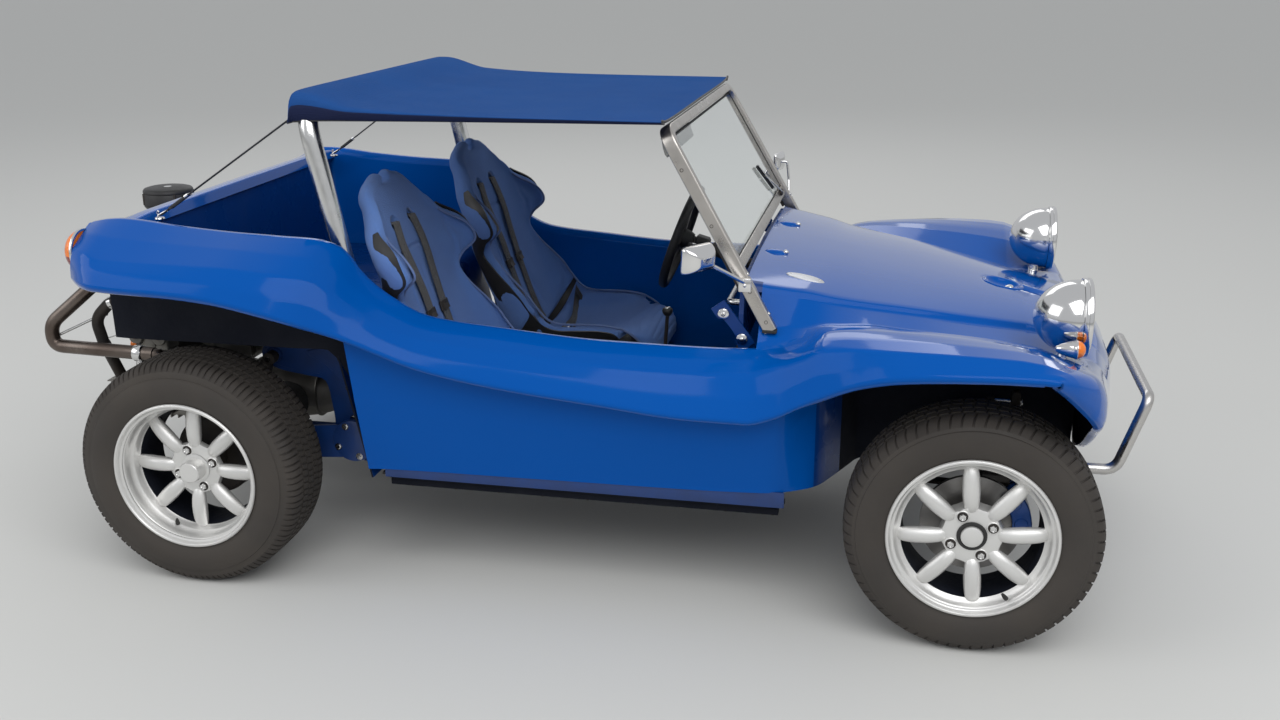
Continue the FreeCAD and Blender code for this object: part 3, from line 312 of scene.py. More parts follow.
def moved(part, matrix):
    verts, faces = part
    return [tuple(matrix @ Vector(v)) for v in verts], faces


def shifted(part, base):
    verts, faces = part
    return [(base[0] + x, y, base[2] + z) for x, y, z in verts], faces


def flipped(faces):
    return [tuple(reversed(f)) for f in faces]


def grid_faces(rows, cols, wrap=False, offset=0):
    faces = []
    for i in range(rows - 1):
        for j in range(cols if wrap else cols - 1):
            a = offset + i * cols + j
            b = offset + i * cols + (j + 1) % cols
            faces.append((a, b, b + cols, a + cols))
    return faces


def bar_faces(rings, n):
    """Faces of a closed bar through rings of n points, with both ends."""
    return grid_faces(rings, n, wrap=True) + [tuple(range(n))[::-1], tuple(range((rings - 1) * n, rings * n))]


def loop_faces(rings, n):
    """Faces of a closed loop of rings of n points."""
    faces = []
    for i in range(rings):
        here, ahead = i * n, (i + 1) % rings * n
        for j in range(n):
            k = (j + 1) % n
            faces.append((here + j, here + k, ahead + k, ahead + j))
    return faces


def grid_sheet(rows, turned=False):
    """Open (verts, faces) through equal rows of points."""
    faces = grid_faces(len(rows), len(rows[0]))
    return [p for row in rows for p in row], flipped(faces) if turned else faces


def in_steps(ring, count):
    """Closed outline with each of its sides cut into equal steps."""
    return [(a[0] + (b[0] - a[0]) * k / count, a[1] + (b[1] - a[1]) * k / count)
            for a, b in zip(ring, ring[1:] + ring[:1]) for k in range(count)]


def arc_line(radius, start, sweep, z, count=9):
    """Points of an arc in degrees about a height."""
    angles = [math.radians(start + sweep * k / (count - 1)) for k in range(count)]
    return [(radius * math.cos(a), z + radius * math.sin(a)) for a in angles]


def smooth_line(points, count=24):
    """Catmull-Rom line through points."""
    pts = [np.array(p, float) for p in points]
    pts = [2 * pts[0] - pts[1]] + pts + [2 * pts[-1] - pts[-2]]
    out = []
    per = max(2, count // (len(points) - 1))
    for k in range(1, len(pts) - 2):
        p0, p1, p2, p3 = pts[k - 1:k + 3]
        for i in range(per):
            t = i / per
            out.append(0.5 * (2 * p1 + (p2 - p0) * t + (2 * p0 - 5 * p1 + 4 * p2 - p3) * t * t
                              + (3 * p1 - p0 - 3 * p2 + p3) * t ** 3))
    out.append(pts[-2])
    return out


def rounded(points, radii, arc=6, run=1):
    """Line through points with each inner corner turned into a curve. The number of points depends only on the counts."""
    pts = [np.array(p, float) for p in points]
    out = [pts[0]]
    last = pts[0]
    for k in range(1, len(pts) - 1):
        before, corner, after = pts[k - 1], pts[k], pts[k + 1]
        a = before - corner
        b = after - corner
        la, lb = np.linalg.norm(a), np.linalg.norm(b)
        cos = np.clip(np.dot(a, b) / (la * lb + 1e-12), -1, 1)
        half = (math.pi - math.acos(cos)) / 2
        cut = min(radii[k - 1] * math.tan(half), 0.48 * la, 0.48 * lb)
        begin = corner + a / (la + 1e-12) * cut
        finish = corner + b / (lb + 1e-12) * cut
        for i in range(1, run + 1):
            out.append(last + (begin - last) * i / run)
        for i in range(1, arc + 1):
            t = i / arc
            out.append(begin * (1 - t) ** 2 + 2 * corner * t * (1 - t) + finish * t * t)
        last = finish
    for i in range(1, run + 1):
        out.append(last + (pts[-1] - last) * i / run)
    return out


def tube(points, radius, sides=14, closed=False, flat=None):
    """Round, or flat (half width, half depth), bar along a line of points."""
    pts = [Vector(p) for p in points]
    n = len(pts)
    verts = []
    normal = None
    for k, p in enumerate(pts):
        ahead = pts[(k + 1) % n] if closed or k < n - 1 else p
        behind = pts[(k - 1) % n] if closed or k > 0 else p
        tangent = (ahead - behind).normalized()
        if normal is None:
            guess = Vector((0, 0, 1)) if abs(tangent.z) < 0.9 else Vector((1, 0, 0))
            normal = (guess - tangent * guess.dot(tangent)).normalized()
        else:
            normal = (normal - tangent * normal.dot(tangent)).normalized()
        side = tangent.cross(normal)
        r = radius[k] if isinstance(radius, (list, tuple)) else radius
        for i in range(sides):
            a = 2 * math.pi * i / sides
            if flat:
                u = math.copysign(abs(math.cos(a)) ** 0.45, math.cos(a)) * flat[0]
                v = math.copysign(abs(math.sin(a)) ** 0.45, math.sin(a)) * flat[1]
            else:
                u, v = r * math.cos(a), r * math.sin(a)
            verts.append(p + side * u + normal * v)
    return verts, loop_faces(n, sides) if closed else bar_faces(n, sides)


def lathe(profile, centre, axis="x", sides=48):
    """Solid of revolution from (along, radius) points. A radius of 0 closes an end."""
    verts, faces = [], []
    rings = []
    for along, r in profile:
        if r <= 1e-6:
            rings.append([len(verts)])
            verts.append((along, 0, 0))
        else:
            rings.append(list(range(len(verts), len(verts) + sides)))
            for i in range(sides):
                a = 2 * math.pi * i / sides
                verts.append((along, r * math.cos(a), r * math.sin(a)))
    for p, q in zip(rings, rings[1:]):
        for i in range(sides):
            j = (i + 1) % sides
            if len(p) == 1 and len(q) == 1:
                continue
            if len(p) == 1:
                faces.append((p[0], q[j], q[i]))
            elif len(q) == 1:
                faces.append((p[i], p[j], q[0]))
            else:
                faces.append((p[i], p[j], q[j], q[i]))
    turn = {"x": lambda v: v, "y": lambda v: (v[2], v[0], v[1]), "z": lambda v: (v[1], v[2], v[0])}[axis]
    verts = [tuple(a + b for a, b in zip(turn(v), centre)) for v in verts]
    return verts, faces


def block(x0, x1, y0, y1, z0, z1, bevel=0.004, segments=2):
    """Box with rounded edges."""
    bm = bmesh.new()
    bmesh.ops.create_cube(bm, size=1.0)
    for v in bm.verts:
        v.co = Vector(((x0 + x1) / 2 + v.co.x * (x1 - x0), (y0 + y1) / 2 + v.co.y * (y1 - y0),
                       (z0 + z1) / 2 + v.co.z * (z1 - z0)))
    size = min(abs(x1 - x0), abs(y1 - y0), abs(z1 - z0))
    bmesh.ops.bevel(bm, geom=bm.edges[:], offset=min(bevel, size * 0.45), segments=segments, profile=0.5,
                    affect="EDGES")
    verts = [tuple(v.co) for v in bm.verts]
    faces = [tuple(v.index for v in f.verts) for f in bm.faces]
    bm.free()
    return verts, faces


def box_between(low, high, bevel=0.004, segments=2):
    """Box with rounded edges from its low corner to its high one."""
    return block(low[0], high[0], low[1], high[1], low[2], high[2], bevel=bevel, segments=segments)


def pchip(xs, ys, x):
    """Monotone cubic through table values."""
    xs = np.array(xs, float)
    ys = np.array(ys, float)
    h = np.diff(xs)
    d = np.diff(ys) / h
    m = np.zeros(len(xs))
    for k in range(1, len(xs) - 1):
        if d[k - 1] * d[k] > 0:
            w1 = 2 * h[k] + h[k - 1]
            w2 = h[k] + 2 * h[k - 1]
            m[k] = (w1 + w2) / (w1 / d[k - 1] + w2 / d[k])
    m[0], m[-1] = d[0], d[-1]
    i = int(np.clip(np.searchsorted(xs, x) - 1, 0, len(h) - 1))
    t = (x - xs[i]) / h[i]
    t = min(max(t, 0.0), 1.0)
    return float((2 * t ** 3 - 3 * t * t + 1) * ys[i] + (t ** 3 - 2 * t * t + t) * h[i] * m[i]
                 + (-2 * t ** 3 + 3 * t * t) * ys[i + 1] + (t ** 3 - t * t) * h[i] * m[i + 1])


def vertex_normals(verts, faces):
    v = np.array(verts, float)
    n = np.zeros_like(v)
    for f in faces:
        p = v[list(f)]
        if len(f) == 4:
            c = np.cross(p[2] - p[0], p[3] - p[1])
        else:
            c = np.cross(p[1] - p[0], p[2] - p[0])
        for i in f:
            n[i] += c
    size = np.linalg.norm(n, axis=1)
    size[size < 1e-15] = 1
    return n / size[:, None]


def weld(verts, faces, gap=1e-5):
    """Merges points that coincide."""
    seen, remap, out = {}, [], []
    for v in verts:
        key = tuple(int(round(c / gap)) for c in v)
        if key not in seen:
            seen[key] = len(out)
            out.append(tuple(v))
        remap.append(seen[key])
    new = []
    for f in faces:
        g = []
        for i in f:
            if not g or remap[i] != g[-1]:
                g.append(remap[i])
        if len(g) > 2 and g[0] == g[-1]:
            g = g[:-1]
        if len(set(g)) > 2:
            new.append(tuple(g))
    return out, new


def shell(name, verts, faces, normals, wall, mat, **place):
    """Closed sheet of the wall's thickness under an outer skin, keeping the skin's own normals at its edges."""
    used = sorted({i for f in faces for i in f})
    order = {old: new for new, old in enumerate(used)}
    outer = [verts[i] for i in used]
    n = [normals[i] for i in used]
    inner = [tuple(np.array(v) - np.array(k) * wall) for v, k in zip(outer, n)]
    count = len(outer)
    skin = [tuple(order[i] for i in f) for f in faces]
    edges = {}
    for f in skin:
        for a, b in zip(f, f[1:] + f[:1]):
            edges[(a, b)] = edges.get((a, b), 0) + 1
    rim = [(a, b) for a, b in edges if (b, a) not in edges]
    all_faces = list(skin)
    loops = []
    for f in skin:
        loops += [tuple(n[i]) for i in f]
    for f in skin:
        g = tuple(i + count for i in reversed(f))
        all_faces.append(g)
        loops += [tuple(-np.array(n[i - count])) for i in g]
    for a, b in rim:
        g = (b, a, a + count, b + count)
        p = [np.array((outer + inner)[i]) for i in g]
        k = np.cross(p[2] - p[0], p[3] - p[1])
        k = k / (np.linalg.norm(k) + 1e-15)
        all_faces.append(g)
        loops += [tuple(k)] * 4
    return make(name, outer + inner, all_faces, mat, normals=loops, **place)


# ------------------------------------------------------------------ body
# x; lip y, z; shoulder y, z; crest y, z; how far the curl under the lip goes in
BODY = [
    (-2312, 762, 565, 742, 640, 648, 688, 14),
    (-2270, 800, 562, 765, 635, 652, 697, 16),
    (-2224, 822, 560, 778, 622, 652, 700, 18),
    (-2050, 832, 556, 782, 618, 650, 684, 18),
    (-1900, 832, 545, 782, 616, 650, 674, 18),
    (-1790, 824, 522, 776, 606, 650, 670, 18),
    (-1690, 802, 490, 758, 592, 640, 664, 22),
    (-1630, 775, 462, 730, 562, 622, 640, 38),
    (-1580, 755, 438, 706, 515, 612, 570, 60),
    (-1510, 738, 405, 688, 462, 602, 510, 72),
    (-1400, 724, 362, 672, 424, 600, 460, 75),
    (-1210, 720, 326, 666, 402, 600, 441, 76),
    (-950, 720, 298, 666, 384, 600, 423, 76),
    (-670, 720, 274, 668, 376, 600, 420, 76),
    (-560, 722, 274, 672, 384, 600, 423, 74),
    (-490, 728, 296, 680, 410, 602, 432, 62),
    (-430, 740, 333, 700, 442, 620, 455, 40),
    (-370, 756, 368, 722, 474, 640, 492, 24),
    (-290, 782, 410, 748, 486, 650, 502, 18),
    (-190, 808, 439, 770, 492, 658, 504, 18),
    (-60, 826, 455, 786, 496, 664, 500, 18),
    (60, 832, 461, 792, 494, 672, 492, 18),
    (120, 832, 461, 795, 488, 680, 485, 18),
]
# x; valley y, z; hood crease y, z; hood middle z
FRONT = [
    (-590, 560, 490, 505, 572, 586),
    (-500, 545, 472, 486, 557, 575),
    (-430, 545, 474, 468, 545, 564),
    (-370, 545, 482, 452, 530, 553),
    (-290, 532, 482, 436, 517, 538),
    (-190, 508, 468, 414, 503, 522),
    (-60, 482, 450, 375, 480, 500),
    (60, 462, 424, 330, 458, 478),
    (120, 450, 408, 304, 446, 466),
]
# y; brow x, z; face x, z; chin x, z; foot x, z
NOSE = [
    (0, 302, 421, 352, 340, 362, 225, 300, 130),
    (200, 296, 412, 344, 338, 354, 222, 288, 130),
    (320, 286, 404, 330, 336, 338, 226, 276, 140),
    (450, 278, 404, 312, 338, 314, 248, 270, 180),
    (550, 272, 410, 297, 352, 297, 276, 270, 232),
    (620, 264, 418, 285, 370, 284, 306, 270, 278),
    (700, 246, 436, 268, 398, 271, 346, 266, 320),
    (755, 214, 454, 234, 424, 230, 388, 222, 378),
    (795, 178, 468, 196, 448, 192, 427, 185, 420),
    (832, 140, 474, 152, 466, 154, 460, 150, 454),
]
HOOD_BACK = -590
NOSE_START = 120


def lookup(table, x):
    columns = list(zip(*table))
    return [pchip(columns[0], column, x) for column in columns[1:]]


def stations(start, stop, step):
    count = max(2, int(round(abs(stop - start) / step)))
    return [start + (stop - start) * k / count for k in range(count + 1)]


def outer_section(x):
    """From the curl's end, round the lip and up to the crest."""
    ly, lz, sy, sz, cy, cz, curl_in = lookup(BODY, x)
    swell = pchip([-2312, -1600, -400, -250, 120], [6, 6, 5, 1.5, 1.5], x)
    edge = pchip([-2312, -1700, -1500, -400, -280, 120], [34, 34, 60, 40, 11, 9], x)
    bulge_y = (ly + sy) / 2 + swell
    bulge_z = (lz + sz) / 2 + swell * 0.7
    pts = [(ly - curl_in, lz - 4), (ly - curl_in * 0.45, lz - 6), (ly, lz + 5), (bulge_y, bulge_z),
           (sy, sz), ((sy + cy) / 2, (sz + cz) / 2 + 4), (cy, cz)]
    return rounded(pts, [60, 9, 90, edge, 120], arc=6, run=2)


def crest_turn(x):
    """The crest's rounded edge and the wall that drops inside it, behind the windshield."""
    cy, cz = lookup(BODY, x)[4:6]
    foot = pchip([-2312, -1700, -1600, -1480, -590], [365, 365, 200, 5, 5], x)
    pts = [(cy, cz), (cy - 16, cz + 1), (cy - 24, cz - 16), (cy - 30, foot + 0.5 * (cz - foot)),
           (cy - 34, foot)]
    return rounded(pts, [10, 12, 200], arc=4, run=3)


def hood_section(x):
    """From the crest, through the valley and the hood's crease, to the middle."""
    cy, cz = lookup(BODY, x)[4:6]
    vy, vz, hy, hz, mz = lookup(FRONT, x)
    bend = pchip([-590, -430, -330, 120], [60, 60, 26, 22], x)
    pts = [(cy, cz), (cy - 0.35 * (cy - vy), cz - 0.2 * (cz - vz)), (vy, vz), (hy + 10, hz - 16),
           (hy - 3, hz)]
    side = rounded(pts, [bend, 52, 30], arc=6, run=3)
    last = len(side) - 1
    side[last] = np.array((hy - 2, hz - 0.5))
    top = []
    for k in range(1, 31):
        t = k / 30
        top.append(np.array(((hy - 5) * (1 - t), hz + (mz - hz) * (1 - (1 - t) ** 2.2))))
    return side + top


def recess(x, y):
    """Depth of the round hollow near the hood's front."""
    far = math.hypot((x - 74) / 48, y / 46)
    t = min(1.0, max(0.0, (1.14 - far) / 0.18))
    return 24 * t * t * (3 - 2 * t)


def nose_line(y, x0, z0):
    """From the front stations over the brow, down the face and back under the chin."""
    bx, bz, fx, fz, cx, cz, tx, tz = lookup(NOSE, y)
    bz = min(bz, z0 - 2)
    pts = [(x0, z0), (bx, bz), (fx, fz), (cx, cz), (tx, tz), (tx - 14, tz + 5)]
    return rounded(pts, [80, 120, 90, 26 if y > 640 else 60, 5], arc=6, run=2)


def body_skin():
    """Whole outer skin as (verts, faces, kind of each face): body or hood."""
    verts, faces, kinds = [], [], []

    def add(rows, kind, flip=False):
        base = len(verts)
        cols = len(rows[0])
        for row in rows:
            verts.extend(row)
        for f in grid_faces(len(rows), cols, offset=base):
            faces.append(tuple(reversed(f)) if flip else f)
            kinds.append(kind)

    xs = stations(-2312, HOOD_BACK, 20) + stations(HOOD_BACK, -60, 14)[1:] + stations(-60, NOSE_START, 7)[1:]
    for side in (1, -1):
        def place(x, y, z):
            return at(x, side * y, z)
        flip = side > 0
        add([[place(x, y, z) for y, z in outer_section(x)] for x in xs], "body", flip)
        add([[place(x, y, z) for y, z in crest_turn(x)] for x in xs if x <= HOOD_BACK + 48], "body", flip)
        front = [x for x in xs if x >= HOOD_BACK - 1e-6]
        add([[place(x, y, z - recess(x, y)) for y, z in hood_section(x)] for x in front], "hood", flip)
        last = outer_section(NOSE_START)[9:] + hood_section(NOSE_START)[1:]
        rows = []
        for y, z in last:
            line = [(x, y, h) for x, h in nose_line(y, NOSE_START, z)]
            line[0] = (line[0][0], y, z - recess(NOSE_START, y))
            rows.append([place(*p) for p in line])
        rows = [list(row) for row in zip(*rows)]
        add(rows, "body", flip)
    return verts, faces, kinds


def blacken(obj, test, mat=None):
    """Near-black underseal-and-shade material, or another one, on the faces that a test of their number, middle (table
    millimetres) and normal picks; it lays underseal and also paints shade into sheltered places.
    """
    obj.data.materials.append(mat or UNDERSEAL_AND_SHADE)
    slot = len(obj.data.materials) - 1
    for i, face in enumerate(obj.data.polygons):
        c = face.center
        if test(i, (c.x - FRONT_X) * 1000, c.y * 1000, (c.z - PAN) * 1000, face.normal):
            face.material_index = slot


def build_body():
    verts, faces, kinds = body_skin()
    out, new = weld(verts, faces)
    if len(new) != len(faces):
        keep = []
        for f, kind in zip(faces, kinds):
            g = weld([verts[i] for i in f], [tuple(range(len(f)))])[1]
            if g:
                keep.append(kind)
        kinds = keep
    normals = vertex_normals(out, new)
    body_faces = [f for f, kind in zip(new, kinds) if kind == "body"]
    hood_faces = [f for f, kind in zip(new, kinds) if kind == "hood"]

    def side_gap(face):
        """The strip beside the dashboard, behind the windshield's feet, that stays open."""
        x = sum(out[i][0] for i in face) / len(face)
        y = abs(sum(out[i][1] for i in face)) / len(face)
        return (x - FRONT_X) * 1000 < -546 and 0.506 < y < 0.6
    hood_faces = [f for f in hood_faces if not side_gap(f)]
    skin = shell("body_shell", out, body_faces, normals, 0.006, PAINT, slot="body_paint",
                 replaces=("body_tub",))
    count = len(body_faces)
    # The shell's inner faces, under the fenders and the nose, are near-black.
    blacken(skin, lambda i, x, y, z, n: i < count)
    skin = shell("hood_shell", out, hood_faces, normals, 0.006, PAINT, slot="body_paint", replaces=("hood",))
    number = len(hood_faces)
    blacken(skin, lambda i, x, y, z, n: i < number and x < -90)
    # Painted shade: the hood's outer faces beside the windshield's feet take the shaded paint.
    blacken(skin, lambda i, x, y, z, n: i >= number and x < -542 and abs(y) > 480, PAINT_SHADED)


def build_inner_body():
    """Side panels, bin, firewall, deck, wheel wells and bulkheads, inside the outer skin."""
    parts = []
    for side in (1, -1):
        plan = [(x, 604) for x in stations(-1598, -640, 20)][:-1]
        plan += [tuple(p) for p in rounded([(-640, 604), (-490, 604), (-392, 552), (-300, 350), (-240, 338),
                                            (252, 338)], [190, 120, 40, 40], arc=9, run=4)]
        rows = []
        for x, y in plan:
            ly, lz, _, _, _, cz, curl_in = lookup(BODY, x)
            under = pchip([-300, 120, 200, 335], [cz - 12, cz - 12, 425, 250], x)
            if -330 < x <= 120:
                line = hood_section(x)[::-1]
                under = min(under, float(np.interp(y + 2, [p[0] for p in line], [p[1] for p in line])) - 18)
            elif x > 120:
                under = min(under, pchip([120, 180, 252], [378, 350, 300], x))
            follow = pchip([-1600, -640, -500, -400, 340], [1, 1, 0.75, 0, 0], x)
            top_y = follow * (ly - curl_in + 4) + (1 - follow) * (y + 2)
            top_z = follow * (lz - 4) + (1 - follow) * min(under, cz - 10)
            low = pchip([-1600, -1555, -1100, -684, -480, -336, -286, -236, 60, 335], [30, 33, 39, 44, 51, 58,
                    66, 128, 128, 132], x)
            mid_y = y + 0.55 * (top_y - y)
            line = [(top_y, top_z), (mid_y + 4, low + 0.55 * (top_z - low)), (y + 2, low + 12), (y, low)]
            rows.append([at(x, side * v, z) for v, z in rounded(line, [120, 60], arc=4, run=3)])
        parts.append(grid_sheet(rows, side < 0))
    v, f = join(parts)
    skin = shell("side_panels", v, f, vertex_normals(v, f), 0.005, PAINT, slot="body_paint")
    # Painted shade: the panel's front part, where it curves into the front wheel well, is darkened in two steps, to
    # shaded paint from x -398 and to near-black from x -338.
    blacken(skin, lambda i, x, y, z, n: x > -398, PAINT_SHADED)
    blacken(skin, lambda i, x, y, z, n: x > -338)

    parts = []
    half = 600
    bin_line = rounded([(-1594, 0), (-1674, 365), (-2204, 365), (-2214, 692)], [30, 30], arc=4, run=4)
    rows = [[at(x, y, z) for x, z in bin_line] for y in stations(-half, half, 120)]
    parts.append(grid_sheet(rows))
    bulk = rounded([(-640, 0), (-500, 120), (-470, 440)], [60], arc=5, run=4)
    rows = [[at(x, y, z) for x, z in bulk] for y in stations(-600, 600, 120)]
    parts.append(grid_sheet(rows, True))
    v, f = join(parts)
    skin = shell("body_inner_walls", v, f, vertex_normals(v, f), 0.005, PAINT_SHADED, slot="body_paint")
    # Faces under and behind the bin, the walls' ends and the bulkhead's front face are near-black.
    blacken(skin, lambda i, x, y, z, n: x < -1560 and (n.z < -0.5 or n.x < -0.5) or abs(n.y) > 0.8 or x > -700
            and n.x > 0.3)

    parts = []
    deck = []
    for y in stations(-648, 648, 36):
        k = abs(y) / 648.0
        back = 2074 + pchip([0, 0.45, 0.82, 1], [346, 332, 278, 240], k)
        low = pchip([0, 0.45, 0.82, 1], [616, 618, 650, 684], k)
        lip = pchip([0, 0.45, 0.82, 1], [572, 574, 585, 600], k)
        front = pchip([0, 0.8, 1], [702, 700, 692], k)
        line = rounded([(-2206, 672), (-2212, front), (-2240, front - 2), (-back, low), (-back - 5, lip)],
                       [5, 40, 14], arc=5, run=4)
        deck.append([at(x, y, z) for x, z in line])
    parts.append(grid_sheet(deck))
    for side in (1, -1):
        edge = outer_section(-2312)[6:]
        rows = []
        for t, push in ((0, 0), (0.12, 6), (0.4, 9), (0.75, 9), (1, 6)):
            row = []
            for k, (y, z) in enumerate(edge):
                part = k / (len(edge) - 1)
                qy, qz = 646, 574 + (686 - 574) * part
                row.append(at(-2312 - push, side * (y + (qy - y) * t), z + (qz - z) * t))
            rows.append(row)
        parts.append(grid_sheet(rows, side < 0))
    v, f = join(parts)
    skin = shell("tail_panels", v, f, vertex_normals(v, f), 0.005, PAINT, slot="body_paint")
    blacken(skin, lambda i, x, y, z, n: n.z < -0.4)


build_body()
build_inner_body()

# ------------------------------------------------------------------ wheels
def halves(part, test):
    """Splits a part's faces by a test of their middle."""
    verts, faces = part
    first, second = [], []
    for face in faces:
        mid = np.mean(np.array([verts[i] for i in face]), axis=0)
        (first if test(*mid) else second).append(face)
    return (verts, first), (verts, second)


def loop_lathe(profile, sides, shape=None):
    """Ring with its axis along +Y from a closed (outward, radius) profile."""
    n = len(profile)
    verts = []
    for i in range(sides):
        a = 2 * math.pi * i / sides
        k = shape(a) if shape else 1.0
        verts += [(r * k * math.cos(a), w, r * k * math.sin(a)) for w, r in profile]
    return verts, loop_faces(sides, n)


def made_of(name, groups, body="root", replaces=(), angle=40, near=None):
    """One object from several parts, each group with its own material."""
    verts, faces, index, mats = [], [], [], []
    for part, mat in groups:
        if mat not in mats:
            mats.append(mat)
        base = len(verts)
        verts += [tuple(v) for v in part[0]]
        faces += [tuple(i + base for i in f) for f in part[1]]
        index += [mats.index(mat)] * len(part[1])
    if near:
        verts = [tuple(near @ Vector(v)) for v in verts]
    mesh = bpy.data.meshes.new(name)
    mesh.from_pydata(verts, [], faces)
    mesh.polygons.foreach_set("material_index", index)
    mesh.polygons.foreach_set("use_smooth", [True] * len(faces))
    for mat in mats:
        mesh.materials.append(mat)
    mesh.update()
    sharpen(mesh, angle)
    obj = bpy.data.objects.new(name, mesh)
    bpy.context.collection.objects.link(obj)
    return settle(obj, body, replaces)


def tyre_mesh(half, radius, pitches, grooves, slot_from, slot_depth, steps, skew):
    """Carcass with circumferential grooves and slots across the ribs between them. Millimetres, axis along Y."""
    line = []
    side = [(half - 14, 197), (half - 11, 207), (half - 5, 220), (half - 1, 236), (half, 248),
            (half - 1.2, 262), (half - 4, 274), (half - 5.2, 277), (half - 5.4, 279.5), (half - 8, 281),
            (half - 11, radius - 25), (half - 15, radius - 18), (half - 21, radius - 11),
            (half - 27, radius - 6.5), (half - 34, radius - 3.6), (half - 42, radius - 1.8)]
    side = [(w, min(r, radius - 1)) for w, r in side]
    flat = half - 48
    marks = [flat]
    for centre, width in grooves:
        marks += [centre + width / 2 + 0.4, centre + width / 2 - 0.4, centre - width / 2 + 0.4, centre - width
                  / 2 - 0.4]
    marks = sorted(set(marks), reverse=True)
    top = [(w, radius - 1.3 * (w / flat) ** 2) for w in marks]
    line = side + top
    line = line + [(-w, r) for w, r in reversed(line) if w > 0.001]
    inner = [(-half + 20, 199), (-half + 14, 236), (-half + 14, 262), (-half + 30, radius - 22),
             (half - 30, radius - 22), (half - 14, 262), (half - 14, 236), (half - 20, 199)]

    def in_groove(w):
        return any(abs(abs(w) - c) < g / 2 for c, g in grooves)
    rows = pitches * len(steps)
    verts = []
    for i in range(rows):
        pitch, part = divmod(i, len(steps))
        for w, r in line:
            place, low = steps[part]
            depth = 0.0
            if in_groove(w):
                depth = 7.0
            elif low and abs(w) >= slot_from and r > radius - 26:
                depth = slot_depth * min(1.0, (r - radius + 26) / 12)
            elif low and abs(w) < slot_from and r > radius - 8:
                depth = slot_depth * 0.6
            rib = sum(abs(w) < c for c, _ in grooves)
            a = 2 * math.pi * (pitch + place + skew(w) + 0.37 * rib) / pitches
            verts.append(((r - depth) * math.cos(a), w, (r - depth) * math.sin(a)))
        for w, r in inner:
            a = 2 * math.pi * (pitch + steps[part][0] + skew(0)) / pitches
            verts.append((r * math.cos(a), w, r * math.sin(a)))
    n = len(line) + len(inner)
    faces = loop_faces(rows, n)
    walls = [(min(r for _, r in (line + inner)[j:j + 1]) < radius - 27) or j >= len(line) for j in range(n)]
    kinds = [walls[f % n] for f in range(len(faces))]
    return verts, faces, kinds


def spoke(angle, face, root=52):
    """Cigar-shaped spoke from the hub to the barrel."""
    rows = [(root, 10, 5, -12), (60, 14, 8.5, -9.5), (68, 16.5, 12, -7.5), (80, 19, 15.5, -6),
            (96, 20.8, 17.5, -5.5), (116, 21.6, 18.2, -5.5), (136, 21.4, 17.8, -6.5), (150, 20.6, 16.6, -8),
            (162, 19.2, 15, -9.5), (171, 17.2, 13, -11.5), (178, 14.5, 10.5, -13.5), (183, 11, 8, -15),
            (187, 7, 5, -16)]
    sides = 24
    verts = []
    for r, a, b, w in rows:
        for i in range(sides):
            t = 2 * math.pi * i / sides
            verts.append((r, face + w + b * math.sin(t), a * math.cos(t)))
    faces = grid_faces(len(rows), sides, wrap=True)
    faces.append(tuple(range(sides)))
    faces.append(tuple(range((len(rows) - 1) * sides, len(rows) * sides))[::-1])
    turn = Matrix.Rotation(-angle, 4, "Y")
    return [tuple(turn @ Vector(v)) for v in verts], faces


def along_axle(profile, r, angle, sides=20):
    """Small turned piece with its axis along the axle, at a radius and an angle."""
    verts, faces = lathe(profile, (0, 0, 0), axis="y", sides=sides)
    dx, dz = r * math.cos(angle), r * math.sin(angle)
    return [(x + dx, y, z + dz) for x, y, z in verts], faces


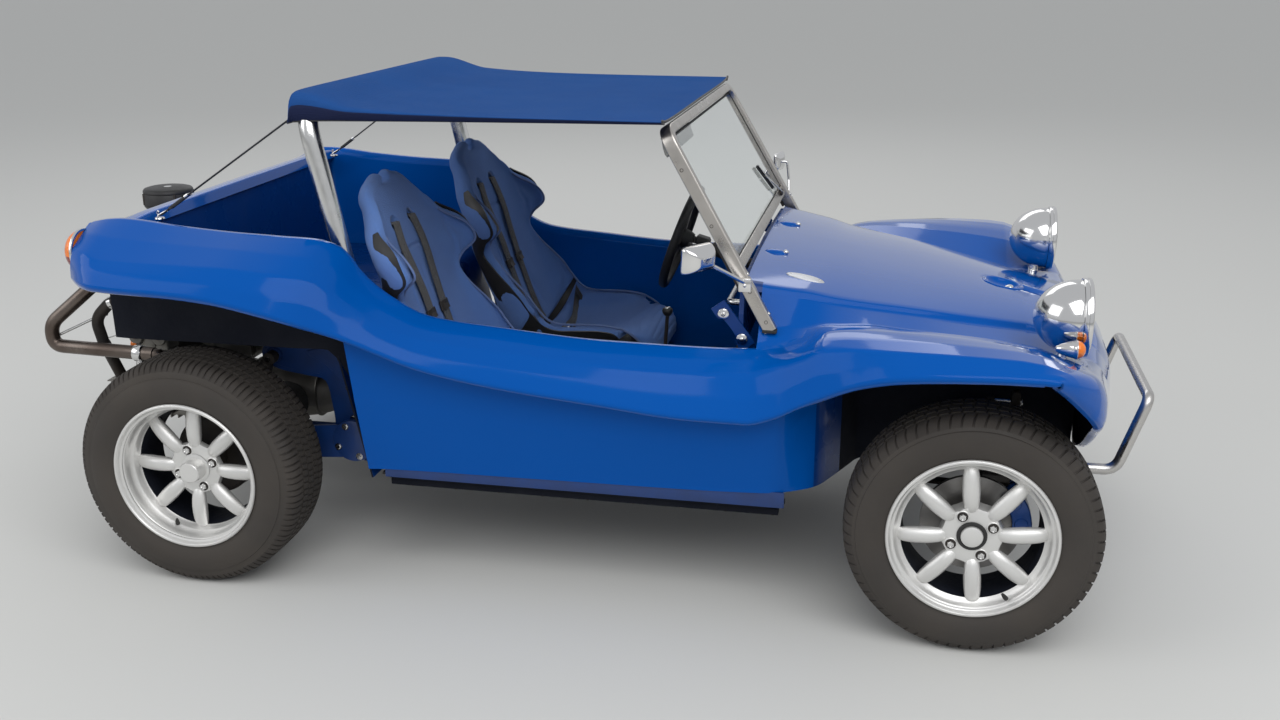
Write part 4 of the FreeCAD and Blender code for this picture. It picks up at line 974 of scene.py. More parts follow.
def rim_parts(edge, dish, spoke_at, nut_at, valve_at, rear):
    face = edge - dish
    seat = 172.0
    lip = [(edge, 206.5), (edge + 1.6, 204), (edge + 1.4, 200.5), (edge - 1.5, 198), (edge - 8, 196.8)]
    if rear:
        lip += [(edge - 14, 194), (edge - 18, 189.5), (edge - 22, 187.6), (edge - 36, 186.6),
                (edge - 46, 185), (edge - 52, 180.5), (edge - 56, 178), (face - 4, 176.5)]
    else:
        lip += [(edge - 12, 193.5), (edge - 14.5, 189), (edge - 18, 187), (edge - 25, 184.5),
                (edge - 31, 179.5)]
    profile = lip + [(face - 10, seat), (face - 22, seat - 2), (-edge + 40, seat - 4), (-edge + 18, 176),
                     (-edge + 6, 191), (-edge, 200), (-edge, 206), (-edge + 5, 208), (-edge + 9, 203),
                     (-edge + 13, 190.2), (edge - 13, 190.2), (edge - 9, 203), (edge - 4, 208)]
    barrel = loop_lathe(profile, 112)
    # The barrel's inner face behind the spokes takes the near-black material: painted shade for the unlit inside of the
    # barrel.
    inside, outside = halves(barrel, lambda x, y, z: y < face - 9 and math.hypot(x, z) < 180)
    hub = loop_lathe([(26, 18), (face - 0.8, 18), (face, 19.5), (face, 70), (face - 1.5, 73.5),
                      (face - 6, 75.5), (24, 76)], 96, lambda a: 1 + 0.03 * math.cos(8 * (a - spoke_at)))
    groups = [(outside, SILVER), (inside, UNDERSEAL_AND_SHADE), (hub, SILVER)]
    for k in range(8):
        groups.append((spoke(spoke_at + math.pi * k / 4, face), SILVER))
    for k in range(4):
        a = nut_at + math.pi * k / 2
        groups.append((along_axle([(face - 8, 0), (face - 8, 17), (face + 1.6, 16.4), (face + 2.6, 15),
                                   (face + 2.2, 13.6), (face - 6, 13.0), (face - 6, 0)], 55, a), SILVER))
        groups.append((along_axle([(face - 7, 0), (face - 7, 13), (face + 0.6, 13), (face + 0.6, 11),
                                   (face - 1, 0)], 55, a), DARK))
        groups.append((along_axle([(face - 2, 0), (face - 2, 9.4), (face + 7, 9.2), (face + 9, 8),
                                   (face + 9.4, 5.5), (face + 7.6, 4.4), (face + 7.4, 0)], 55, a, sides=6),
                       CHROME))
    if rear:
        groups.append((loop_lathe([(face - 1, 28), (face + 1.8, 41), (face + 2.4, 40), (face + 2.4, 29)], 64),
                       SILVER))
        groups.append((lathe([(face - 1, 0), (face - 1, 30.5), (face + 6, 31), (face + 30, 29.6),
                              (face + 36.5, 29), (face + 39, 26.5), (face + 39.6, 0)], (0, 0, 0), "y", 56),
                       SILVER))
    else:
        groups.append((loop_lathe([(face - 2, 27), (face - 2, 37), (face + 3, 36.5), (face + 5.5, 34.5),
                                   (face + 5.5, 29), (face + 3, 27)], 64), SEAL))
        groups.append((lathe([(face - 2, 0), (face - 2, 27.4), (face + 6, 27.4), (face + 9, 26),
                              (face + 11.5, 20), (face + 12.6, 10), (face + 13, 0)], (0, 0, 0), "y", 56),
                       SILVER))
    stem = tube([(178, face + 14, 0), (170, face + 20, 0), (158, face + 27, 0)], [6.2, 5.6, 3.6], 12)
    turn = Matrix.Rotation(-valve_at, 4, "Y")
    groups.append((([tuple(turn @ Vector(v)) for v in stem[0]], stem[1]), SEAL))
    return groups


def wheel_place(x, y, z, side):
    """Row-frame matrix for wheel parts in millimetres, built with +Y outward."""
    flip = Matrix.Diagonal((0.001, 0.001 * side, 0.001, 1))
    return Matrix.Translation((x, y * side, z)) @ flip


def build_wheels():
    rad = math.radians
    specs = {
        "front": (FRONT_X, FRONT_Y, FRONT_Z, FRONT_R, 98, 94, 26, rad(4.5), rad(27), rad(-59), False),
        "rear": (REAR_X, REAR_Y, REAR_Z, REAR_R, 111, 107, 66, rad(-2), rad(20.5), rad(-112), True),
    }
    for end, (x, y, z, r, half, edge, dish, spokes, nuts, valve, rear) in specs.items():
        if rear:
            steps = [(0, False), (0.3, False), (0.34, True), (0.44, True), (0.48, False), (0.86, False),
                     (0.9, True), (0.97, True)]
            grooves = [(46, 7), (16, 7)]
            mesh = tyre_mesh(half, r * 1000, 54, grooves, 46, 5.5, steps, lambda w: 0.0 if abs(w) > 46
                             else 0.006 * w)
        else:
            steps = [(0, False), (0.3, False), (0.62, False), (0.66, True), (0.8, True), (0.84, False)]
            grooves = [(44, 7), (15, 7)]
            mesh = tyre_mesh(half, r * 1000, 68, grooves, 44, 6.0, steps, lambda w: 0.011 * abs(w))
        for side, name in ((1, "left"), (-1, "right")):
            near = wheel_place(x, y, z, side)
            verts = [tuple(near @ Vector(v)) for v in mesh[0]]
            faces = mesh[1] if side < 0 else flipped(mesh[1])
            obj = make(f"tyre_{end}_{name}_piece", verts, faces, [TREAD, SIDEWALL],
                       body=f"wheel_{end}_{name}", slot="tyre_rubber", replaces=(f"tyre_{end}_{name}",),
                       angle=38)
            obj.data.polygons.foreach_set("material_index", [1 if k else 0 for k in mesh[2]])
            made_of(f"rim_{end}_{name}_piece", rim_parts(edge, dish, spokes, nuts, valve, rear),
                    body=f"wheel_{end}_{name}", replaces=(f"rim_{end}_{name}",),
                    near=near)


build_wheels()

# ------------------------------------------------------------------ seats
# from the cushion's front lip to the head: middle x, z, half width, rim x, z
SEAT = [(-940, 126, 188, -962, 132), (-926, 168, 194, -974, 168), (-930, 208, 200, -992, 205),
        (-958, 230, 204, -1022, 234), (-1012, 228, 207, -1064, 254), (-1082, 208, 210, -1118, 262),
        (-1160, 186, 213, -1184, 262), (-1240, 168, 216, -1242, 262), (-1318, 166, 218, -1280, 276),
        (-1376, 198, 220, -1316, 316), (-1410, 264, 220, -1345, 356), (-1436, 330, 218, -1382, 392),
        (-1462, 400, 213, -1426, 434), (-1483, 462, 212, -1462, 484), (-1500, 512, 226, -1450, 522),
        (-1513, 556, 243, -1414, 560), (-1527, 602, 243, -1436, 602), (-1541, 648, 204, -1502, 644),
        (-1558, 695, 160, -1538, 690), (-1568, 722, 141, -1556, 725), (-1576, 744, 134, -1570, 746),
        (-1582, 761, 113, -1579, 762), (-1585.3, 770, 72, -1584, 770.5), (-1586.4, 773, 24, -1586, 773),]
HIP = 8.6           # row where the cushion ends and the back begins
SEAT_Y = (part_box("driver_seat_back")[0][1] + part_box("driver_seat_back")[1][1]) * 500
SEAT_BACKSET = 36   # how far the passenger's seat sits behind the driver's


def seat_row(u):
    u = min(max(u, 0.0), len(SEAT) - 1.0)
    k = min(int(u), len(SEAT) - 2)
    t = u - k
    p = [np.array(SEAT[min(max(i, 0), len(SEAT) - 1)], float) for i in (k - 1, k, k + 1, k + 2)]
    if k == 0:
        p[0] = 2 * p[1] - p[2]
    if k == len(SEAT) - 2:
        p[3] = 2 * p[2] - p[1]
    return 0.5 * (2 * p[1] + (p[2] - p[0]) * t + (2 * p[0] - 5 * p[1] + 4 * p[2] - p[3]) * t * t
                  + (3 * p[1] - p[0] - 3 * p[2] + p[3]) * t ** 3)


def seat_base(u, v):
    x, z, half, rim_x, rim_z = seat_row(u)
    s = abs(v)
    k = s ** 2.6
    y = half * (1 - max(1 - s, 0.0) ** 1.85)
    return np.array((x + (rim_x - x) * k, math.copysign(y, v), z + (rim_z - z) * k))


def seat_point(u, v, lift=0.0):
    """Front surface of a seat, v from -1 to 1 across it, lifted off the surface. Table millimetres."""
    along = seat_base(min(u + 0.04, len(SEAT) - 1), v) - seat_base(max(u - 0.04, 0), v)
    across = seat_base(u, min(v + 0.012, 1)) - seat_base(u, max(v - 0.012, -1))
    normal = np.cross(across, along)
    return tuple(seat_base(u, v) + normal / (np.linalg.norm(normal) + 1e-9) * lift)


def seat_pad(u0, u1, rows, cols, thick):
    """Closed pad between the front surface and one a thickness behind it."""
    front, back = [], []
    for i in range(rows):
        u = u0 + (u1 - u0) * i / (rows - 1)
        end = min(i, rows - 1 - i) / (rows - 1) * (u1 - u0)
        for j in range(cols):
            v = -1 + 2 * j / (cols - 1)
            edge = min(1.0, (1 - abs(v)) * 5)
            soft = min(1.0, end * 4)
            t = thick * (0.5 + 0.5 * math.sqrt(edge) * math.sqrt(soft))
            front.append(seat_point(u, v * 0.99, -2.0 - 2 * (1 - edge) ** 2 - 4 * (1 - soft) ** 2))
            back.append(seat_point(u, v * 0.99, -t - 4))
    n = len(front)
    faces = grid_faces(rows, cols)
    faces += flipped(grid_faces(rows, cols, offset=n))
    for i in range(rows - 1):
        for a, b in ((i * cols, (i + 1) * cols), ((i + 1) * cols + cols - 1, i * cols + cols - 1)):
            faces.append((a, b, b + n, a + n))
    for j in range(cols - 1):
        for a, b in ((j + 1, j), ((rows - 1) * cols + j, (rows - 1) * cols + j + 1)):
            faces.append((a, b, b + n, a + n))
    return front + back, faces


def inflate(name, part, place, voxel, cap, pressure=4.0):
    """Padded form of a closed mesh: remeshed, blown up as cloth, and held within a distance of its start."""
    verts, faces = part
    mesh = bpy.data.meshes.new(name)
    mesh.from_pydata([place(*v) for v in verts], [], faces)
    obj = bpy.data.objects.new(name, mesh)
    bpy.context.collection.objects.link(obj)
    bm = bmesh.new()
    bm.from_mesh(mesh)
    bmesh.ops.recalc_face_normals(bm, faces=bm.faces)
    bm.to_mesh(mesh)
    bm.free()
    mod = obj.modifiers.new("remesh", "REMESH")
    mod.mode = "VOXEL"
    mod.voxel_size = voxel
    mod.use_smooth_shade = True
    bpy.context.view_layer.update()
    bpy.context.view_layer.objects.active = obj
    freeze(obj)
    start = np.empty(len(obj.data.vertices) * 3)
    obj.data.vertices.foreach_get("co", start)
    start = start.reshape(-1, 3)
    cloth = obj.modifiers.new("cloth", "CLOTH")
    cloth.settings.quality = 4
    cloth.settings.mass = 0.3
    cloth.settings.tension_stiffness = 12
    cloth.settings.compression_stiffness = 8
    cloth.settings.shear_stiffness = 6
    cloth.settings.bending_stiffness = 1.2
    cloth.settings.use_pressure = True
    cloth.settings.uniform_pressure_force = pressure
    cloth.settings.effector_weights.gravity = 0
    cloth.point_cache.frame_start = 1
    cloth.point_cache.frame_end = 20
    for step in range(1, 21):
        bpy.context.scene.frame_set(step)
    freeze(obj)
    bpy.context.scene.frame_set(1)
    moved_to = np.empty(len(obj.data.vertices) * 3)
    obj.data.vertices.foreach_get("co", moved_to)
    moved_to = moved_to.reshape(-1, 3)
    shift = moved_to - start
    size = np.linalg.norm(shift, axis=1, keepdims=True)
    limit = cap * np.tanh(size / cap) / np.maximum(size, 1e-9)
    obj.data.vertices.foreach_set("co", (start + shift * limit).ravel())
    obj.data.update()
    return obj


def freeze(obj):
    """Applies every modifier."""
    graph = bpy.context.evaluated_depsgraph_get()
    mesh = bpy.data.meshes.new_from_object(obj.evaluated_get(graph))
    old = obj.data
    obj.modifiers.clear()
    obj.data = mesh
    bpy.data.meshes.remove(old)


def relax(obj, rounds, weight=0.5):
    """Evens out a mesh by moving each point towards its neighbours' middle."""
    mesh = obj.data
    count = len(mesh.vertices)
    co = np.empty(count * 3)
    mesh.vertices.foreach_get("co", co)
    co = co.reshape(-1, 3)
    edges = np.empty(len(mesh.edges) * 2, dtype=np.int64)
    mesh.edges.foreach_get("vertices", edges)
    a, b = edges[::2], edges[1::2]
    for _ in range(rounds):
        total = np.zeros_like(co)
        number = np.zeros(count)
        np.add.at(total, a, co[b])
        np.add.at(total, b, co[a])
        np.add.at(number, a, 1)
        np.add.at(number, b, 1)
        co += weight * (total / number[:, None] - co)
    mesh.vertices.foreach_set("co", co.ravel())
    mesh.update()


def carve(obj, change):
    """Moves each point of a mesh by a function of its place in table millimetres."""
    mesh = obj.data
    for v in mesh.vertices:
        x, y, z = (v.co.x - FRONT_X) * 1000, v.co.y * 1000 - SEAT_Y, (v.co.z - PAN) * 1000
        dx, dy, dz = change(x, y, z)
        v.co += Vector((dx, dy, dz)) / 1000
    mesh.update()


def front_ribs(x, y, z):
    """Sewn channels across the cushion's front."""
    if x < -1120 or z < 140 or abs(y) > 172:
        return 0, 0, 0
    fade = min(1.0, (172 - abs(y)) / 22) * min(1.0, (x + 1120) / 60)
    run = -x * 0.75 + (z - 240) * 0.9 + 0.0006 * y * y
    groove = abs(math.sin(math.pi * run / 23)) ** 0.5
    return 4.2 * (groove - 0.8) * fade * 0.6, 0, 4.2 * (groove - 0.8) * fade


def back_channels(x, y, z):
    """Seams between the middle panel of the back and its bolsters, and the openings for the belts."""
    dip = 0.0
    for line in (-104, 104):
        bow = line * (1 - 0.10 * math.sin(math.pi * min(max((z - 230) / 380, 0), 1)))
        dip += 4.5 * math.exp(-((y - bow) / 4.5) ** 2) * min(1.0, max(0.0, (z - 225) / 40)) * min(1.0,
                max(0.0, (585 - z) / 25))
    for line in (-48, -16, 16, 48):
        dip += 2.2 * math.exp(-((y - line) / 4.5) ** 2) * min(1.0, max(0.0, (z - 300) / 60)) * min(1.0,
                max(0.0, (560 - z) / 25))
    dip += 3.6 * math.exp(-((z - 588 + 0.0009 * y * y) / 5.0) ** 2) * (1 if abs(y) < 108 else 0)
    for hole in (-62, 62):
        far = math.hypot((y - hole) / 27, (z - 662) / 22)
        dip += 20.0 * max(0.0, 1 - far ** 3) if far < 1 else 0.0
    return -0.92 * dip, 0, -0.38 * dip


def strap(points, width, thick, across):
    """Flat webbing along points, its width lying along a direction for each point."""
    verts = []
    for k, p in enumerate(points):
        p = Vector(p)
        ahead = Vector(points[min(k + 1, len(points) - 1)]) - Vector(points[max(k - 1, 0)])
        side = Vector(across[k] if isinstance(across, list) else across).normalized()
        normal = ahead.cross(side).normalized()
        for a, b in ((-1, -1), (-0.92, -1), (0.92, -1), (1, -1), (1, 1), (0.92, 1), (-0.92, 1), (-1, 1)):
            edge = 0.35 if abs(a) == 1 else 1.0
            verts.append(p + side * a * width / 2 + normal * b * edge * thick / 2)
    return verts, bar_faces(len(points), 8)


def build_seats():
    def place(x, y, z):
        return at(x, SEAT_Y + y, z)

    cushion = inflate("driver_cushion", seat_pad(0.15, HIP, 60, 41, 36), place, 0.0062, 0.008)
    back = inflate("driver_back", seat_pad(HIP + 0.1, len(SEAT) - 1.0, 84, 41, 38), place, 0.0062, 0.008)
    for obj in (cushion, back):
        relax(obj, 3)
    for obj, change in ((cushion, front_ribs), (back, back_channels)):
        sub = obj.modifiers.new("sub", "SUBSURF")
        sub.levels = 1
        freeze(obj)
        carve(obj, change)
        obj.data.materials.clear()
        obj.data.materials.append(FABRIC)
        obj.data.polygons.foreach_set("use_smooth", [True] * len(obj.data.polygons))
    for side, name in ((1, "driver"), (-1, "passenger")):
        back_by = 0 if side > 0 else SEAT_BACKSET
        shift = Matrix.Translation((-back_by / 1000, (side - 1) * SEAT_Y / 1000, 0))
        for obj, part in ((cushion, "cushion"), (back, "back")):
            if side < 0:
                other = obj.copy()
                other.data = obj.data.copy()
                other.data.transform(shift)
                other.name = f"passenger_{part}"
                bpy.context.collection.objects.link(other)
                obj = other
            settle(obj, "root", (f"{name}_seat_{part}",))

        def here(x, y, z):
            return at(x - back_by, side * SEAT_Y + y, z)
        top = 17.2
        rows = [0.1 + (top - 0.1) * i / 89 for i in range(90)]
        verts = []
        for lift in (-35, -42):
            for u in rows:
                row_edge = min(1.0, (u - 0.1) * 2) * min(1.0, (top - u) * 2)
                for j in range(41):
                    v = (-1 + 2 * j / 40) * (0.95 if u < 17 else 0.95 - 0.1 * min(1.0, (u - 17) / 2))
                    lip = min(1.0, (1 - abs(v)) * 4)
                    verts.append(seat_point(u, v, lift * (0.72 + 0.28 * lip * row_edge) - 2))
        n = len(rows) * 41
        faces = grid_faces(len(rows), 41) + flipped(grid_faces(len(rows), 41, offset=n))
        ring = [i * 41 for i in range(len(rows))] + [(len(rows) - 1) * 41 + j for j in range(1, 41)]
        ring += [i * 41 + 40 for i in range(len(rows) - 2, -1, -1)] + [j for j in range(39, 0, -1)]
        for a, b in zip(ring, ring[1:] + ring[:1]):
            faces.append((a, b, b + n, a + n))
        parts = [([here(*v) for v in verts], faces)]
        rails = []
        for y in (-140, 140):
            for x, top_z in ((-1235, 128), (-985, 150)):
                parts.append(box_between(here(x - 18, y - 20, 24), here(x + 18, y + 20, top_z), 0.003))
            rails.append(box_between(here(-1290, y - 16, 1), here(-940, y + 16, 24)))
            for x in (-1235, -985):
                rails.append(lathe([(0, 0), (0, 0.008), (0.006, 0.008), (0.006, 0)], here(x, y - 26, 40), "y",
                                   6))
        made_of(f"{name}_shell", [(p, PLASTIC) for p in parts] + [(p, DARK) for p in rails],
                replaces=(f"{name}_seat_shell",), angle=50)

        edge = []
        for v in (-0.99, 0.99):
            side_line = [here(*seat_point(u, v, -3)) for u in rows if u < 17.5]
            edge.append(tube(side_line, 0.0036, 8))
        made_of(f"{name}_piping", [(p, PIPING) for p in edge])

        belts = []
        for s in (-1, 1):
            entry = here(*seat_point(17.42, s * 0.185, -24))
            line = [entry]
            for k in range(44):
                t = k / 43
                u, v = 17.25 - 8.3 * t, s * (0.18 - 0.07 * t)
                line.append(here(*seat_point(u, v, 9 + 7 * math.sin(math.pi * min(1.0, t * 1.15)) ** 2)))
            belts.append((strap(line, 0.045, 0.0026, (0, 1, 0)), WEBBING))
            belts.append((strap(line[27:30], 0.056, 0.0075, (0, 1, 0)), DARK))
            belts.append((strap(line[28:29] + [tuple(Vector(line[29]) + Vector((0.004, 0, 0.001)))], 0.034,
                                0.012, (0, 1, 0)), DARK))
            lap = [here(*seat_point(u, w, l)) for u, w, l in ((8.0, s * 0.93, 16), (7.9, s * 0.8, 7),
                                                              (7.7, s * 0.6, 8), (7.5, s * 0.36, 10),
                                                              (7.4, s * 0.16, 12), (7.4, s * 0.03, 14))]
            belts.append((strap(smooth_line(lap, count=25), 0.045, 0.0026, (-0.35, 0, 0.6)), WEBBING))
            ring, disc, deep = [], [], []
            for k in range(28):
                a = 2 * math.pi * k / 28
                u, v = 17.32 + 0.40 * math.sin(a), s * 0.185 + 0.078 * math.cos(a)
                ring.append(here(*seat_point(u, v, 0.5)))
                disc.append(here(*seat_point(17.32 + 0.38 * math.sin(a), s * 0.185 + 0.074 * math.cos(a),
                                             -9)))
                deep.append(here(*seat_point(17.32 + 0.38 * math.sin(a), s * 0.185 + 0.074 * math.cos(a),
                                             -14)))
            belts.append((tube(ring, 0.0034, 8, closed=True), PIPING))
            mids = [tuple(np.mean(np.array(disc), axis=0)), tuple(np.mean(np.array(deep), axis=0))]
            faces = [(k, (k + 1) % 28, 56) for k in range(28)] + [((k + 1) % 28 + 28, k + 28, 57)
                    for k in range(28)]
            faces += [(k, k + 28, (k + 1) % 28 + 28, (k + 1) % 28) for k in range(28)]
            belts.append(((disc + deep + mids, faces), SEAL))
        hub = here(*seat_point(7.4, 0, 16))
        belts.append((lathe([(-0.012, 0), (-0.012, 0.026), (0.002, 0.027), (0.007, 0.022), (0.008, 0)], hub,
                            "z", 32), DARK))
        belts.append((lathe([(0.006, 0), (0.006, 0.017), (0.012, 0.015), (0.013, 0)], hub, "z", 32), CHROME))
        made_of(f"{name}_harness", belts, angle=50)


build_seats()


# ------------------------------------------------------------------ lamps
def only_used(part):
    verts, faces = part
    used = sorted({i for f in faces for i in f})
    place = {old: new for new, old in enumerate(used)}
    return [verts[i] for i in used], [tuple(place[i] for i in f) for f in faces]


def screw(place, axis, radius=0.007, reach=0.004, slot_turn=0.5):
    """Domed cross-head screw with its head along an axis."""
    axis = Vector(axis).normalized()
    turn = axis.to_track_quat("X", "Z").to_matrix().to_4x4()
    dome = [(reach * math.sin(t), radius * math.cos(t)) for t in np.linspace(0, math.pi / 2, 7)]
    dome[-1] = (reach, 0)
    head = lathe([(-0.002, 0), (-0.002, radius)] + dome, (0, 0, 0), "x", 20)
    parts = [(moved(head, Matrix.Translation(place) @ turn), CHROME)]
    for k in (0, 1):
        bar = block(reach * 0.72, reach * 1.02, -radius * 0.62, radius * 0.62, -radius * 0.1, radius * 0.1,
                    bevel=0.0003)
        bar = moved(bar, Matrix.Translation(place) @ turn @ Matrix.Rotation(slot_turn + k * math.pi / 2, 4,
                "X"))
        parts.append((bar, DARK))
    return parts


def build_lamps():
    pods, lenses, signals, tails = [], [], [], []
    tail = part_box("tail_lamps")
    tail_z = ((tail[0][2] + tail[1][2]) / 2 - PAN) * 1000
    for side in (1, -1):
        c = at(250, side * 460, 517)
        pod = [(-0.0235 - 0.109 * math.cos(t) ** 0.93, 0.0915 * math.sin(t) ** 1.02)
               for t in np.linspace(0.0001, math.pi / 2, 26)]
        pod[0] = (-0.1325, 0)
        pod += [(-0.022, 0.0925), (-0.0215, 0.088), (-0.03, 0.08), (-0.08, 0.06), (-0.08, 0)]
        pods.append((lathe(pod, c, "x", 72), CHROME))
        ring = [(-0.0215, 0.0905), (-0.0212, 0.0952), (-0.0195, 0.0966), (-0.0115, 0.0968), (-0.0108, 0.0958),
                (-0.0098, 0.0968), (-0.0035, 0.0966), (-0.0012, 0.0955), (0.0002, 0.093), (0.0004, 0.0895),
                (-0.001, 0.0875), (-0.004, 0.0868), (-0.0215, 0.0868)]
        verts, faces = loop_lathe(ring, 72)
        pods.append((([(c[0] + y, c[1] + x, c[2] + z) for x, y, z in verts], faces), CHROME))
        bowl = [(-0.006, 0.0866), (-0.02, 0.081), (-0.04, 0.064), (-0.056, 0.042), (-0.064, 0.018),
                (-0.065, 0.0)]
        bowl += [(-0.068, 0.0), (-0.067, 0.02), (-0.059, 0.044), (-0.043, 0.067), (-0.022, 0.084),
                 (-0.008, 0.0868)]
        pods.append((lathe(bowl, c, "x", 64), BULB))
        pods.append((lathe([(-0.064, 0), (-0.064, 0.009), (-0.04, 0.009), (-0.034, 0.005), (-0.033, 0)], c,
                           "x", 24), LENS))
        pods.append((lathe([(-0.067, 0), (-0.067, 0.014), (-0.058, 0.014), (-0.058, 0)], c, "x", 24), DARK))
        foot = at(197, side * 460, 401)
        pods.append((lathe([(0.0, 0), (0.0, 0.026), (0.003, 0.027), (0.006, 0.026), (0.008, 0.018),
                            (0.014, 0.0145), (0.03, 0.0135), (0.034, 0.0165), (0.04, 0.0168), (0.043, 0.014),
                            (0.07, 0.0135), (0.07, 0)], foot, "z", 36), CHROME))
        pods.append((lathe([(-0.003, 0), (-0.003, 0.028), (0.001, 0.028), (0.001, 0)], foot, "z", 36), SEAL))
        pods += screw((c[0] - 0.011, c[1], c[2] - 0.097), (0, 0, -1), 0.004, 0.003)
        glass = [(-0.0065, 0.0), (-0.0065, 0.0866), (-0.0035, 0.0866), (-0.001, 0.084), (0.003, 0.07),
                 (0.0062, 0.05), (0.0085, 0.026), (0.0094, 0.0)]
        lenses.append((lathe(glass, c, "x", 64), LENS))

        c = at(205, side * 572, 467)
        shell_line = [(-0.041, 0), (-0.0405, 0.004), (-0.038, 0.0075), (-0.028, 0.0125), (-0.014, 0.0175),
                      (-0.002, 0.0205), (0.004, 0.0212), (0.006, 0.0232), (0.0095, 0.0236), (0.0105, 0.0225),
                      (0.0105, 0)]
        signals.append((lathe(shell_line, c, "x", 40), CHROME))
        lens = [(0.009, 0), (0.009, 0.0215), (0.014, 0.0212), (0.0195, 0.0192), (0.0245, 0.0152),
                (0.0285, 0.0085), (0.0298, 0)]
        signals.append((lathe(lens, c, "x", 40), AMBER))
        signals.append((tube(rounded([(c[0] - 0.017, c[1], c[2] - 0.012), (c[0] - 0.022, c[1], c[2] - 0.03),
                                      (c[0] - 0.027, c[1], c[2] - 0.046)], [0.02]), 0.0062, 14), CHROME))
        base = (c[0] - 0.028, c[1], c[2] - 0.045)
        signals.append((lathe([(-0.005, 0), (-0.005, 0.0165), (-0.001, 0.0175), (0.002, 0.016),
                               (0.005, 0.0085), (0.006, 0)], base, "z", 28), CHROME))

        c = (tail[1][0], side * (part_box("tail_lamps")[1][1] - 0.058), PAN + tail_z / 1000)
        rows = [(0.0, 0.0), (0.0, 0.0555)]
        rows += [(-0.036 * math.sin(t) - 0.002, 0.0555 * math.cos(t) ** 0.72) for t in np.linspace(0,
                math.pi / 2, 15)]
        rows[-1] = (-0.038, 0)
        dome = lathe(rows, c, "x", 64)
        upper, lower = halves(dome, lambda x, y, z: z > c[2] - 0.006)
        tails += [(only_used(upper), AMBER), (only_used(lower), RED)]
        trim = [(0.003, 0.0535), (0.003, 0.0588), (-0.001, 0.0595), (-0.004, 0.059), (-0.005, 0.0565),
                (-0.003, 0.0545)]
        verts, faces = loop_lathe(trim, 64)
        tails.append((([(c[0] + y, c[1] + x, c[2] + z) for x, y, z in verts], faces), POLISHED))
        bar = [(c[0] - 0.0385 * math.sqrt(max(0, 1 - (k / 9) ** 2)) - 0.002, c[1] + 0.0545 * k / 9,
                c[2] - 0.006) for k in range(-9, 10)]
        tails.append((tube(bar, 0.0011, 6), RED))
    made_of("headlight_pods", pods, replaces=("headlights",), angle=40)
    made_of("headlight_glass", lenses, replaces=("headlight_lenses",), angle=50)
    made_of("turn_signal_lamps", signals, replaces=("front_turn_signals",), angle=40)
    made_of("tail_lamp_domes", tails, replaces=("tail_lamps",), angle=55)


build_lamps()


# ------------------------------------------------------------------ soft top
# in from the side edge, then drops below the ridge at the windshield, middle, behind the seats, hoop front, hoop back, rear face
TOP = [(21, 66, 70, 76, 80, 82), (11, 64, 66, 68, 66, 68), (2, 60, 59, 55, 45, 48), (0, 57, 55, 47, 28, 30),
       (3, 56, 54, 42, 14, 15), (11, 58, 55.5, 38.5, 6, 6.3), (28, 61, 58, 36.5, 2.4, 2.6), (66, 63.5, 60,
        35.5, 1, 1), (130, 65, 62.5, 37, 0.6, 0.6), (240, 65.5, 65.5, 40, 0.4, 0.4), (400, 65, 67, 43, 0.4,
        0.4), (566, 64.5, 68, 44, 0.4, 0.4),]


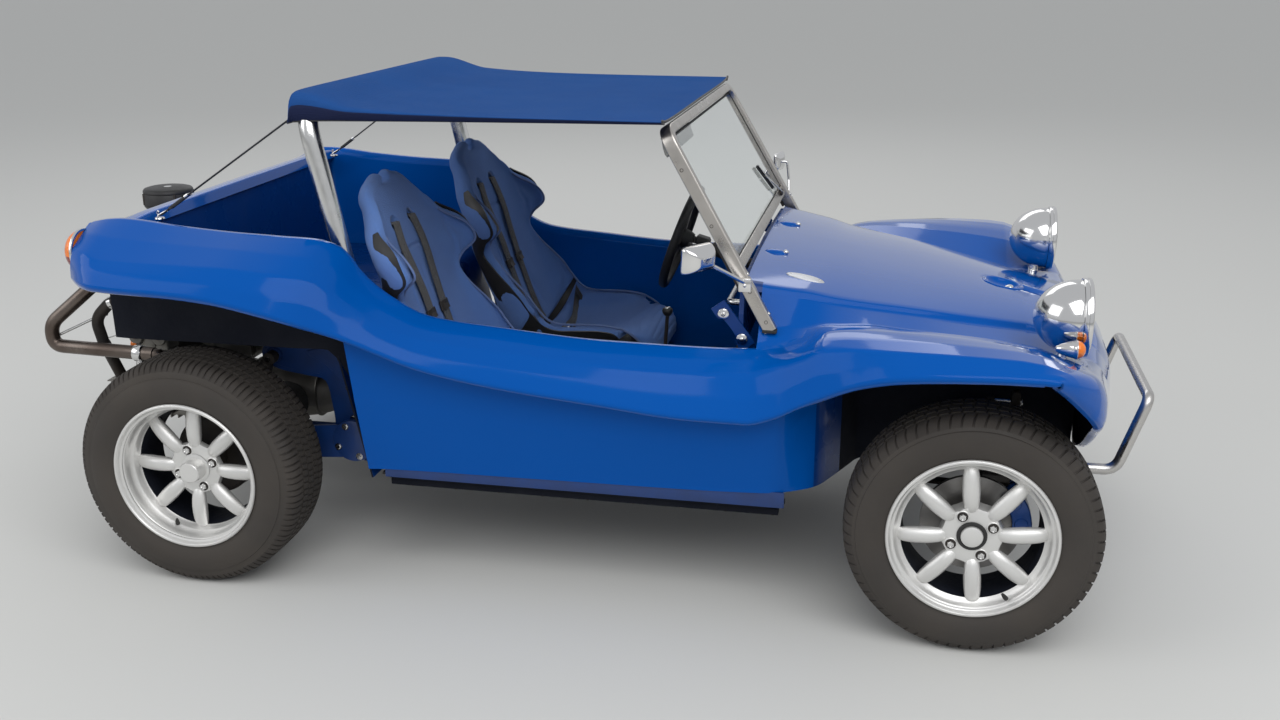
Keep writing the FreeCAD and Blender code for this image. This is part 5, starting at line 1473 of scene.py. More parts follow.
def build_top():
    low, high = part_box("soft_top")
    edge = high[1] * 1000
    ridge = (high[2] - PAN) * 1000
    hoop_x = (low[0] - FRONT_X) * 1000 + 36
    front_x = (high[0] - FRONT_X) * 1000
    xs = [front_x - 1, -1190, -1600, hoop_x + 8, hoop_x - 10]
    stations_x = [front_x - 1 + (-1600 - front_x) * i / 40 for i in range(41)]
    stations_x += [-1600 + (hoop_x + 8 + 1600) * i / 14 for i in range(1, 15)] + [hoop_x + 3, hoop_x - 2,
            hoop_x - 6, hoop_x - 10]
    lines = []
    half = [0, 0.35, 0.7, 1, 1.4, 1.8, 2.2, 2.6, 3, 3.4, 3.8, 4.2, 4.7, 5.2, 5.7, 6.2, 6.7, 7.2, 7.7, 8.2,
            8.8, 9.4, 10, 11]
    for s in half:
        k = min(int(s), len(TOP) - 2)
        t = s - k
        row = [TOP[k][j] + (TOP[k + 1][j] - TOP[k][j]) * t for j in range(6)]
        inset, drops = row[0], row[1:]
        line = []
        for x in stations_x:
            drop = pchip([-q for q in xs], drops, -x)
            lift = 0.0
            if inset > 30:
                pull = math.sin(math.pi * min(1.0, (front_x - x) / (front_x + 1600)))
                lift = -1.6 * pull * math.sin(inset / 31) * math.exp(-inset / 260)
            line.append((x, edge - inset, ridge - drop + lift))
        back_top = line[-1]
        fall = 84 - drops[-1]
        rear = []
        for out, down in ((4, 0.035), (7, 0.1), (9.5, 0.18), (11, 0.28), (12.5, 0.4), (14.5, 0.56),
                          (17, 0.77), (19.5, 1.0)):
            rear.append((back_top[0] - out, back_top[1] - 9 * max(0.0, down - 0.3) * (1 if inset < 60 else 0),
                         back_top[2] - fall * down))
        lines.append(line + rear)
    full = lines + [[(x, -y, z) for x, y, z in line] for line in lines[-2::-1]]
    cols = len(full[0])
    verts = [at(*p) for line in full for p in line]
    faces = grid_faces(len(full), cols)
    normals = vertex_normals(verts, faces)
    if normals[len(verts) // 2][2] < 0:
        faces = flipped(faces)
        normals = [tuple(-c for c in n) for n in normals]
    under = [tuple(p - 0.0022 * n for p, n in zip(v, nn)) for v, nn in zip(verts, normals)]
    count = len(verts)
    rows = len(full)
    ring = [j for j in range(cols)] + [i * cols + cols - 1 for i in range(1, rows)]
    ring += [(rows - 1) * cols + j for j in range(cols - 2, -1, -1)] + [i * cols for i in range(rows - 2, 0,
            -1)]
    both_faces = faces + [tuple(i + count for i in reversed(f)) for f in faces]
    for a, b in zip(ring, ring[1:] + ring[:1]):
        both_faces.append((a, b, b + count, a + count))
    top = make("soft_top_cloth", verts + under, both_faces, CANVAS, slot="top_cloth", replaces=("soft_top",),
               angle=60)
    # Painted shade: the side strips and the underside of the top take the darker copy of the canvas.
    top.data.materials.append(CANVAS_SHADE)
    for face in top.data.polygons:
        strip = face.index // (cols - 1)
        if face.index >= len(faces) or strip < 7 or strip >= rows - 8:
            face.material_index = 1
    span = sum(math.dist(full[i][20], full[i + 1][20]) for i in range(rows - 1)) / 1000
    reach = sum(math.dist(full[rows // 2][i], full[rows // 2][i + 1]) for i in range(cols - 1)) / 1000
    stitch = []
    for side_row in (0, rows - 1):
        line = [tuple(Vector(verts[side_row * cols + j]) + Vector((0, 0, 0.003))) for j in range(cols)]
        stitch.append((tube(line, 0.0032, 8), WEBBING))
    for j in (0, cols - 1):
        line = [tuple(Vector(verts[i * cols + j]) + Vector((0, 0, 0.002))) for i in range(rows)]
        stitch.append((tube(line, 0.0030, 8), WEBBING))
    binding = made_of("soft_top_binding", stitch, angle=60)

    parts = []
    for side in (1, -1):
        box_low, box_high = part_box("soft_top_straps")
        a = Vector((box_high[0] - 0.004, side * 0.503, box_high[2] - 0.002))
        b = Vector((box_low[0] + 0.004, side * 0.556, box_low[2] + 0.008))
        line = [tuple(a + (b - a) * k / 24) for k in range(25)]
        parts.append((strap(line, 0.02, 0.0022, (0, 1, 0)), WEBBING))
        near_end = [tuple(a + (b - a) * t) for t in (0.80, 0.84, 0.88, 0.92)]
        parts.append((strap(near_end, 0.023, 0.007, (0, 1, 0)), WEBBING))
        slide = [tuple(a + (b - a) * t) for t in (0.775, 0.80)]
        parts.append((strap(slide, 0.028, 0.0065, (0, 1, 0)), CHROME))
        hook = rounded([tuple(a + (b - a) * 0.95), tuple(b + Vector((0.004, 0, 0.006))),
                        tuple(b + Vector((-0.012, 0, -0.004))), tuple(b + Vector((-0.006, 0, 0.012)))],
                       [0.008, 0.008])
        parts.append((tube(hook, 0.003, 10), CHROME))
        parts.append((lathe([(-0.006, 0), (-0.006, 0.013), (-0.002, 0.014), (0.001, 0.012), (0.002, 0)],
                            tuple(b + Vector((-0.004, 0, -0.006))), "z", 24), CHROME))
        knob = Vector((box_high[0] + 0.008, side * 0.52, box_high[2] + 0.004))
        parts.append((lathe([(-0.006, 0), (-0.006, 0.006), (0.0, 0.0075), (0.006, 0.006), (0.008, 0)],
                            tuple(knob), "y", 20), CHROME))
    made_of("tie_down_straps", parts, replaces=("soft_top_straps",), angle=40)


# ------------------------------------------------------------------ windshield, hoop and mirrors
LEAN = math.radians(29.8)
RAIL_LENGTH = 492 / math.cos(LEAN)


def on_shield(deep, y, up_rail):
    """Point in the windshield's own plane: forward of it, across, and up its rails."""
    return at(-517 + deep * math.cos(LEAN) - up_rail * math.sin(LEAN), y, 470 + deep * math.sin(LEAN)
              + up_rail * math.cos(LEAN))


def shield_half(up_rail):
    return 574 + (545 - 574) * up_rail / RAIL_LENGTH


def build_shield():
    mid = 13
    path = [(shield_half(0) - mid, 0), (shield_half(RAIL_LENGTH) - mid, RAIL_LENGTH - mid),
            (-shield_half(RAIL_LENGTH) + mid, RAIL_LENGTH - mid), (-shield_half(0) + mid, 0)]
    line = rounded([(0, y, v) for y, v in path], [52, 52], arc=14, run=10)
    n = len(line)
    verts = []
    profile = []
    for k in range(28):
        a = 2 * math.pi * k / 28
        c, s = math.cos(a), math.sin(a)
        profile.append((12.8 * math.copysign(abs(c) ** 0.3, c), 16.8 * math.copysign(abs(s) ** 0.3, s)))
    for i, p in enumerate(line):
        ahead = line[min(i + 1, n - 1)] - line[max(i - 1, 0)]
        ahead = ahead / np.linalg.norm(ahead)
        side = (ahead[2], -ahead[1])
        for across, deep in profile:
            verts.append(on_shield(deep, p[1] + across * side[0], p[2] + across * side[1]))
    groups = [((verts, bar_faces(n, 28)), RAIL)]

    def flat_bar(v0, v1, inset, d0, d1, bevel, segments=2):
        width = shield_half(v0) - inset
        part = block(-width, width, d0, d1, v0, v1, bevel=bevel, segments=segments)
        return [on_shield(d, y, v) for y, d, v in part[0]], part[1]
    groups.append((flat_bar(163, 192, 22, -8, 8, 3.0, 3), RAIL))
    groups.append((flat_bar(189, 193.5, 25, -4.6, 4.6, 1.2), SEAL))
    outline = [(shield_half(180) - 24, 186), (shield_half(530) - 25, 535), (-shield_half(530) + 25, 535),
               (-shield_half(180) + 24, 186)]
    seal = rounded([(0, y, v) for y, v in outline], [26, 26], arc=10, run=8)
    m = len(seal)
    verts = []
    for i, p in enumerate(seal):
        ahead = seal[min(i + 1, m - 1)] - seal[max(i - 1, 0)]
        ahead = ahead / np.linalg.norm(ahead)
        side = (ahead[2], -ahead[1])
        for k in range(10):
            a = 2 * math.pi * k / 10
            verts.append(on_shield(5.2 * math.sin(a), p[1] + 3.2 * math.cos(a) * side[0], p[2] + 3.2
                                   * math.cos(a) * side[1]))
    groups.append(((verts, grid_faces(m, 10, wrap=True)), SEAL))
    for side in (-1, 1):
        for v in (26, 112, 300, 455):
            hole = Vector(on_shield(2 if v < 200 else -5, side * (shield_half(v) - 0.2), v))
            groups.append((lathe([(-0.004, 0), (-0.004, 0.0043), (0.0004, 0.0046), (0.0007, 0.0038),
                                  (-0.0008, 0.003), (-0.0008, 0)] if side > 0 else [(0.004, 0),
                    (0.004, 0.0043), (-0.0004, 0.0046), (-0.0007, 0.0038), (0.0008, 0.003), (0.0008, 0)],
                                 tuple(hole), "y", 20), DARK))
        for v in (40, 152):
            groups += screw(on_shield(16.9, side * (shield_half(v) - 13), v), (math.cos(LEAN), 0,
                    math.sin(LEAN)), 0.0055, 0.003, 0.3 + v)
        foot = on_shield(0, side * (shield_half(2) - 13), 2)
        groups.append((block(foot[0] - 0.019, foot[0] + 0.017, foot[1] - 0.0145, foot[1] + 0.0145,
                             foot[2] - 0.006, foot[2] + 0.002, bevel=0.0015), SEAL))
        stay = [on_shield(-20, side * 530, 258), on_shield(-17, side * (shield_half(120) - 20), 128)]
        groups.append((tube(stay, 0.0, 12, flat=(0.0035, 0.0085)), DARK))
    made_of("windshield_surround", groups, replaces=("windshield_frame",),
            angle=38)

    ring = rounded([(0, y, v) for y, v in [(0, 187)] + outline + [(0, 187)]], [3, 25, 25, 3], arc=10, run=1)
    front = [on_shield(2.4, p[1], p[2]) for p in ring]
    rear = [on_shield(-2.4, p[1], p[2]) for p in ring]
    k = len(ring)
    faces = [tuple(range(k)), tuple(range(2 * k - 1, k - 1, -1))] + [(i, (i + 1) % k, (i + 1) % k + k, i + k)
            for i in range(k)]
    made_of("windshield_pane", [((front + rear, faces), PANE)],
            replaces=("windshield_glass",), angle=30)

    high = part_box("roll_hoop")[1]
    x0 = -1529
    foot = 6
    top = (high[2] - PAN) * 1000 - 26
    slope = 0.2155
    bend = [(x0, -535, foot), (x0 - slope * top, -535, top), (x0 - slope * top, 535, top), (x0, 535, foot)]
    line = [at(*p) for p in rounded(bend, [110, 110], arc=18, run=8)]
    hoop = [(tube(line, 0.026, 40), POLISHED)]
    for side in (-1, 1):
        flange = at(x0, side * 535, 0)
        hoop.append((block(flange[0] - 0.045, flange[0] + 0.045, flange[1] - 0.04, flange[1] + 0.04,
                           flange[2] + 0.0005, flange[2] + 0.008, bevel=0.002), DARK))
        hoop.append((lathe([(0.006, 0.0262), (0.006, 0.0315), (0.012, 0.029), (0.015, 0.0262)],
                           (flange[0] - 0.002, flange[1], flange[2]), "z", 32), DARK))
        for dx in (-0.033, 0.033):
            for dy in (-0.028, 0.028):
                hoop.append((lathe([(0.007, 0), (0.007, 0.0075), (0.0125, 0.0075), (0.0125, 0)],
                                   (flange[0] + dx, flange[1] + dy, flange[2]), "z", 6), CHROME))
    made_of("roll_hoop_bow", hoop, replaces=("roll_hoop",), angle=40)


def rounded_box(sections, corner=0.3, sides=6):
    """Loft through rounded rectangles: (along, half width, half height)."""
    verts = []
    per = 4 * sides
    for along, w, h in sections:
        r = corner * min(w, h)
        for q in range(4):
            cx, cy = (w - r, w * -1 + r)[q in (1, 2)], (h - r, -h + r)[q in (2, 3)]
            for k in range(sides):
                a = math.pi / 2 * (q + k / (sides - 1))
                verts.append((along, cx + r * math.cos(a), cy + r * math.sin(a)))
    n = len(sections)
    return verts, bar_faces(n, per)


def build_mirrors():
    groups = []
    head = [(-0.0205, 0.0515, 0.0345), (-0.021, 0.0548, 0.0378), (-0.018, 0.056, 0.039), (-0.012, 0.056,
            0.039), (-0.004, 0.0535, 0.0365), (0.008, 0.048, 0.031), (0.018, 0.040, 0.024), (0.024, 0.030,
            0.017), (0.026, 0.018, 0.010)]
    place = Matrix.Translation(at(-680, -666, 668)) @ Matrix.Rotation(math.radians(-35), 4,
            "Z") @ Matrix.Rotation(math.radians(4), 4, "Y") @ Matrix.Scale(0.88, 4)
    groups.append((moved(rounded_box(head, 0.28), place), CHROME))
    groups.append((moved(rounded_box([(-0.0222, 0.0505, 0.0335), (-0.0212, 0.0515, 0.0345)], 0.2), place),
                   BULB))
    start, end = Vector(at(-583, -566, 590)), Vector(at(-676, -652, 662))
    arm = [tuple(start + (end - start) * t) for t in (0, 0.3, 0.6, 0.86, 1)]
    groups.append((tube(arm, 0.0, 16, flat=(0.0088, 0.0052)), CHROME))
    groups.append((lathe([(-0.011, 0)] + [(-0.011 * math.cos(t), 0.011 * math.sin(t))
                                          for t in np.linspace(0.3, 2.8, 9)] + [(0.011, 0)], tuple(end), "x",
                         20), CHROME))
    plate = Vector(at(-581, -570, 586))
    groups.append((block(plate.x - 0.018, plate.x + 0.014, plate.y - 0.0075, plate.y + 0.004, plate.z - 0.017,
                         plate.z + 0.017, bevel=0.003), CHROME))
    groups += screw((plate.x - 0.002, plate.y - 0.008, plate.z), (0, -1, 0), 0.0045, 0.003)
    head = [(-0.0085, 0.0365, 0.0265), (-0.009, 0.039, 0.029), (-0.006, 0.04, 0.03), (-0.001, 0.0385, 0.0285),
            (0.004, 0.032, 0.022), (0.008, 0.020, 0.012)]
    place = Matrix.Translation(at(-622, 640, 700)) @ Matrix.Rotation(math.radians(-14), 4, "Z")
    groups.append((moved(rounded_box(head, 0.3), place), CHROME))
    groups.append((moved(rounded_box([(-0.0102, 0.0355, 0.0255), (-0.0092, 0.0365, 0.0265)], 0.2), place),
                   BULB))
    stalk = rounded([at(-584, 566, 588), at(-588, 612, 594), at(-592, 640, 640), at(-599, 641, 701),
                     at(-616, 640, 701)], [0.018, 0.024, 0.010], arc=6)
    groups.append((tube(stalk, 0.0042, 12), CHROME))
    plate = Vector(at(-583, 570, 588))
    groups.append((block(plate.x - 0.014, plate.x + 0.012, plate.y - 0.004, plate.y + 0.0065, plate.z - 0.014,
                         plate.z + 0.014, bevel=0.003), CHROME))
    made_of("mirror_pair", groups, replaces=("mirrors",), angle=40)


build_shield()
build_top()
build_mirrors()


# ------------------------------------------------------------------ steering wheel, column and levers
def build_controls():
    tilt = math.radians(19)
    # +X of the piece runs down the column
    turn = Matrix.Translation(at(-900, 330, 500)) @ Matrix.Rotation(tilt, 4, "Y")
    groups = []
    verts = []
    count, sides = 120, 18
    for i in range(count):
        a = 2 * math.pi * i / count
        grip = 1 + 0.035 * max(0, math.cos(3 * (a - math.pi / 2))) ** 2
        for k in range(sides):
            b = 2 * math.pi * k / sides
            knurl = 0.35 * max(0, math.cos(b - math.pi)) * (1 if i % 4 < 2 else 0.4) * 0.0012
            r = 0.158 + (0.0138 * grip - knurl) * math.cos(b)
            verts.append((0.0138 * grip * math.sin(b), r * math.cos(a), r * math.sin(a)))
    groups.append((moved((verts, loop_faces(count, sides)), turn), GRIP))
    for angle in (90, 210, 330):
        a = math.radians(angle)
        bar = []
        for r, half, dish in ((0.026, 0.019, 0.004), (0.05, 0.0155, 0.003), (0.085, 0.0135, 0.0015),
                              (0.12, 0.0135, 0.0), (0.15, 0.016, 0.0)):
            for s, d in ((-1, -0.0018), (-0.9, -0.0024), (0.9, -0.0024), (1, -0.0018), (1, 0.0018),
                         (0.9, 0.0024), (-0.9, 0.0024), (-1, 0.0018)):
                bar.append((dish + d, r * math.cos(a) - s * half * math.sin(a), r * math.sin(a) + s * half
                            * math.cos(a)))
        groups.append((moved((bar, bar_faces(5, 8)), turn), DARK))
        for r in (0.062, 0.088, 0.114):
            hole = lathe([(-0.003, 0), (-0.003, 0.0062), (0.0036, 0.0062), (0.0036, 0)], (0, r * math.cos(a),
                    r * math.sin(a)), "x", 20)
            groups.append((moved(hole, turn), SEAL))
    boss = [(0.0385, 0), (0.0385, 0.024), (0.03, 0.0275), (0.012, 0.031), (0.004, 0.0315), (-0.004, 0.031),
            (-0.009, 0.028), (-0.0115, 0.022), (-0.0125, 0)]
    groups.append((moved(lathe(boss, (0, 0, 0), "x", 48), turn), GRIP))
    groups.append((moved(lathe([(-0.011, 0), (-0.0125, 0.017), (-0.0145, 0.0155), (-0.0155, 0.01),
                                (-0.016, 0)], (0, 0, 0), "x", 40), turn), DARK))
    for k in range(6):
        a = math.pi / 3 * k + 0.5
        bolt = lathe([(-0.012, 0), (-0.0105, 0.0035), (-0.0135, 0.0032), (-0.0138, 0)],
                     (0, 0.0235 * math.cos(a), 0.0235 * math.sin(a)), "x", 12)
        groups.append((moved(bolt, turn), CHROME))
    made_of("steering_wheel_rim", groups, body="steering_wheel",
            replaces=("steering_wheel",), angle=42)

    groups = []
    column = [(0.0405, 0), (0.0405, 0.0185), (0.044, 0.019), (0.075, 0.019), (0.0775, 0.0178), (0.12, 0.0178),
              (0.122, 0.019), (0.145, 0.019), (0.147, 0.0165), (0.30, 0.0165), (0.302, 0.019), (0.325, 0.019),
              (0.327, 0.013), (0.53, 0.013), (0.535, 0.019), (0.54, 0.033), (0.545, 0.0335), (0.575, 0.0335),
              (0.58, 0.031), (0.58, 0)]
    groups.append((moved(lathe(column, (0, 0, 0), "x", 36), turn), DARK))
    shroud = rounded_box([(0.046, 0.020, 0.022), (0.05, 0.026, 0.028), (0.085, 0.026, 0.03), (0.092, 0.021,
            0.024)], 0.5)
    groups.append((moved(shroud, turn), PLASTIC))
    stem = [turn @ Vector(p) for p in ((0.066, -0.020, 0.006), (0.060, -0.06, 0.012), (0.05, -0.105, 0.02),
                                       (0.046, -0.125, 0.022))]
    groups.append((tube(smooth_line(stem, count=12), 0.0038, 12), CHROME))
    groups.append((tube([tuple(turn @ Vector(p)) for p in ((0.0475, -0.118, 0.0213), (0.046, -0.125, 0.022),
                                                           (0.0435, -0.142, 0.0245))], [0.0052, 0.0068,
            0.005], 14), PLASTIC))
    made_of("steering_column_jacket", groups, replaces=("steering_column",), angle=40)

    groups = []
    low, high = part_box("gear_lever")
    foot = Vector((high[0] - 0.034, 0, low[2]))
    boot = [(0.0, 0), (0.0, 0.0335)]
    for k in range(6):
        z = 0.004 + k * 0.0065
        r = 0.033 - 0.0028 * k
        boot += [(z, r), (z + 0.002, r + 0.0005), (z + 0.0045, r - 0.004)]
    boot += [(0.046, 0.012), (0.050, 0.0105), (0.052, 0.0065), (0.052, 0)]
    groups.append((lathe(boot, tuple(foot), "z", 36), SEAL))
    knob = Vector((low[0] + 0.072, 0, high[2] - 0.090))
    groups.append((tube(smooth_line([foot + Vector((0, 0, 0.03)), foot + Vector((0.004, 0, 0.1)),
                                     knob - Vector((0, 0, 0.01))], count=16), 0.0055, 14), DARK))
    ball = [(-0.014, 0), (-0.0135, 0.006), (-0.011, 0.0095), (-0.004, 0.0145), (0.003, 0.0162),
            (0.009, 0.0145), (0.0125, 0.0095), (0.0135, 0)]
    groups.append((lathe(ball, tuple(knob), "z", 32), PLASTIC))
    groups.append((lathe([(0.0118, 0), (0.0122, 0.0088), (0.0142, 0.008), (0.0148, 0)], tuple(knob), "z", 28),
                   POLISHED))
    made_of("shift_lever", groups, replaces=("gear_lever",), angle=40)

    groups = []
    low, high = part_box("handbrake_lever")
    pivot = Vector((low[0] + 0.03, 0, low[2]))
    for y in (-0.0135, 0.0135):
        groups.append((block(pivot.x - 0.026, pivot.x + 0.028, y - 0.0022, y + 0.0022, pivot.z + 0.0004,
                             pivot.z + 0.029, bevel=0.002), DARK))
    groups.append((lathe([(-0.016, 0), (-0.016, 0.007), (0.016, 0.007), (0.016, 0)],
                         (pivot.x, 0, pivot.z + 0.018), "y", 16), CHROME))
    end = Vector((high[0] - 0.004, 0, low[2] + 0.05))
    start = pivot + Vector((0, 0, 0.018))
    groups.append((tube([tuple(start), tuple(start + (end - start) * 0.45)], 0.0, 16, flat=(0.0095, 0.0085)),
                   DARK))
    grip, radius = [], []
    for k in range(31):
        t = 0.42 + 0.56 * k / 30
        grip.append(tuple(start + (end - start) * t))
        radius.append(0.0108 - (0.0012 if k % 3 == 2 else 0) - (0.003 if k in (0, 30) else 0))
    groups.append((tube(grip, radius, 20), GRIP))
    ahead = (end - start).normalized()
    groups.append((tube([tuple(end - ahead * 0.004), tuple(end + ahead * 0.0035)], 0.0048, 14), CHROME))
    made_of("brake_lever", groups, replaces=("handbrake_lever",), angle=40)

    groups = []
    low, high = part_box("pedals")
    groups.append((block(low[0] + 0.001, low[0] + 0.054, low[1] + 0.001, high[1] - 0.001, low[2] + 0.0005,
                         low[2] + 0.0115, bevel=0.003), DARK))
    groups.append((tube([(low[0] + 0.028, low[1] + 0.01, low[2] + 0.02), (low[0] + 0.028, high[1] - 0.01,
            low[2] + 0.02)], 0.0075, 18), DARK))
    for y, half in ((0.235, 0.025), (0.33, 0.025), (0.415, 0.02)):
        foot = Vector((low[0] + 0.028, y, low[2] + 0.02))
        top = Vector((high[0] - 0.012, y, low[2] + 0.14))
        groups.append((tube(smooth_line([foot, foot + Vector((0.008, 0, 0.05)), top], count=12), 0.0, 12,
                            flat=(0.0075, 0.004)), DARK))
        z0, z1 = low[2] + 0.125, high[2] - 0.001
        pad = block(top.x - 0.007, top.x + 0.001, y - half, y + half, z0, z1, bevel=0.0035, segments=3)
        groups.append((pad, SEAL))
        for k in range(7):
            z = z0 + 0.008 + k * (z1 - z0 - 0.016) / 6
            groups.append((block(top.x - 0.0092, top.x - 0.006, y - half + 0.004, y + half - 0.004,
                                 z - 0.0016, z + 0.0016, bevel=0.0008), SEAL))
    made_of("pedal_set", groups, replaces=("pedals",), angle=40)


build_controls()


# ------------------------------------------------------------------ engine, gearbox and rear suspension
def turned_on(profile, start, end, sides=28):
    """Lathe whose axis runs from one point to another."""
    start, end = Vector(start), Vector(end)
    turn = (end - start).to_track_quat("X", "Z").to_matrix().to_4x4()
    return moved(lathe(profile, (0, 0, 0), "x", sides), Matrix.Translation(start) @ turn)


def on_y(profile, x, z, side, sides=40):
    """Lathe about a cross axis, from (distance out from the middle plane, radius) points. Table millimetres, metres out."""
    part = lathe([(d / 1000, r / 1000) for d, r in profile], at(x, 0, z), "y", sides)
    return part if side > 0 else mirrored(part)


def slabbed(outline, y0, y1, bevel=2.0):
    """Plate in the long plane with bevelled edges, from an (x, z) outline in table millimetres."""
    pts = np.array(outline, float)
    mid = pts.mean(axis=0)
    n = len(pts)
    verts = []
    for y, inset in ((y0, bevel), (y0 + bevel, 0), (y1 - bevel, 0), (y1, bevel)):
        for k in range(n):
            a, b, c = pts[k - 1], pts[k], pts[(k + 1) % n]
            inward = (a - b) / (np.linalg.norm(a - b) + 1e-9) + (c - b) / (np.linalg.norm(c - b) + 1e-9)
            size = np.linalg.norm(inward)
            if size < 0.05 or np.dot(inward, mid - b) < 0:
                inward, size = mid - b, np.linalg.norm(mid - b)
            p = b + inward / size * inset
            verts.append(at(p[0], y, p[1]))
    return verts, bar_faces(4, n)


def smooth_ring(points, count):
    """Closed smooth outline through a few (x, z) points."""
    pts = [np.array(p, float) for p in points]
    n = len(pts)
    out = []
    for k in range(n):
        p0, p1, p2, p3 = pts[k - 1], pts[k], pts[(k + 1) % n], pts[(k + 2) % n]
        for i in range(count):
            t = i / count
            out.append(0.5 * (2 * p1 + (p2 - p0) * t + (2 * p0 - 5 * p1 + 4 * p2 - p3) * t * t + (3 * p1 - p0
                    - 3 * p2 + p3) * t ** 3))
    return out


def bolt(place, axis, radius=0.0065, mat=None):
    """Six-sided head on a washer."""
    axis = Vector(axis).normalized()
    turn = Matrix.Translation(place) @ axis.to_track_quat("X", "Z").to_matrix().to_4x4()
    washer = lathe([(-0.002, 0), (-0.002, radius * 1.45), (0.0014, radius * 1.45), (0.0014, 0)], (0, 0, 0),
                   "x", 20)
    head = lathe([(0.0012, 0), (0.0012, radius), (0.0052, radius), (0.0062, radius * 0.84), (0.0062, 0)],
                 (0, 0, 0), "x", 6)
    return [(moved(washer, turn), mat or CHROME), (moved(head, turn), mat or CHROME)]


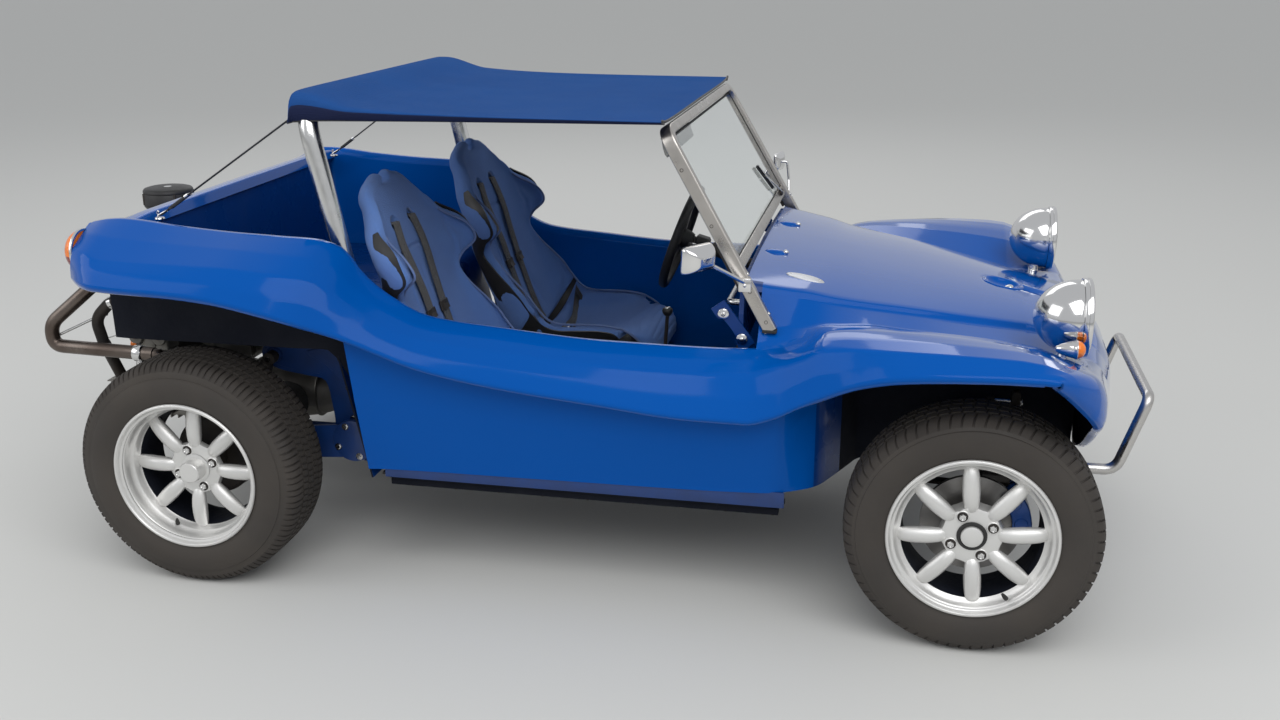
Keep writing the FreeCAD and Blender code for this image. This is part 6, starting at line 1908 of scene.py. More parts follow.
def build_engine():
    rear = -BASE
    groups = []
    x0, x1 = rear - 500, rear - 240

    def slab_box(a, b, c, d, e, f, bevel=6, mat=CAST):
        groups.append((box_between(at(a, c, e), at(b, d, f), bevel / 1000, 3), mat))
    slab_box(x0 + 4, x1, -118, 118, -58, 212, 14)
    slab_box(x0 + 2, x1, -149, 149, -30, 36, 8)
    for k in range(9):
        slab_box(x0 + 22 + k * 26, x0 + 27 + k * 26, -112, 112, -67, -40, 1.5)
    groups.append((lathe([(-0.006, 0), (-0.006, 0.058), (0.0, 0.062), (0.004, 0.062), (0.004, 0)],
                         at((x0 + x1) / 2, 0, -64), "z", 36), DARK))
    for side in (1, -1):
        for cx in (x0 + 78, x0 + 182):
            fins = [(112, 0), (112, 47)]
            for k in range(12):
                y = 150 + k * 12.5
                fins += [(y, 41), (y + 1, 54), (y + 3.6, 54), (y + 4.6, 41)]
            fins += [(302, 44), (302, 0)]
            groups.append((on_y(fins, cx, 92, side, 36), CAST))
        slab_box(*((x0 + 42, x1 - 22, 302, 352, 40, 146) if side > 0 else (x0 + 42, x1 - 22, -352, -302, 40,
                146)), bevel=5)
        for k in range(7):
            z = 48 + k * 15
            slab_box(*((x0 + 38, x1 - 18, 300, 362, z, z + 3.4) if side > 0 else (x0 + 38, x1 - 18, -362,
                    -300, z, z + 3.4)), bevel=1)
        cover = rounded_box([(0.350, 0.095, 0.046), (0.352, 0.098, 0.049), (0.358, 0.098, 0.049),
                             (0.361, 0.094, 0.045), (0.382, 0.088, 0.040), (0.3875, 0.083, 0.034),
                             (0.389, 0.07, 0.024)], 0.4)
        mid = at((x0 + x1) / 2 + 10, 0, 90)
        cover = [(mid[0] - y, side * x, mid[2] + z) for x, y, z in cover[0]], cover[1]
        groups.append((cover, DARK))
        for dx in (-0.072, 0.072):
            groups.extend(bolt((mid[0] + dx, side * 0.3845, mid[2] - 0.02), (0, side, 0), 0.005))
        for cx in (x0 + 78, x0 + 182):
            groups.append((on_y([(124, 0), (124, 9), (310, 9), (310, 0)], cx + 14, 44, side, 16), DARK))

    ring = [(226 * math.cos(t), 252 + 226 * math.sin(t)) for t in np.linspace(0.02, math.pi - 0.02, 34)]
    ring = [(238, 152), (238, 230)] + [p for p in ring if abs(p[0]) < 226] + [(-238, 230), (-238, 152)]
    fx0, fx1 = rear - 368, rear - 284
    verts = []
    for x, inset in ((fx0, 0.93), (fx0 + 6, 0.985), (fx0 + 12, 1.0), (fx1 - 12, 1.0), (fx1 - 6, 0.985),
                     (fx1, 0.93)):
        for y, z in ring:
            verts.append(at(x, y * inset, 152 + (z - 152) * (inset if z > 160 else 1)))
    m = len(ring)
    groups.append(((verts, bar_faces(6, m)), DARK))
    for k in range(3):
        y = (k - 1) * 120
        groups.extend(bolt(at(fx0 - 1, y, 190), (-1, 0, 0), 0.005))
    groups.append((lathe([(0.0, 0), (0.0, 0.075), (0.004, 0.078), (0.008, 0.078), (0.011, 0.07), (0.011, 0)],
                         at(fx1 - 2, 0, 330), "x", 40), CAST))
    groups.append((lathe([(-0.13, 0), (-0.13, 0.044), (-0.126, 0.048), (-0.02, 0.048), (0.0, 0.053),
                          (0.0, 0)], at(fx0, 0, 330), "x", 36), DARK))
    for k in range(6):
        groups.append((lathe([(0, 0.0478), (0.002, 0.0494), (0.006, 0.0494), (0.008, 0.0478), (0.004, 0.046)],
                             at(fx0 - 112 + 14 * k, 0, 330), "x", 32), CAST))
    groups.append((lathe([(-0.02, 0), (-0.02, 0.03), (-0.018, 0.05), (-0.012, 0.052), (-0.006, 0.036),
                          (0.0, 0.052), (0.006, 0.05), (0.008, 0.02), (0.008, 0)], at(rear - 505, 0, 330),
                         "x", 40), CAST))
    pulley = [(-0.024, 0), (-0.024, 0.012), (-0.02, 0.034), (-0.02, 0.074), (-0.023, 0.084), (-0.019, 0.085),
              (-0.0125, 0.072), (-0.0115, 0.072), (-0.005, 0.085), (-0.001, 0.084), (0.0, 0.06), (0.0, 0)]
    groups.append((lathe(pulley, at(x0, 0, 42), "x", 56), CAST))
    belt = []
    for k in range(40):
        t = 2 * math.pi * k / 40
        up = math.sin(t) > 0
        r = 0.046 if up else 0.078
        centre = 330 if up else 42
        belt.append(at(x0 - 12, r * 1000 * math.cos(t), centre + r * 1000 * math.sin(t)))
    groups.append((tube(belt, 0.0, 10, closed=True, flat=(0.0055, 0.0035)), SEAL))
    slab_box(x0 + 60, x0 + 120, -45, 45, 205, 290, 12)
    groups.append((lathe([(0, 0), (0, 0.02), (0.05, 0.02), (0.055, 0.026), (0.075, 0.03), (0.09, 0.026),
                          (0.094, 0)], at(x0 + 40, 92, 205), "z", 28), DARK))
    groups.append((lathe([(0, 0), (0, 0.028), (0.01, 0.034), (0.11, 0.034), (0.12, 0.02), (0.13, 0.02),
                          (0.13, 0)], at(x0 + 44, -150, 212), "z", 28), DARK))
    groups.append((lathe([(0, 0), (0, 0.016), (0.045, 0.016), (0.05, 0.028), (0.062, 0.028), (0.066, 0)],
                         at(x0 + 58, 70, 205), "z", 28), PLASTIC))

    for side in (1, -1):
        def twin(part, mat):
            groups.append((part if side > 0 else mirrored(part), mat))
        yc = 0.365
        for cx in (rear - 324, rear - 238):
            low = at(cx - 6, 0, 128)
            runner = smooth_line([(low[0] - 0.02, 0.345, low[2] - 0.01), (low[0] - 0.008, 0.352,
                    low[2] + 0.05), (at(cx, 0, 0)[0], yc, low[2] + 0.118)], count=14)
            twin(tube(runner, 0.0225, 22), CAST)
            twin(lathe([(0, 0), (0, 0.032), (0.006, 0.033), (0.009, 0.032), (0.009, 0)], (at(cx, 0, 0)[0], yc,
                    at(0, 0, 244)[2]), "z", 28), CAST)
            base = (at(cx, 0, 0)[0], yc, at(0, 0, 350)[2])
            stack = [(-0.004, 0), (-0.004, 0.028), (0.002, 0.029), (0.006, 0.0275), (0.008, 0.0245),
                     (0.058, 0.0245), (0.066, 0.0262), (0.072, 0.0295), (0.0745, 0.033), (0.0755, 0.0335),
                     (0.0752, 0.032), (0.071, 0.0275), (0.064, 0.024), (0.056, 0.0226), (0.012, 0.0226),
                     (0.012, 0)]
            twin(lathe(stack, base, "z", 40), BADGE)
            for k in range(3):
                a = 2.1 * k + 0.4
                for q, mat in bolt((base[0] + 0.024 * math.cos(a), yc + 0.024 * math.sin(a), base[2] + 0.006),
                                   (0, 0, 1), 0.0028):
                    twin(q, mat)
        lo, hi = at(rear - 348, 330, 252), at(rear - 200, 398, 346)
        twin(block(lo[0] + 0.006, hi[0] - 0.022, lo[1] + 0.006, hi[1] - 0.004, lo[2] + 0.004, hi[2],
                   bevel=0.007, segments=3), CAST)
        twin(block(lo[0] + 0.05, hi[0] - 0.062, lo[1] - 0.002, hi[1], lo[2] + 0.012, hi[2] - 0.02,
                   bevel=0.006, segments=2), CAST)
        for x in (lo[0] + 0.026, hi[0] - 0.048):
            twin(lathe([(-0.004, 0), (-0.004, 0.022), (0.002, 0.0235), (0.006, 0.02), (0.007, 0)],
                       (x, hi[1] - 0.002, lo[2] + 0.045), "y", 28), CAST)
            twin(lathe([(0.0, 0), (0.0, 0.006), (0.010, 0.0055), (0.012, 0)], (x, hi[1], lo[2] + 0.045), "y",
                       6), AGED)
        twin(lathe([(-0.006, 0), (-0.006, 0.024), (0.0, 0.027), (0.018, 0.027), (0.022, 0.022), (0.024, 0)],
                   (lo[0] + 0.03, yc, hi[2] - 0.004), "z", 32), CAST)
        twin(lathe([(-0.006, 0), (-0.006, 0.011), (0.0, 0.0115), (0.012, 0.0105), (0.013, 0)], (lo[0] + 0.014,
                hi[1] - 0.006, lo[2] + 0.022), "x", 20), AMBER)
        lever = [(lo[0] + 0.11, hi[1] + 0.003, hi[2] - 0.02), (hi[0] + 0.01, hi[1] + 0.004, hi[2] - 0.002)]
        twin(tube(lever, 0.0, 10, flat=(0.0042, 0.002)), POLISHED)
        for q, mat in bolt((lo[0] + 0.112, hi[1] + 0.004, hi[2] - 0.02), (0, 1, 0), 0.004):
            twin(q, mat)
        rod = [(hi[0] - 0.03, 0.335, hi[2] + 0.012), (hi[0] - 0.03, 0.0, hi[2] + 0.014)]
        twin(tube(rod, 0.0038, 12), POLISHED)
        hose = smooth_line([(lo[0] + 0.04, 0.392, lo[2] + 0.03), (lo[0] - 0.004, 0.398, lo[2] + 0.0),
                            (lo[0] - 0.03, 0.36, lo[2] - 0.03), (lo[0] - 0.05, 0.29, lo[2] - 0.02),
                            (lo[0] - 0.06, 0.235, lo[2] + 0.0)], count=28)
        twin(tube(hose, 0.0055, 12), SEAL)
    made_of("engine_block", groups, replaces=("engine",), angle=38)

    groups = []
    for side in (1, -1):
        pipe = rounded([at(rear - 420, side * 345, 150), at(rear - 425, side * 405, 275), at(rear - 435,
                side * 415, 350), at(rear - 385, side * 412, 400), at(rear - 345, side * 412, 413)],
                       [0.03, 0.06, 0.05], arc=8, run=3)
        groups.append((tube(pipe, 0.0168, 24), DARK))
        for k in (0.1, 0.9):
            p, q = Vector(pipe[int(k * (len(pipe) - 1))]), Vector(pipe[min(int(k * (len(pipe) - 1)) + 1,
                    len(pipe) - 1)])
            groups.append((turned_on([(-0.006, 0.0165), (-0.006, 0.0185), (0.006, 0.0185), (0.006, 0.0165)],
                                     p, q, 24), POLISHED))
        rod = [at(rear - 407, side * 402, 291), at(rear - 330, side * 398, 318)]
        groups.append((tube(rod, 0.0, 10, flat=(0.006, 0.002)), POLISHED))
    made_of("exhaust_pipes", groups, replaces=("exhaust",), angle=45)

    low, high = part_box("air_cleaner")
    cx, cy = at(rear - 410, 0, 0)[0], 0.0
    z0 = high[2] - 0.066
    drum = [(0, 0), (0, 0.066), (0.003, 0.072), (0.008, 0.0755), (0.012, 0.076), (0.0135, 0.0745),
            (0.015, 0.076), (0.047, 0.0755), (0.049, 0.0738), (0.051, 0.0758), (0.056, 0.0755),
            (0.061, 0.072), (0.064, 0.062), (0.0655, 0.04), (0.066, 0)]
    groups = [(lathe(drum, (cx, cy, z0), "z", 64), PLASTIC)]
    groups.append((lathe([(0.0655, 0), (0.0655, 0.012), (0.0660, 0.012), (0.0660, 0)], (cx, cy, z0), "z", 20),
                   CHROME))
    for k in range(4):
        a = math.pi / 4 + k * math.pi / 2
        groups.append((block(cx + 0.0745 * math.cos(a) - 0.004, cx + 0.0745 * math.cos(a) + 0.004, cy + 0.0745
                             * math.sin(a) - 0.004, cy + 0.0745 * math.sin(a) + 0.004, z0 + 0.014, z0 + 0.05,
                             bevel=0.0015), DARK))
    tx = high[0] - 0.022
    groups.append((tube(smooth_line([(tx, 0, low[2] + 0.001), (tx, 0, z0 - 0.09), (tx - 0.01, 0, z0 - 0.03),
                                     (tx - 0.03, 0, z0 + 0.004)], count=24), 0.0215, 28), SEAL))
    for z in (low[2] + 0.03, z0 - 0.08):
        groups.append((lathe([(0, 0.0214), (0, 0.0235), (0.01, 0.0235), (0.01, 0.0214)], (tx, 0, z), "z", 32),
                       POLISHED))
    made_of("air_filter", groups, replaces=("air_cleaner",), angle=40)

    groups = []
    low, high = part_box("transaxle")
    mid_z = at(0, 0, 22)[2]
    base = (low[0], 0, mid_z)
    length = high[0] - low[0]
    sections = [(0.0, 0.1045, 0.0895), (0.012, 0.1045, 0.0895), (0.016, 0.097, 0.083), (0.055, 0.092, 0.078),
                (0.10, 0.10, 0.086), (0.13, 0.104, 0.089), (0.2, 0.104, 0.089), (0.235, 0.095, 0.08),
                (0.30, 0.082, 0.07), (0.335, 0.07, 0.062), (0.36, 0.06, 0.055), (0.50, 0.054, 0.05),
                (0.53, 0.0595, 0.0545), (length - 0.002, 0.059, 0.0545), (length, 0.055, 0.05)]
    case = rounded_box(sections, 0.75, 8)
    groups.append((shifted(case, base), CAST))
    for x in (0.07, 0.11, 0.15, 0.19, 0.23, 0.27, 0.31):
        k = 0.098 if x < 0.22 else 0.082
        rib = rounded_box([(x, k, k * 0.86), (x + 0.001, k + 0.004, k * 0.86 + 0.002), (x + 0.005, k + 0.004,
                k * 0.86 + 0.002), (x + 0.006, k, k * 0.86)], 0.75, 8)
        groups.append((shifted(rib, base), CAST))
    for k in range(8):
        a = k * math.pi / 4 + 0.3
        groups.extend(bolt((low[0] + 0.0125, 0.092 * math.cos(a), mid_z + 0.077 * math.sin(a)), (1, 0, 0),
                           0.0055, CAST))
    made_of("gearbox_case", groups, replaces=("transaxle",), angle=40)

    groups = []
    for side in (1, -1):
        boot = [(106, 0), (106, 60)]
        for k in range(5):
            boot += [(112 + 12 * k, 58 - 3.4 * k), (118 + 12 * k, 66 - 4 * k)]
        boot += [(174, 46), (176, 40), (176, 0)]
        groups.append((on_y(boot, -BASE, 22, side, 40), SEAL))
        axle = [(170, 0), (170, 37), (176, 38), (500, 37.5), (506, 50), (514, 62), (532, 64), (532, 112),
                (536, 114.5), (540, 114.5), (541, 106), (548, 108)]
        for k in range(4):
            axle += [(550 + 7 * k, 108), (551 + 7 * k, 113.5), (553.5 + 7 * k, 113.5), (554.5 + 7 * k, 108)]
        axle += [(579, 106), (580, 98), (580, 40), (586, 36), (586, 17), (675, 16.6), (676, 15), (676, 0)]
        groups.append((on_y(axle, -BASE, 22, side, 56), DARK))
        for k in range(4):
            a = k * math.pi / 2 + 0.6
            groups.extend(bolt(at(-BASE + 54 * math.cos(a), side * 531, 22 + 54 * math.sin(a)), (0, -side, 0),
                               0.007))
    made_of("rear_axle_pair", groups, replaces=("rear_axle_tubes",), angle=40)

    groups = []
    low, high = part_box("rear_torsion_housing")
    tz = at(0, 0, 55)[2]
    tx = at(-BASE + 378, 0, 0)[0]
    outer = 0.470
    line = [(-outer, 0), (-outer, 0.05), (-outer + 0.006, 0.0498), (-0.436, 0.0498), (-0.434, 0.056),
            (-0.424, 0.056), (-0.422, 0.049), (-0.062, 0.049), (-0.058, 0.053), (0.058, 0.053),
            (0.062, 0.049), (0.422, 0.049), (0.424, 0.056), (0.434, 0.056), (0.436, 0.0498), (outer - 0.006,
            0.0498), (outer, 0.05), (outer, 0)]
    groups.append((lathe(line, (tx, 0, tz), "y", 48), FRAME_BLUE))
    pan_rear = high[0]
    groups.append((block(tx, pan_rear, -0.43, 0.43, at(0, 0, -29)[2], tz, bevel=0.008, segments=3),
                   FRAME_BLUE))
    for k in range(-4, 5):
        groups.append((block(tx + 0.03, pan_rear - 0.012, k * 0.09 - 0.004, k * 0.09 + 0.004, tz - 0.002,
                             tz + 0.007, bevel=0.002), FRAME_BLUE))
    horn_top, horn_low = low[2] + 0.055, low[2]
    for side in (1, -1):
        y = side * 0.185
        groups.append((block(at(-BASE - 190, 0, 0)[0], tx, y - 0.025, y + 0.025, horn_low, horn_top,
                             bevel=0.008, segments=3), FRAME_BLUE))
        groups.append((block(tx - 0.025, tx + 0.025, y - 0.0245, y + 0.0245, horn_low, tz, bevel=0.006,
                             segments=2), FRAME_BLUE))
        for x in (-150, -110, 60):
            groups.extend(bolt((at(-BASE + x, 0, 0)[0], y, horn_low - 0.0005), (0, 0, -1), 0.007))
        ring = [(330, 40), (318, 130), (298, 222), (232, 240), (166, 250), (122, 268), (114, 296), (150, 321),
                (205, 334), (262, 341), (330, 342), (362, 336), (384, 300), (392, 180), (396, 60)]
        plate = smooth_ring([(x - BASE, z) for x, z in ring], 4)
        y = side * 440
        groups.append((slabbed(plate, y - 5, y + 5, 1.5), FRAME_BLUE))
        edge = [at(p[0], y, p[1]) for p in plate]
        groups.append((tube(edge, 0.0, 12, closed=True, flat=(0.0035, 0.0118)), FRAME_BLUE))
        gusset = smooth_ring([(338 - BASE, 215), (300 - BASE, 262), (240 - BASE, 300), (330 - BASE, 318),
                              (368 - BASE, 290), (372 - BASE, 235)], 3)
        groups.append((slabbed(gusset, y - 8, y + 8, 1.5), FRAME_BLUE))
        for x, z in ((342, 285), (368, 110), (360, 200)):
            groups.extend(bolt(at(x - BASE, y + side * 7.5, z), (0, side, 0), 0.0065))
        groups.append((on_y([(430, 0), (430, 19), (433, 21), (448, 21), (451, 19), (451, 0)], -BASE + 145,
                            286, side, 28), FRAME_BLUE))
        groups.extend(bolt(at(145 - BASE, side * 451, 286), (0, side, 0), 0.009))
    made_of("torsion_frame", groups, replaces=("rear_torsion_housing",), angle=40)

    groups = []
    for side in (1, -1):
        cap = [(471, 0), (471, 58), (474, 61.5), (480, 62), (486, 60), (489, 54), (489, 0)]
        groups.append((on_y(cap, -BASE + 378, 55, side, 48), FRAME_BLUE))
        for k in range(4):
            a = k * math.pi / 2 + 0.4
            groups.extend(bolt(at(-BASE + 378 + 47 * math.cos(a), side * 488.5, 55 + 47 * math.sin(a)),
                               (0, side, 0), 0.007))
        ring = [(-BASE + 378, 104), (-BASE + 250, 92), (-BASE + 120, 74), (-BASE + 47, 58), (-BASE + 46, -14),
                (-BASE + 120, -20), (-BASE + 250, -4), (-BASE + 378, 6)]
        groups.append((slabbed(in_steps(ring, 3), *sorted((side * 474, side * 485)), 2), FRAME_BLUE))
        for x, z in ((70, 38), (70, 4), (118, 42), (118, 0)):
            groups.extend(bolt(at(-BASE + x, side * 485, z), (0, side, 0), 0.008))
    made_of("spring_plate_pair", groups, replaces=("spring_plates",), angle=40)

    groups = []
    for side in (1, -1):
        foot, head = at(-BASE - 45, side * 478, 22), at(-BASE + 145, side * 478, 286)
        size = math.dist(foot, head)
        body = [(0.012, 0), (0.012, 0.012), (0.018, 0.0175), (0.03, 0.0195), (size * 0.5, 0.0195),
                (size * 0.5 + 0.002, 0.0205), (size * 0.5 + 0.008, 0.0215), (size - 0.03, 0.0215),
                (size - 0.018, 0.018), (size - 0.012, 0.01), (size - 0.012, 0)]
        groups.append((turned_on(body, foot, head, 32), DARK))
        for p in ((-BASE - 45, 22), (-BASE + 145, 286)):
            groups.append((on_y([(462, 0), (462, 11), (464, 18), (492, 18), (494, 11), (494, 0)], p[0], p[1],
                                side, 28), DARK))
            groups.append((on_y([(458, 0), (458, 8), (497, 8), (498, 0)], p[0], p[1], side, 6), POLISHED))
        low_end, top = at(38, side * 400, -46), at(38, side * 400, 280)
        size = math.dist(low_end, top)
        body = [(0.0, 0), (0.0, 0.012), (0.006, 0.018), (0.018, 0.0195), (size * 0.5, 0.0195),
                (size * 0.5 + 0.003, 0.021), (size * 0.52, 0.0215), (size - 0.03, 0.0215),
                (size - 0.02, 0.017), (size, 0.009), (size, 0)]
        groups.append((turned_on(body, low_end, top, 32), DARK))
        groups.append((turned_on([(0.0, 0), (0.0, 0.0075), (0.07, 0.0075), (0.07, 0)], at(38, side * 400,
                268), at(88, side * 400, 268), 20), POLISHED))
        groups.append((on_y([(390, 0), (390, 8), (500, 8), (508, 8), (508, 0)], 38, -38, side, 20), POLISHED))
    made_of("damper_set", groups, replaces=("shock_absorbers",), angle=40)


def build_front_axle():
    groups = []
    for rise in (-60, 60):
        line = [(-0.425, 0), (-0.425, 0.0235), (-0.422, 0.0268), (-0.392, 0.0268), (-0.389, 0.0248),
                (-0.318, 0.0248), (-0.315, 0.0248), (-0.075, 0.0248), (-0.072, 0.028), (-0.045, 0.028),
                (-0.042, 0.0248), (0.042, 0.0248), (0.045, 0.028), (0.072, 0.028), (0.075, 0.0248),
                (0.389, 0.0248), (0.392, 0.0268), (0.422, 0.0268), (0.425, 0.0235), (0.425, 0)]
        groups.append((lathe(line, at(100, 0, 14 + rise), "y", 36), DARK))
    for y in (-300, -70, 70, 300):
        web = smooth_ring([(88, -40), (112, -40), (108, 14), (112, 68), (88, 68), (92, 14)], 4)
        groups.append((slabbed(web, y - 13, y + 13, 2), DARK))
        groups.extend(bolt(at(112, y, 14), (1, 0, 0), 0.007))
    for side in (1, -1):
        tower = [(88, -46), (112, -46), (112, 60), (114, 200), (112, 288), (107, 299), (93, 299), (88, 288),
                 (86, 200), (88, 60)]
        groups.append((slabbed(tower, side * 400 - 13, side * 400 + 13, 2.5), DARK))
        groups.extend(bolt(at(100 + 13, side * 400, 268), (1, 0, 0), 0.008))
    made_of("front_beam", groups, replaces=("front_axle_beam",), angle=40)

    groups = []
    for side in (1, -1):
        for rise, z0, z1 in ((60, 76, 106), (-60, -106, -76)):
            groups.append((on_y([(426, 0), (426, 27), (429, 29.5), (450, 29.5), (454, 26), (455, 18),
                                 (455, 0)], 100, 14 + rise, side, 36), DARK))
            mid = 14 + (z0 + z1) / 2
            boss = [(-0.0148, 0.0106), (-0.0148, 0.019), (-0.012, 0.0218), (0.012, 0.0218), (0.0148, 0.019),
                    (0.0148, 0.0106)]
            groups.append((lathe(boss + boss[:1], at(0, side * 540, mid), "z", 32), DARK))
            a, b = Vector(at(92, side * 446, 14 + rise)), Vector(at(14, side * 521, mid))
            line = [tuple(a + (b - a) * t) for t in (0, 0.25, 0.5, 0.75, 1)]
            groups.append((tube(line, [0.0145, 0.0125, 0.0115, 0.012, 0.0135], 20), DARK))
            groups.append((on_y([(455, 0), (455, 9), (459, 8), (459, 0)], 100, 14 + rise, side, 6), POLISHED))
    made_of("trailing_arm_set", groups, replaces=("trailing_arms",), angle=40)

    for side, name in ((1, "left"), (-1, "right")):
        groups = []
        post = [(-0.106, 0), (-0.106, 0.0085), (-0.104, 0.0098), (-0.0765, 0.0098), (-0.075, 0.018),
                (-0.07, 0.0198), (-0.05, 0.0198), (-0.04, 0.0172), (0.04, 0.0172), (0.05, 0.0198),
                (0.07, 0.0198), (0.075, 0.018), (0.0765, 0.0098), (0.104, 0.0098), (0.106, 0.0085),
                (0.106, 0)]
        groups.append((lathe(post, at(0, side * 540, 14), "z", 36), DARK))
        stub = [(540, 0), (540, 26), (552, 30), (560, 28), (565, 17), (639, 16.8), (640, 15), (640, 0)]
        groups.append((on_y(stub, 0, 14, side, 36), DARK))
        groups.append((slabbed([(-16, -10), (16, -10), (18, 14), (16, 40), (-16, 40), (-18, 14)],
                               *sorted((side * 542, side * 585)), 3), DARK))
        arm = [at(-132, side * 506, 79), at(-110, side * 506, 79), at(-60, side * 512, 79), at(-8, side * 522,
                78)]
        groups.append((tube(smooth_line(arm, count=12), 0.0, 16, flat=(0.0135, 0.0068)), DARK))
        groups.append((lathe([(-0.007, 0), (-0.007, 0.012), (-0.005, 0.0138), (0.004, 0.0138),
                              (0.0068, 0.012), (0.0068, 0)], at(-120, side * 506, 79), "z", 28), DARK))
        carrier = [(0, -1), (60, -8), (118, -2), (119, 58), (70, 56), (0, 34)]
        groups.append((slabbed(in_steps(carrier, 3), *sorted((side * 573, side * 585)), 2), DARK))
        made_of(f"knuckle_{name}_forging", groups, body=f"knuckle_{name}",
                replaces=(f"knuckle_{name}",), angle=40)
        groups = []
        for y0, y1 in ((573, 592.5), (615.5, 626)):
            shape = arc_line(146, -8, 56, 14) + arc_line(98, 48, -56, 14)
            groups.append((slabbed(shape, *sorted((side * y0, side * y1)), 3), CALIPER))
            for a in (6, 34):
                x, z = 120 * math.cos(math.radians(a)), 14 + 120 * math.sin(math.radians(a))
                if y0 > 600:
                    groups.append((on_y([(622, 0), (622, 16), (626, 17), (629, 15), (629.5, 0)], x, z, side,
                                        28), CALIPER))
        bridge = arc_line(146, -4, 48, 14) + arc_line(133, 44, -48, 14)
        groups.append((slabbed(bridge, *sorted((side * 585, side * 620)), 2), CALIPER))
        for a in (-2, 42):
            x, z = 139 * math.cos(math.radians(a)), 14 + 139 * math.sin(math.radians(a))
            groups.extend(bolt(at(x, side * 626, z), (0, side, 0), 0.0055))
        made_of(f"caliper_{name}", groups, body=f"knuckle_{name}", angle=40)

    low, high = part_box("track_rod")
    x, z = (low[0] + high[0]) / 2, (low[2] + high[2]) / 2
    end = high[1]
    line = [(-end, 0), (-end, 0.008), (-end + 0.004, 0.0098), (-end + 0.036, 0.0098), (-end + 0.038, 0.0075),
            (-end + 0.05, 0.0075), (-end + 0.052, 0.0098), (-end + 0.066, 0.0098), (-end + 0.068, 0.0082)]
    line += [(-y, r) for y, r in line[::-1]]
    groups = [(lathe(line, (x, 0, z), "y", 24), DARK)]
    for side in (1, -1):
        groups.append((lathe([(-0.0096, 0), (-0.0096, 0.0098), (0.003, 0.0125), (0.007, 0.0115),
                              (0.0098, 0.0075), (0.0098, 0)], (x, side * (end - 0.008), z), "z", 28), DARK))
    made_of("track_rod_ends", groups, body="track_rod", replaces=("track_rod",), angle=40)


def build_bumpers():
    groups = []
    half = 292
    low = 57
    tube_r = 0.0148
    points = [at(100, -half, low), at(380, -half, low), at(445, -half + 2, 262), at(445, half - 2, 262),
              at(380, half, low), at(100, half, low)]
    line = rounded(points, [0.045, 0.032, 0.032, 0.045], arc=12, run=5)
    groups.append((tube(line, tube_r, 32), SATIN))
    for side in (1, -1):
        c = at(126, side * half, low)
        groups.append((lathe([(-0.014, 0.0145), (-0.014, 0.019), (-0.011, 0.0205), (0.011, 0.0205),
                              (0.014, 0.019), (0.014, 0.0145)], c, "x", 32), DARK))
        groups.extend(bolt((c[0], c[1], c[2] - 0.0205), (0, 0, -1), 0.006))
    made_of("front_bumper_bow", groups, replaces=("front_bumper",), angle=50)

    groups = []
    rear = -BASE
    back = (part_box("rear_bumper")[0][0] - FRONT_X) * 1000 + 20
    half = 480
    low = 275
    points = [at(rear - 215, -half, low), at(back, -half, low + 8), at(back, -half, low + 74), at(rear - 410,
            -half + 60, 465), at(rear - 410, half - 60, 465), at(back, half, low + 74), at(back, half,
            low + 8), at(rear - 215, half, low)]
    line = rounded(points, [0.042, 0.06, 0.05, 0.05, 0.06, 0.042], arc=12, run=4)
    groups.append((tube(line, 0.0198, 36), AGED))
    for side in (1, -1):
        c = at(rear - 262, side * half, low + 1)
        groups.append((lathe([(-0.013, 0.0195), (-0.013, 0.0225), (-0.010, 0.0238), (0.010, 0.0238),
                              (0.013, 0.0225), (0.013, 0.0195)], c, "x", 32), POLISHED))
        groups.append((block(c[0] - 0.009, c[0] + 0.009, c[1] - 0.007, c[1] + 0.007, c[2] - 0.034,
                             c[2] - 0.021, bevel=0.002), POLISHED))
        groups.extend(bolt((c[0], c[1] + side * 0.007, c[2] - 0.028), (0, side, 0), 0.004))
        end = at(rear - 208, side * half, low)
        groups.append((lathe([(-0.01, 0), (-0.01, 0.0165), (0.012, 0.0165), (0.02, 0.011), (0.022, 0)], end,
                             "x", 28), AGED))
        top, foot = at(rear - 222, side * half, low), at(rear - 170, side * 185, -20)
        groups.append((tube([top, tuple((Vector(top) + Vector(foot)) / 2), foot], 0.0118, 20), AGED))
        a, b = at(back + 8, side * (half - 14), 310), at(rear - 414, side * 400, 364)
        groups.append((tube([a, b], 0.0042, 14), POLISHED))
        groups.append((lathe([(-0.008, 0), (-0.008, 0.007), (0.008, 0.007), (0.008, 0)], b, "x", 16),
                       POLISHED))
    made_of("rear_bumper_bow", groups, replaces=("rear_bumper",), angle=50)


def sheeted(outline, z0, z1, bevel=2.0):
    """Flat plate with bevelled edges from an (x, y) outline in table millimetres."""
    verts, faces = slabbed(outline, z0, z1, bevel)
    return [(x, z - PAN, PAN + y) for x, y, z in verts], faces


# strips along the sill: from and to in x, y and z; bevel, its segments and the look; the three strips under the blue
# flange are near-black as painted shade
SILL_STRIPS = [
    (-1550, -468, 552, 601, 9, 13, 0.001, 2, UNDERSEAL_AND_SHADE),
    (-1550, -468, 550, 554, -2, 13, 0.001, 2, UNDERSEAL_AND_SHADE),
    (-1556, -484, 525, 560, -33, -14, 0.003, 3, UNDERSEAL_AND_SHADE),
    (-1552, -466, 600.5, 606, 9, 52, 0.0015, 2, FRAME_BLUE),
]


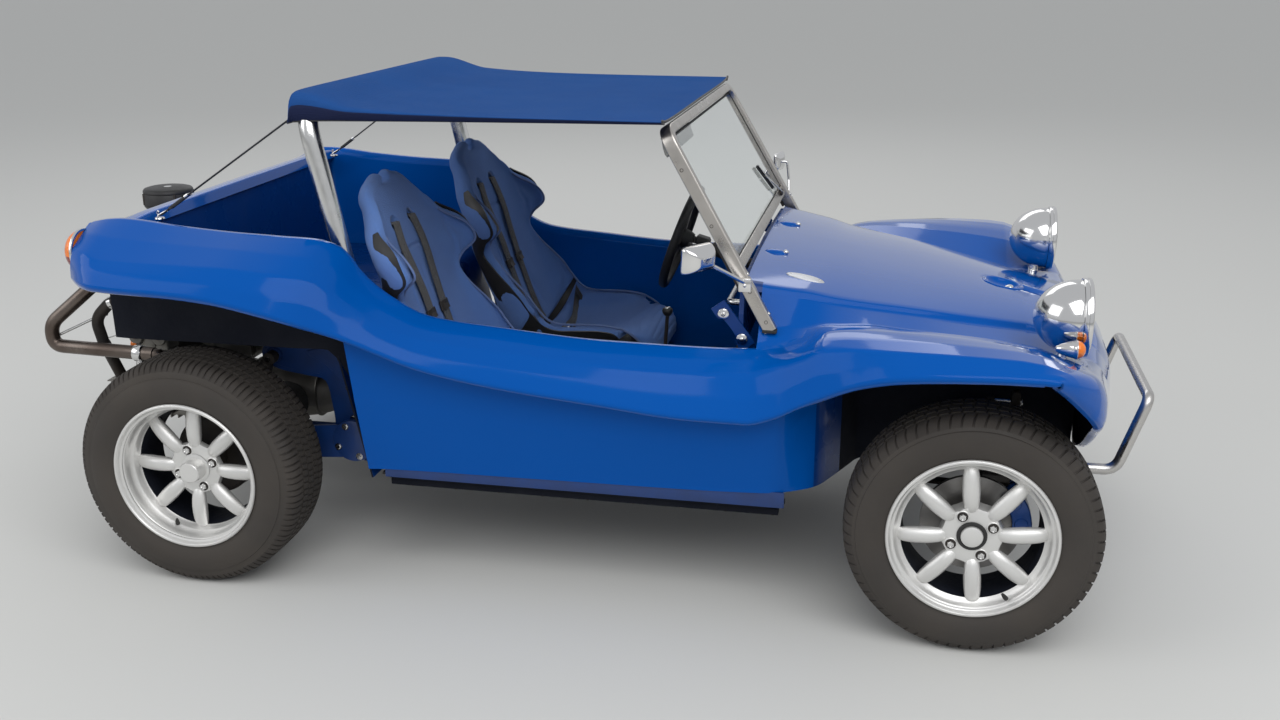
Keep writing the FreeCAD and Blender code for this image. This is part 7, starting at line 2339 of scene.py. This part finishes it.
def build_pan():
    groups = []
    half = [(-1642, 428), (-1622, 446), (-1560, 556), (-1548, 562), (-520, 562), (-484, 556), (-481, 545),
            (-481, 70)]
    ring = half + [(x, -y) for x, y in half[::-1]]
    groups.append((sheeted(in_steps(ring, 4), -15, -0.5, 2), UNDERSEAL_AND_SHADE))
    for side in (1, -1):
        for x0, x1, y0, y1, z0, z1, bevel, segments, mat in SILL_STRIPS:
            near, far = sorted((side * y0, side * y1))
            groups.append((box_between(at(x0, near, z0), at(x1, far, z1), bevel, segments), mat))
        for k in range(9):
            groups.extend(bolt(at(-1500 + 125 * k, side * 542, -33), (0, 0, -1), 0.0065, AGED))
        for k in range(7):
            x0, x1 = -1500 + 135 * k, -1395 + 135 * k
            line = rounded([at(x0, side * 150, -15.5), at(x0, side * 520, -15.5), at(x1, side * 520, -15.5),
                            at(x1, side * 150, -15.5)], [0.02, 0.02], arc=5, run=3)
            groups.append((tube(line, 0.0, 10, flat=(0.0065, 0.0035)), FRAME_BLUE))
    spine = rounded_box([(0.0, 0.0595, 0.0595), (0.004, 0.0615, 0.0618), (0.3, 0.0615, 0.0618),
                         (0.304, 0.0600, 0.0603), (0.312, 0.0600, 0.0603), (0.316, 0.0615, 0.0618),
                         (1.19, 0.0615, 0.0618), (1.196, 0.058, 0.058)], 0.5, 9)
    base = at(-1642, 0, 58)
    groups.append((shifted(spine, base), FRAME_BLUE))
    head = rounded_box([(0.0, 0.076, 0.029), (0.004, 0.079, 0.0305), (0.3, 0.079, 0.0305),
                        (0.52, 0.074, 0.0305), (0.534, 0.079, 0.031), (0.537, 0.079, 0.031)], 0.3, 6)
    base = at(-450, 0, 16)
    groups.append((shifted(head, base), FRAME_BLUE))
    for x in (-420, -330, -240, -150, -60, 30):
        groups.extend(bolt(at(x, 0, 47), (0, 0, 1), 0.006, AGED))
    made_of("floor_pan_pressing", groups, replaces=("floor_pan",), angle=40)


build_engine()
build_pan()
build_front_axle()
build_bumpers()


# ------------------------------------------------------------------ small fittings
def hood_height(x, y):
    line = hood_section(x)
    ys = [p[0] for p in line][::-1]
    zs = [p[1] for p in line][::-1]
    return float(np.interp(abs(y), ys, zs)) + 6.0


def on_hood(outline, lift, wall):
    """Thin plate that follows the hood, from (x, y) rings shrinking to its middle."""
    rings = [(1.0, -wall), (1.0, 0.0), (0.95, lift), (0.6, lift * 1.15), (0.25, lift * 1.2)]
    mid = np.mean(np.array(outline), axis=0)
    verts = []
    for k, up in rings:
        for p in outline:
            q = mid + (np.array(p) - mid) * k
            verts.append(at(q[0], q[1], hood_height(q[0], q[1]) + up))
    n = len(outline)
    return verts, bar_faces(len(rings), n)


def build_fittings():
    groups = []
    for side in (1, -1):
        cx, cy = -542, side * 190
        drop = []
        for k in range(32):
            a = 2 * math.pi * k / 32
            drop.append((cx + 30 * math.cos(a) - 8 * math.cos(2 * a) * 0.5, cy + 19 * math.sin(a)
                         * (1 - 0.28 * math.cos(a))))
        rings = [(1.0, -2), (1.0, 0.2), (0.86, 3.2), (0.62, 6.2), (0.35, 7.8), (0.1, 8.2)]
        verts = []
        for k, up in rings:
            for p in drop:
                q = (cx + (p[0] - cx) * k, cy + (p[1] - cy) * k)
                verts.append(at(q[0], q[1], hood_height(q[0], q[1]) + up))
        groups.append(((verts, bar_faces(len(rings), len(drop))), PAINT))
        tip = at(cx + 22, cy, hood_height(cx + 22, cy) + 4)
        groups.append((lathe([(-0.004, 0), (-0.004, 0.0055), (0.0, 0.0075), (0.005, 0.0065), (0.008, 0.0035),
                              (0.009, 0)], tip, "x", 20), CHROME))
    groups.append((on_hood([(-450 + 50 * math.cos(2 * math.pi * k / 48), -372 + 21 * math.sin(2 * math.pi * k
            / 48)) for k in range(48)], 2.4, 1.0), BADGE))
    for dx in (-38, 38):
        groups += screw(at(-450 + dx, -372, hood_height(-450 + dx, -372) + 2.3), (0.1, 0, 1), 0.0032, 0.0018,
                        0.4)

    bowl = []
    steps = [(1.2, -1.5), (1.19, 0.4), (1.15, 1.8), (1.09, 2.4), (1.03, 1.6), (0.98, -0.6), (0.93, -4.5),
             (0.82, -9.0), (0.66, -12.8), (0.45, -15.2), (0.2, -16.2), (0.02, -16.4)]
    for r, up in steps:
        for k in range(72):
            a = 2 * math.pi * k / 72
            x, y = 74 + 48 * r * math.cos(a), 46 * r * math.sin(a)
            bowl.append(at(x, y, hood_height(x, y) + up))
    n = len(steps) * 72
    under = [(x, y, z - 0.004) for x, y, z in bowl]
    faces = grid_faces(len(steps), 72, wrap=True) + [tuple(range(n - 72, n))]
    faces += [tuple(i + n for i in reversed(f)) for f in faces] + [(k, (k + 1) % 72, (k + 1) % 72 + n, k + n)
            for k in range(72)]
    groups.append(((bowl + under, faces), PAINT))
    cap = [(-0.004, 0), (-0.004, 0.013), (0.0, 0.014), (0.004, 0.0125), (0.008, 0.008), (0.009, 0)]
    tilt = Matrix.Translation(at(92, 0, hood_height(92, 0) - 11)) @ Matrix.Rotation(math.radians(-14), 4, "Y")
    groups.append((moved(lathe(cap, (0, 0, 0), "z", 32), tilt), CHROME))
    made_of("hood_fittings", groups, angle=45)

    groups = []
    for side in (-1, 1):
        ahead = np.array((84.0, -111.0))
        ahead /= np.linalg.norm(ahead)
        across = np.array((ahead[1], -ahead[0]))
        mid = np.array((-616.0, 468.0))
        outline = []
        for u, v in ((-68, -22), (-68, 20), (-38, 20), (-30, 8), (30, 8), (38, 20), (68, 20), (68, -22)):
            p = mid + ahead * u + across * v
            outline.append(p)
        groups.append((slabbed(in_steps(outline, 3), *sorted((side * 528, side * 534)), 1.2), PAINT_SHADED))
        for u in (-40, 40):
            p = mid + ahead * u
            groups.append((on_y([(518, 0), (518, 13.5), (521, 14.5), (526, 14.5), (528, 13), (528, 0)], p[0],
                                p[1], side, 28) if side > 0 else on_y([(534, 0), (534, 13.5), (536, 14.5),
                    (539, 14), (541, 10), (541.5, 0)], p[0], p[1], side, 28), CHROME))
            if side < 0:
                groups += screw(at(p[0], -541, p[1]), (0, -1, 0), 0.0062, 0.003, u)
    made_of("windshield_brackets", groups, angle=40)

    groups = []
    visor = []
    for v, d in ((548, -26), (541, -34), (520, -42), (500, -46), (494, -44), (496, -36), (520, -32),
                 (541, -24)):
        visor.append((v, d))
    verts = []
    ys = [-0.46] + [-0.452 + 0.344 * k / 24 for k in range(25)] + [-0.10]
    for i, y in enumerate(ys):
        k = 0.86 if i in (0, len(ys) - 1) else 1.0
        for v, d in visor:
            vm, dm = 521, -35
            verts.append(on_shield(dm + (d - dm) * k, y * 1000, vm + (v - vm) * k))
    n = len(visor)
    groups.append(((verts, bar_faces(len(ys), n)), VISOR))
    groups.append((tube([on_shield(-30, -470, 543), on_shield(-30, -95, 543)], 0.0032, 12), CHROME))
    for y in (-440, -130):
        groups.append((block(*[q for pair in zip(on_shield(-30, y - 8, 540), on_shield(-14, y + 8, 548))
                               for q in sorted(pair)], bevel=0.002), CHROME))
    made_of("sun_visor", groups, angle=40)

    groups = []
    pivot, mid, tip = on_shield(11, 440, 184), on_shield(12, 330, 262), on_shield(8, 300, 300)
    groups.append((lathe([(-0.006, 0), (-0.006, 0.011), (0.004, 0.0115), (0.008, 0.008), (0.009, 0)], pivot,
                         "x", 24), DARK))
    arm = [Vector(pivot) + Vector((0.006, 0, 0)), Vector(on_shield(14, 400, 214)), Vector(mid)]
    groups.append((tube(smooth_line(arm, count=10), 0.0, 12, flat=(0.0042, 0.0025)), POLISHED))
    blade = [on_shield(7, 372, 214), on_shield(7.5, 340, 256), on_shield(7, 306, 304)]
    groups.append((tube(smooth_line(blade, count=12), 0.0, 12, flat=(0.0022, 0.0045)), SEAL))
    groups.append((tube([tuple(Vector(p) + Vector((0.004, 0, 0.003))) for p in blade], 0.0, 12,
                        flat=(0.0034, 0.0018)), POLISHED))
    made_of("wiper", groups, angle=40)

    groups = []
    low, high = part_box("dashboard")
    face = low[0]
    for y, z, r in ((0.33, at(0, 0, 512)[2], 0.05), (0.225, at(0, 0, 520)[2], 0.027),
                    (0.435, at(0, 0, 520)[2], 0.027)):
        groups.append((lathe([(0.002, 0), (0.002, r * 1.06), (-0.004, r * 1.08), (-0.0085, r * 1.06),
                              (-0.010, r * 1.0), (-0.0085, r * 0.93), (-0.006, r * 0.92), (-0.006, 0)],
                             (face, y, z), "x", 56), CHROME))
        groups.append((lathe([(-0.0062, 0), (-0.0062, r * 0.925), (-0.0068, r * 0.925), (-0.0068, 0)],
                             (face, y, z), "x", 48), SEAL))
        ticks = 21 if r > 0.04 else 9
        for k in range(ticks):
            a = math.radians(-130 + 260 * k / (ticks - 1))
            ca, sa = math.sin(a), math.cos(a)
            inner = 0.72 if k % 5 == 0 else 0.79
            groups.append((tube([(face - 0.0070, y + r * inner * ca, z + r * inner * sa), (face - 0.0070,
                    y + r * 0.87 * ca, z + r * 0.87 * sa)], r * 0.013, 6), BADGE))
        a = math.radians(-118)
        groups.append((tube([(face - 0.0078, y - 0.1 * r * math.sin(a), z - 0.1 * r * math.cos(a)),
                             (face - 0.0078, y + 0.68 * r * math.sin(a), z + 0.68 * r * math.cos(a))],
                            [r * 0.028, r * 0.012], 8), AMBER))
        groups.append((lathe([(-0.0066, 0), (-0.0066, r * 0.11), (-0.0095, r * 0.09), (-0.0098, 0)],
                             (face, y, z), "x", 20), PLASTIC))
    for k, y in enumerate((0.10, 0.05, 0.0, -0.05)):
        groups.append((lathe([(0.002, 0), (0.002, 0.0105), (-0.003, 0.0105), (-0.0045, 0.008), (-0.0045, 0)],
                             (face, y, at(0, 0, 505)[2]), "x", 24), CHROME))
        groups.append((tube([(face - 0.004, y, at(0, 0, 505)[2]), (face - 0.018, y, at(0, 0, 505)[2]
                + (0.006 if k % 2 else -0.006))], [0.0024, 0.0038], 12), CHROME))
    bar = rounded([(face - 0.002, -0.42, at(0, 0, 500)[2]), (face - 0.04, -0.42, at(0, 0, 500)[2]),
                   (face - 0.04, -0.2, at(0, 0, 500)[2]), (face - 0.002, -0.2, at(0, 0, 500)[2])],
                  [0.016, 0.016], arc=6)
    groups.append((tube(bar, 0.008, 18), POLISHED))
    made_of("dash_fittings", groups, angle=40)

    groups = []
    x0, x1, y0, y1 = -1240, -700, 90, 545
    ribs = 46
    z0 = at(0, 0, 2.0)[2]
    for side in (1, -1):
        verts = []
        for i in range(ribs * 4 + 1):
            x = at(x0 + (x1 - x0) * i / (ribs * 4), 0, 0)[0]
            up = (0.004, 0.0065, 0.0065, 0.004)[i % 4]
            verts += [(x, side * y / 1000, z0 + up) for y in (y0, y1)]
        n = len(verts)
        verts += [(x, y, z0 - 0.0005) for x, y, z in verts]
        rows = n // 2
        faces = grid_faces(rows, 2) + flipped(grid_faces(rows, 2, offset=n))
        for i in range(rows - 1):
            for j in (0, 1):
                a, b = 2 * i + j, 2 * (i + 1) + j
                faces.append((a, b, b + n, a + n))
        faces.append((0, 1, 1 + n, n))
        faces.append((n - 2, n - 1, 2 * n - 1, 2 * n - 2))
        groups.append(((verts, faces), MAT))
    made_of("floor_mats", groups, angle=25)


build_fittings()


# ------------------------------------------------------------------ plain looks for nodes that stay
KEEP = {
    "floor_pan": FRAME_BLUE, "dashboard": PAINT_SHADED, "windshield_frame": POLISHED, "windshield_glass": PANE,
    "roll_hoop": POLISHED, "soft_top": CANVAS, "soft_top_straps": WEBBING, "steering_column": DARK,
    "steering_wheel": GRIP, "gear_lever": PLASTIC, "handbrake_lever": PLASTIC, "pedals": DARK,
    "headlights": CHROME, "headlight_lenses": LENS, "front_turn_signals": CHROME, "tail_lamps": RED,
    "mirrors": CHROME, "front_bumper": CHROME, "rear_bumper": AGED, "engine": CAST, "exhaust": DARK,
    "air_cleaner": PLASTIC, "transaxle": CAST, "rear_axle_tubes": DARK, "rear_torsion_housing": FRAME_BLUE,
    "spring_plates": FRAME_BLUE, "shock_absorbers": DARK, "front_axle_beam": DARK, "trailing_arms": DARK,
    "track_rod": DARK, "knuckle_left": DARK, "knuckle_right": DARK,
    "driver_seat_shell": PLASTIC, "passenger_seat_shell": PLASTIC, "driver_seat_cushion": FABRIC,
    "passenger_seat_cushion": FABRIC, "driver_seat_back": FABRIC, "passenger_seat_back": FABRIC,
}
for side in ("left", "right"):
    KEEP[f"brake_disc_front_{side}"] = IRON
    for end in ("front", "rear"):
        KEEP[f"tyre_{end}_{side}"] = TREAD
        KEEP[f"rim_{end}_{side}"] = SILVER
for node, mat in KEEP.items():
    mesh = NODES[node].data
    mesh.materials.clear()
    mesh.materials.append(mat)


# ------------------------------------------------------------------ stage, light and camera
FLOOR_HALF = 150.0
FLOOR_DROP = -0.0005    # keeps the floor just under the tyres
SKY_COLOR, SKY_STRENGTH = (0.92, 0.94, 0.97, 1), 0.62


def stage_and_lights():
    pale = bpy.data.materials.new("stage_pale")
    pale.use_nodes = True
    surface = pale.node_tree.nodes["Principled BSDF"]
    surface.inputs["Base Color"].default_value = (0.62, 0.62, 0.6, 1)
    surface.inputs["Roughness"].default_value = 0.9
    rows = [[(x, y, FLOOR_DROP) for y in np.linspace(-FLOOR_HALF, FLOOR_HALF, 13).tolist()]
            for x in (-FLOOR_HALF, FLOOR_HALF)]
    verts, faces = grid_sheet(rows)
    mesh = bpy.data.meshes.new("stage_floor")
    mesh.from_pydata(verts, [], faces)
    mesh.update()
    floor = bpy.data.objects.new("stage_floor", mesh)
    bpy.context.collection.objects.link(floor)
    mesh.materials.append(pale)
    mesh.polygons.foreach_set("use_smooth", [True] * len(mesh.polygons))

    def area(name, place, target, size, power, color=(1, 1, 1)):
        light = bpy.data.lights.new(name, "AREA")
        light.shape = "RECTANGLE"
        light.size, light.size_y = size
        light.energy = power
        light.color = color
        obj = bpy.data.objects.new(name, light)
        bpy.context.collection.objects.link(obj)
        obj.location = place
        obj.rotation_euler = (Vector(target) - Vector(place)).to_track_quat("-Z", "Y").to_euler()

    area("key", (2.4, -4.6, 5.6), (0, 0, 0.5), (7.0, 5.0), 300)
    area("fill", (-5.6, -3.6, 4.0), (0, 0, 0.6), (5.0, 4.0), 95)
    area("back", (-1.5, 6.5, 5.5), (0, 0, 0.7), (6.0, 3.0), 70)
    world = bpy.data.worlds.new("studio")
    bpy.context.scene.world = world
    world.use_nodes = True
    back = world.node_tree.nodes["Background"]
    back.inputs["Color"].default_value = SKY_COLOR
    back.inputs["Strength"].default_value = SKY_STRENGTH


CAMERA = (0.881, -3.670, 1.691)
CAMERA_YAW, CAMERA_PITCH, CAMERA_ROLL = -11.75, 17.79, -0.20     # degrees
CAMERA_LENS, SENSOR_WIDTH = 36.49, 36.0     # mm


def camera():
    data = bpy.data.cameras.new("view")
    data.lens = CAMERA_LENS
    data.sensor_width = SENSOR_WIDTH
    obj = bpy.data.objects.new("view", data)
    bpy.context.collection.objects.link(obj)
    yaw, pitch = math.radians(CAMERA_YAW), math.radians(CAMERA_PITCH)
    ahead = Vector((math.sin(yaw) * math.cos(pitch), math.cos(yaw) * math.cos(pitch), -math.sin(pitch)))
    turn = ahead.to_track_quat("-Z", "Y")
    turn = turn @ Matrix.Rotation(math.radians(CAMERA_ROLL), 3, "Z").to_quaternion()
    obj.rotation_mode = "QUATERNION"
    obj.rotation_quaternion = turn
    obj.location = CAMERA
    bpy.context.scene.camera = obj


stage_and_lights()
camera()
bpy.context.scene.view_settings.view_transform = "Standard"
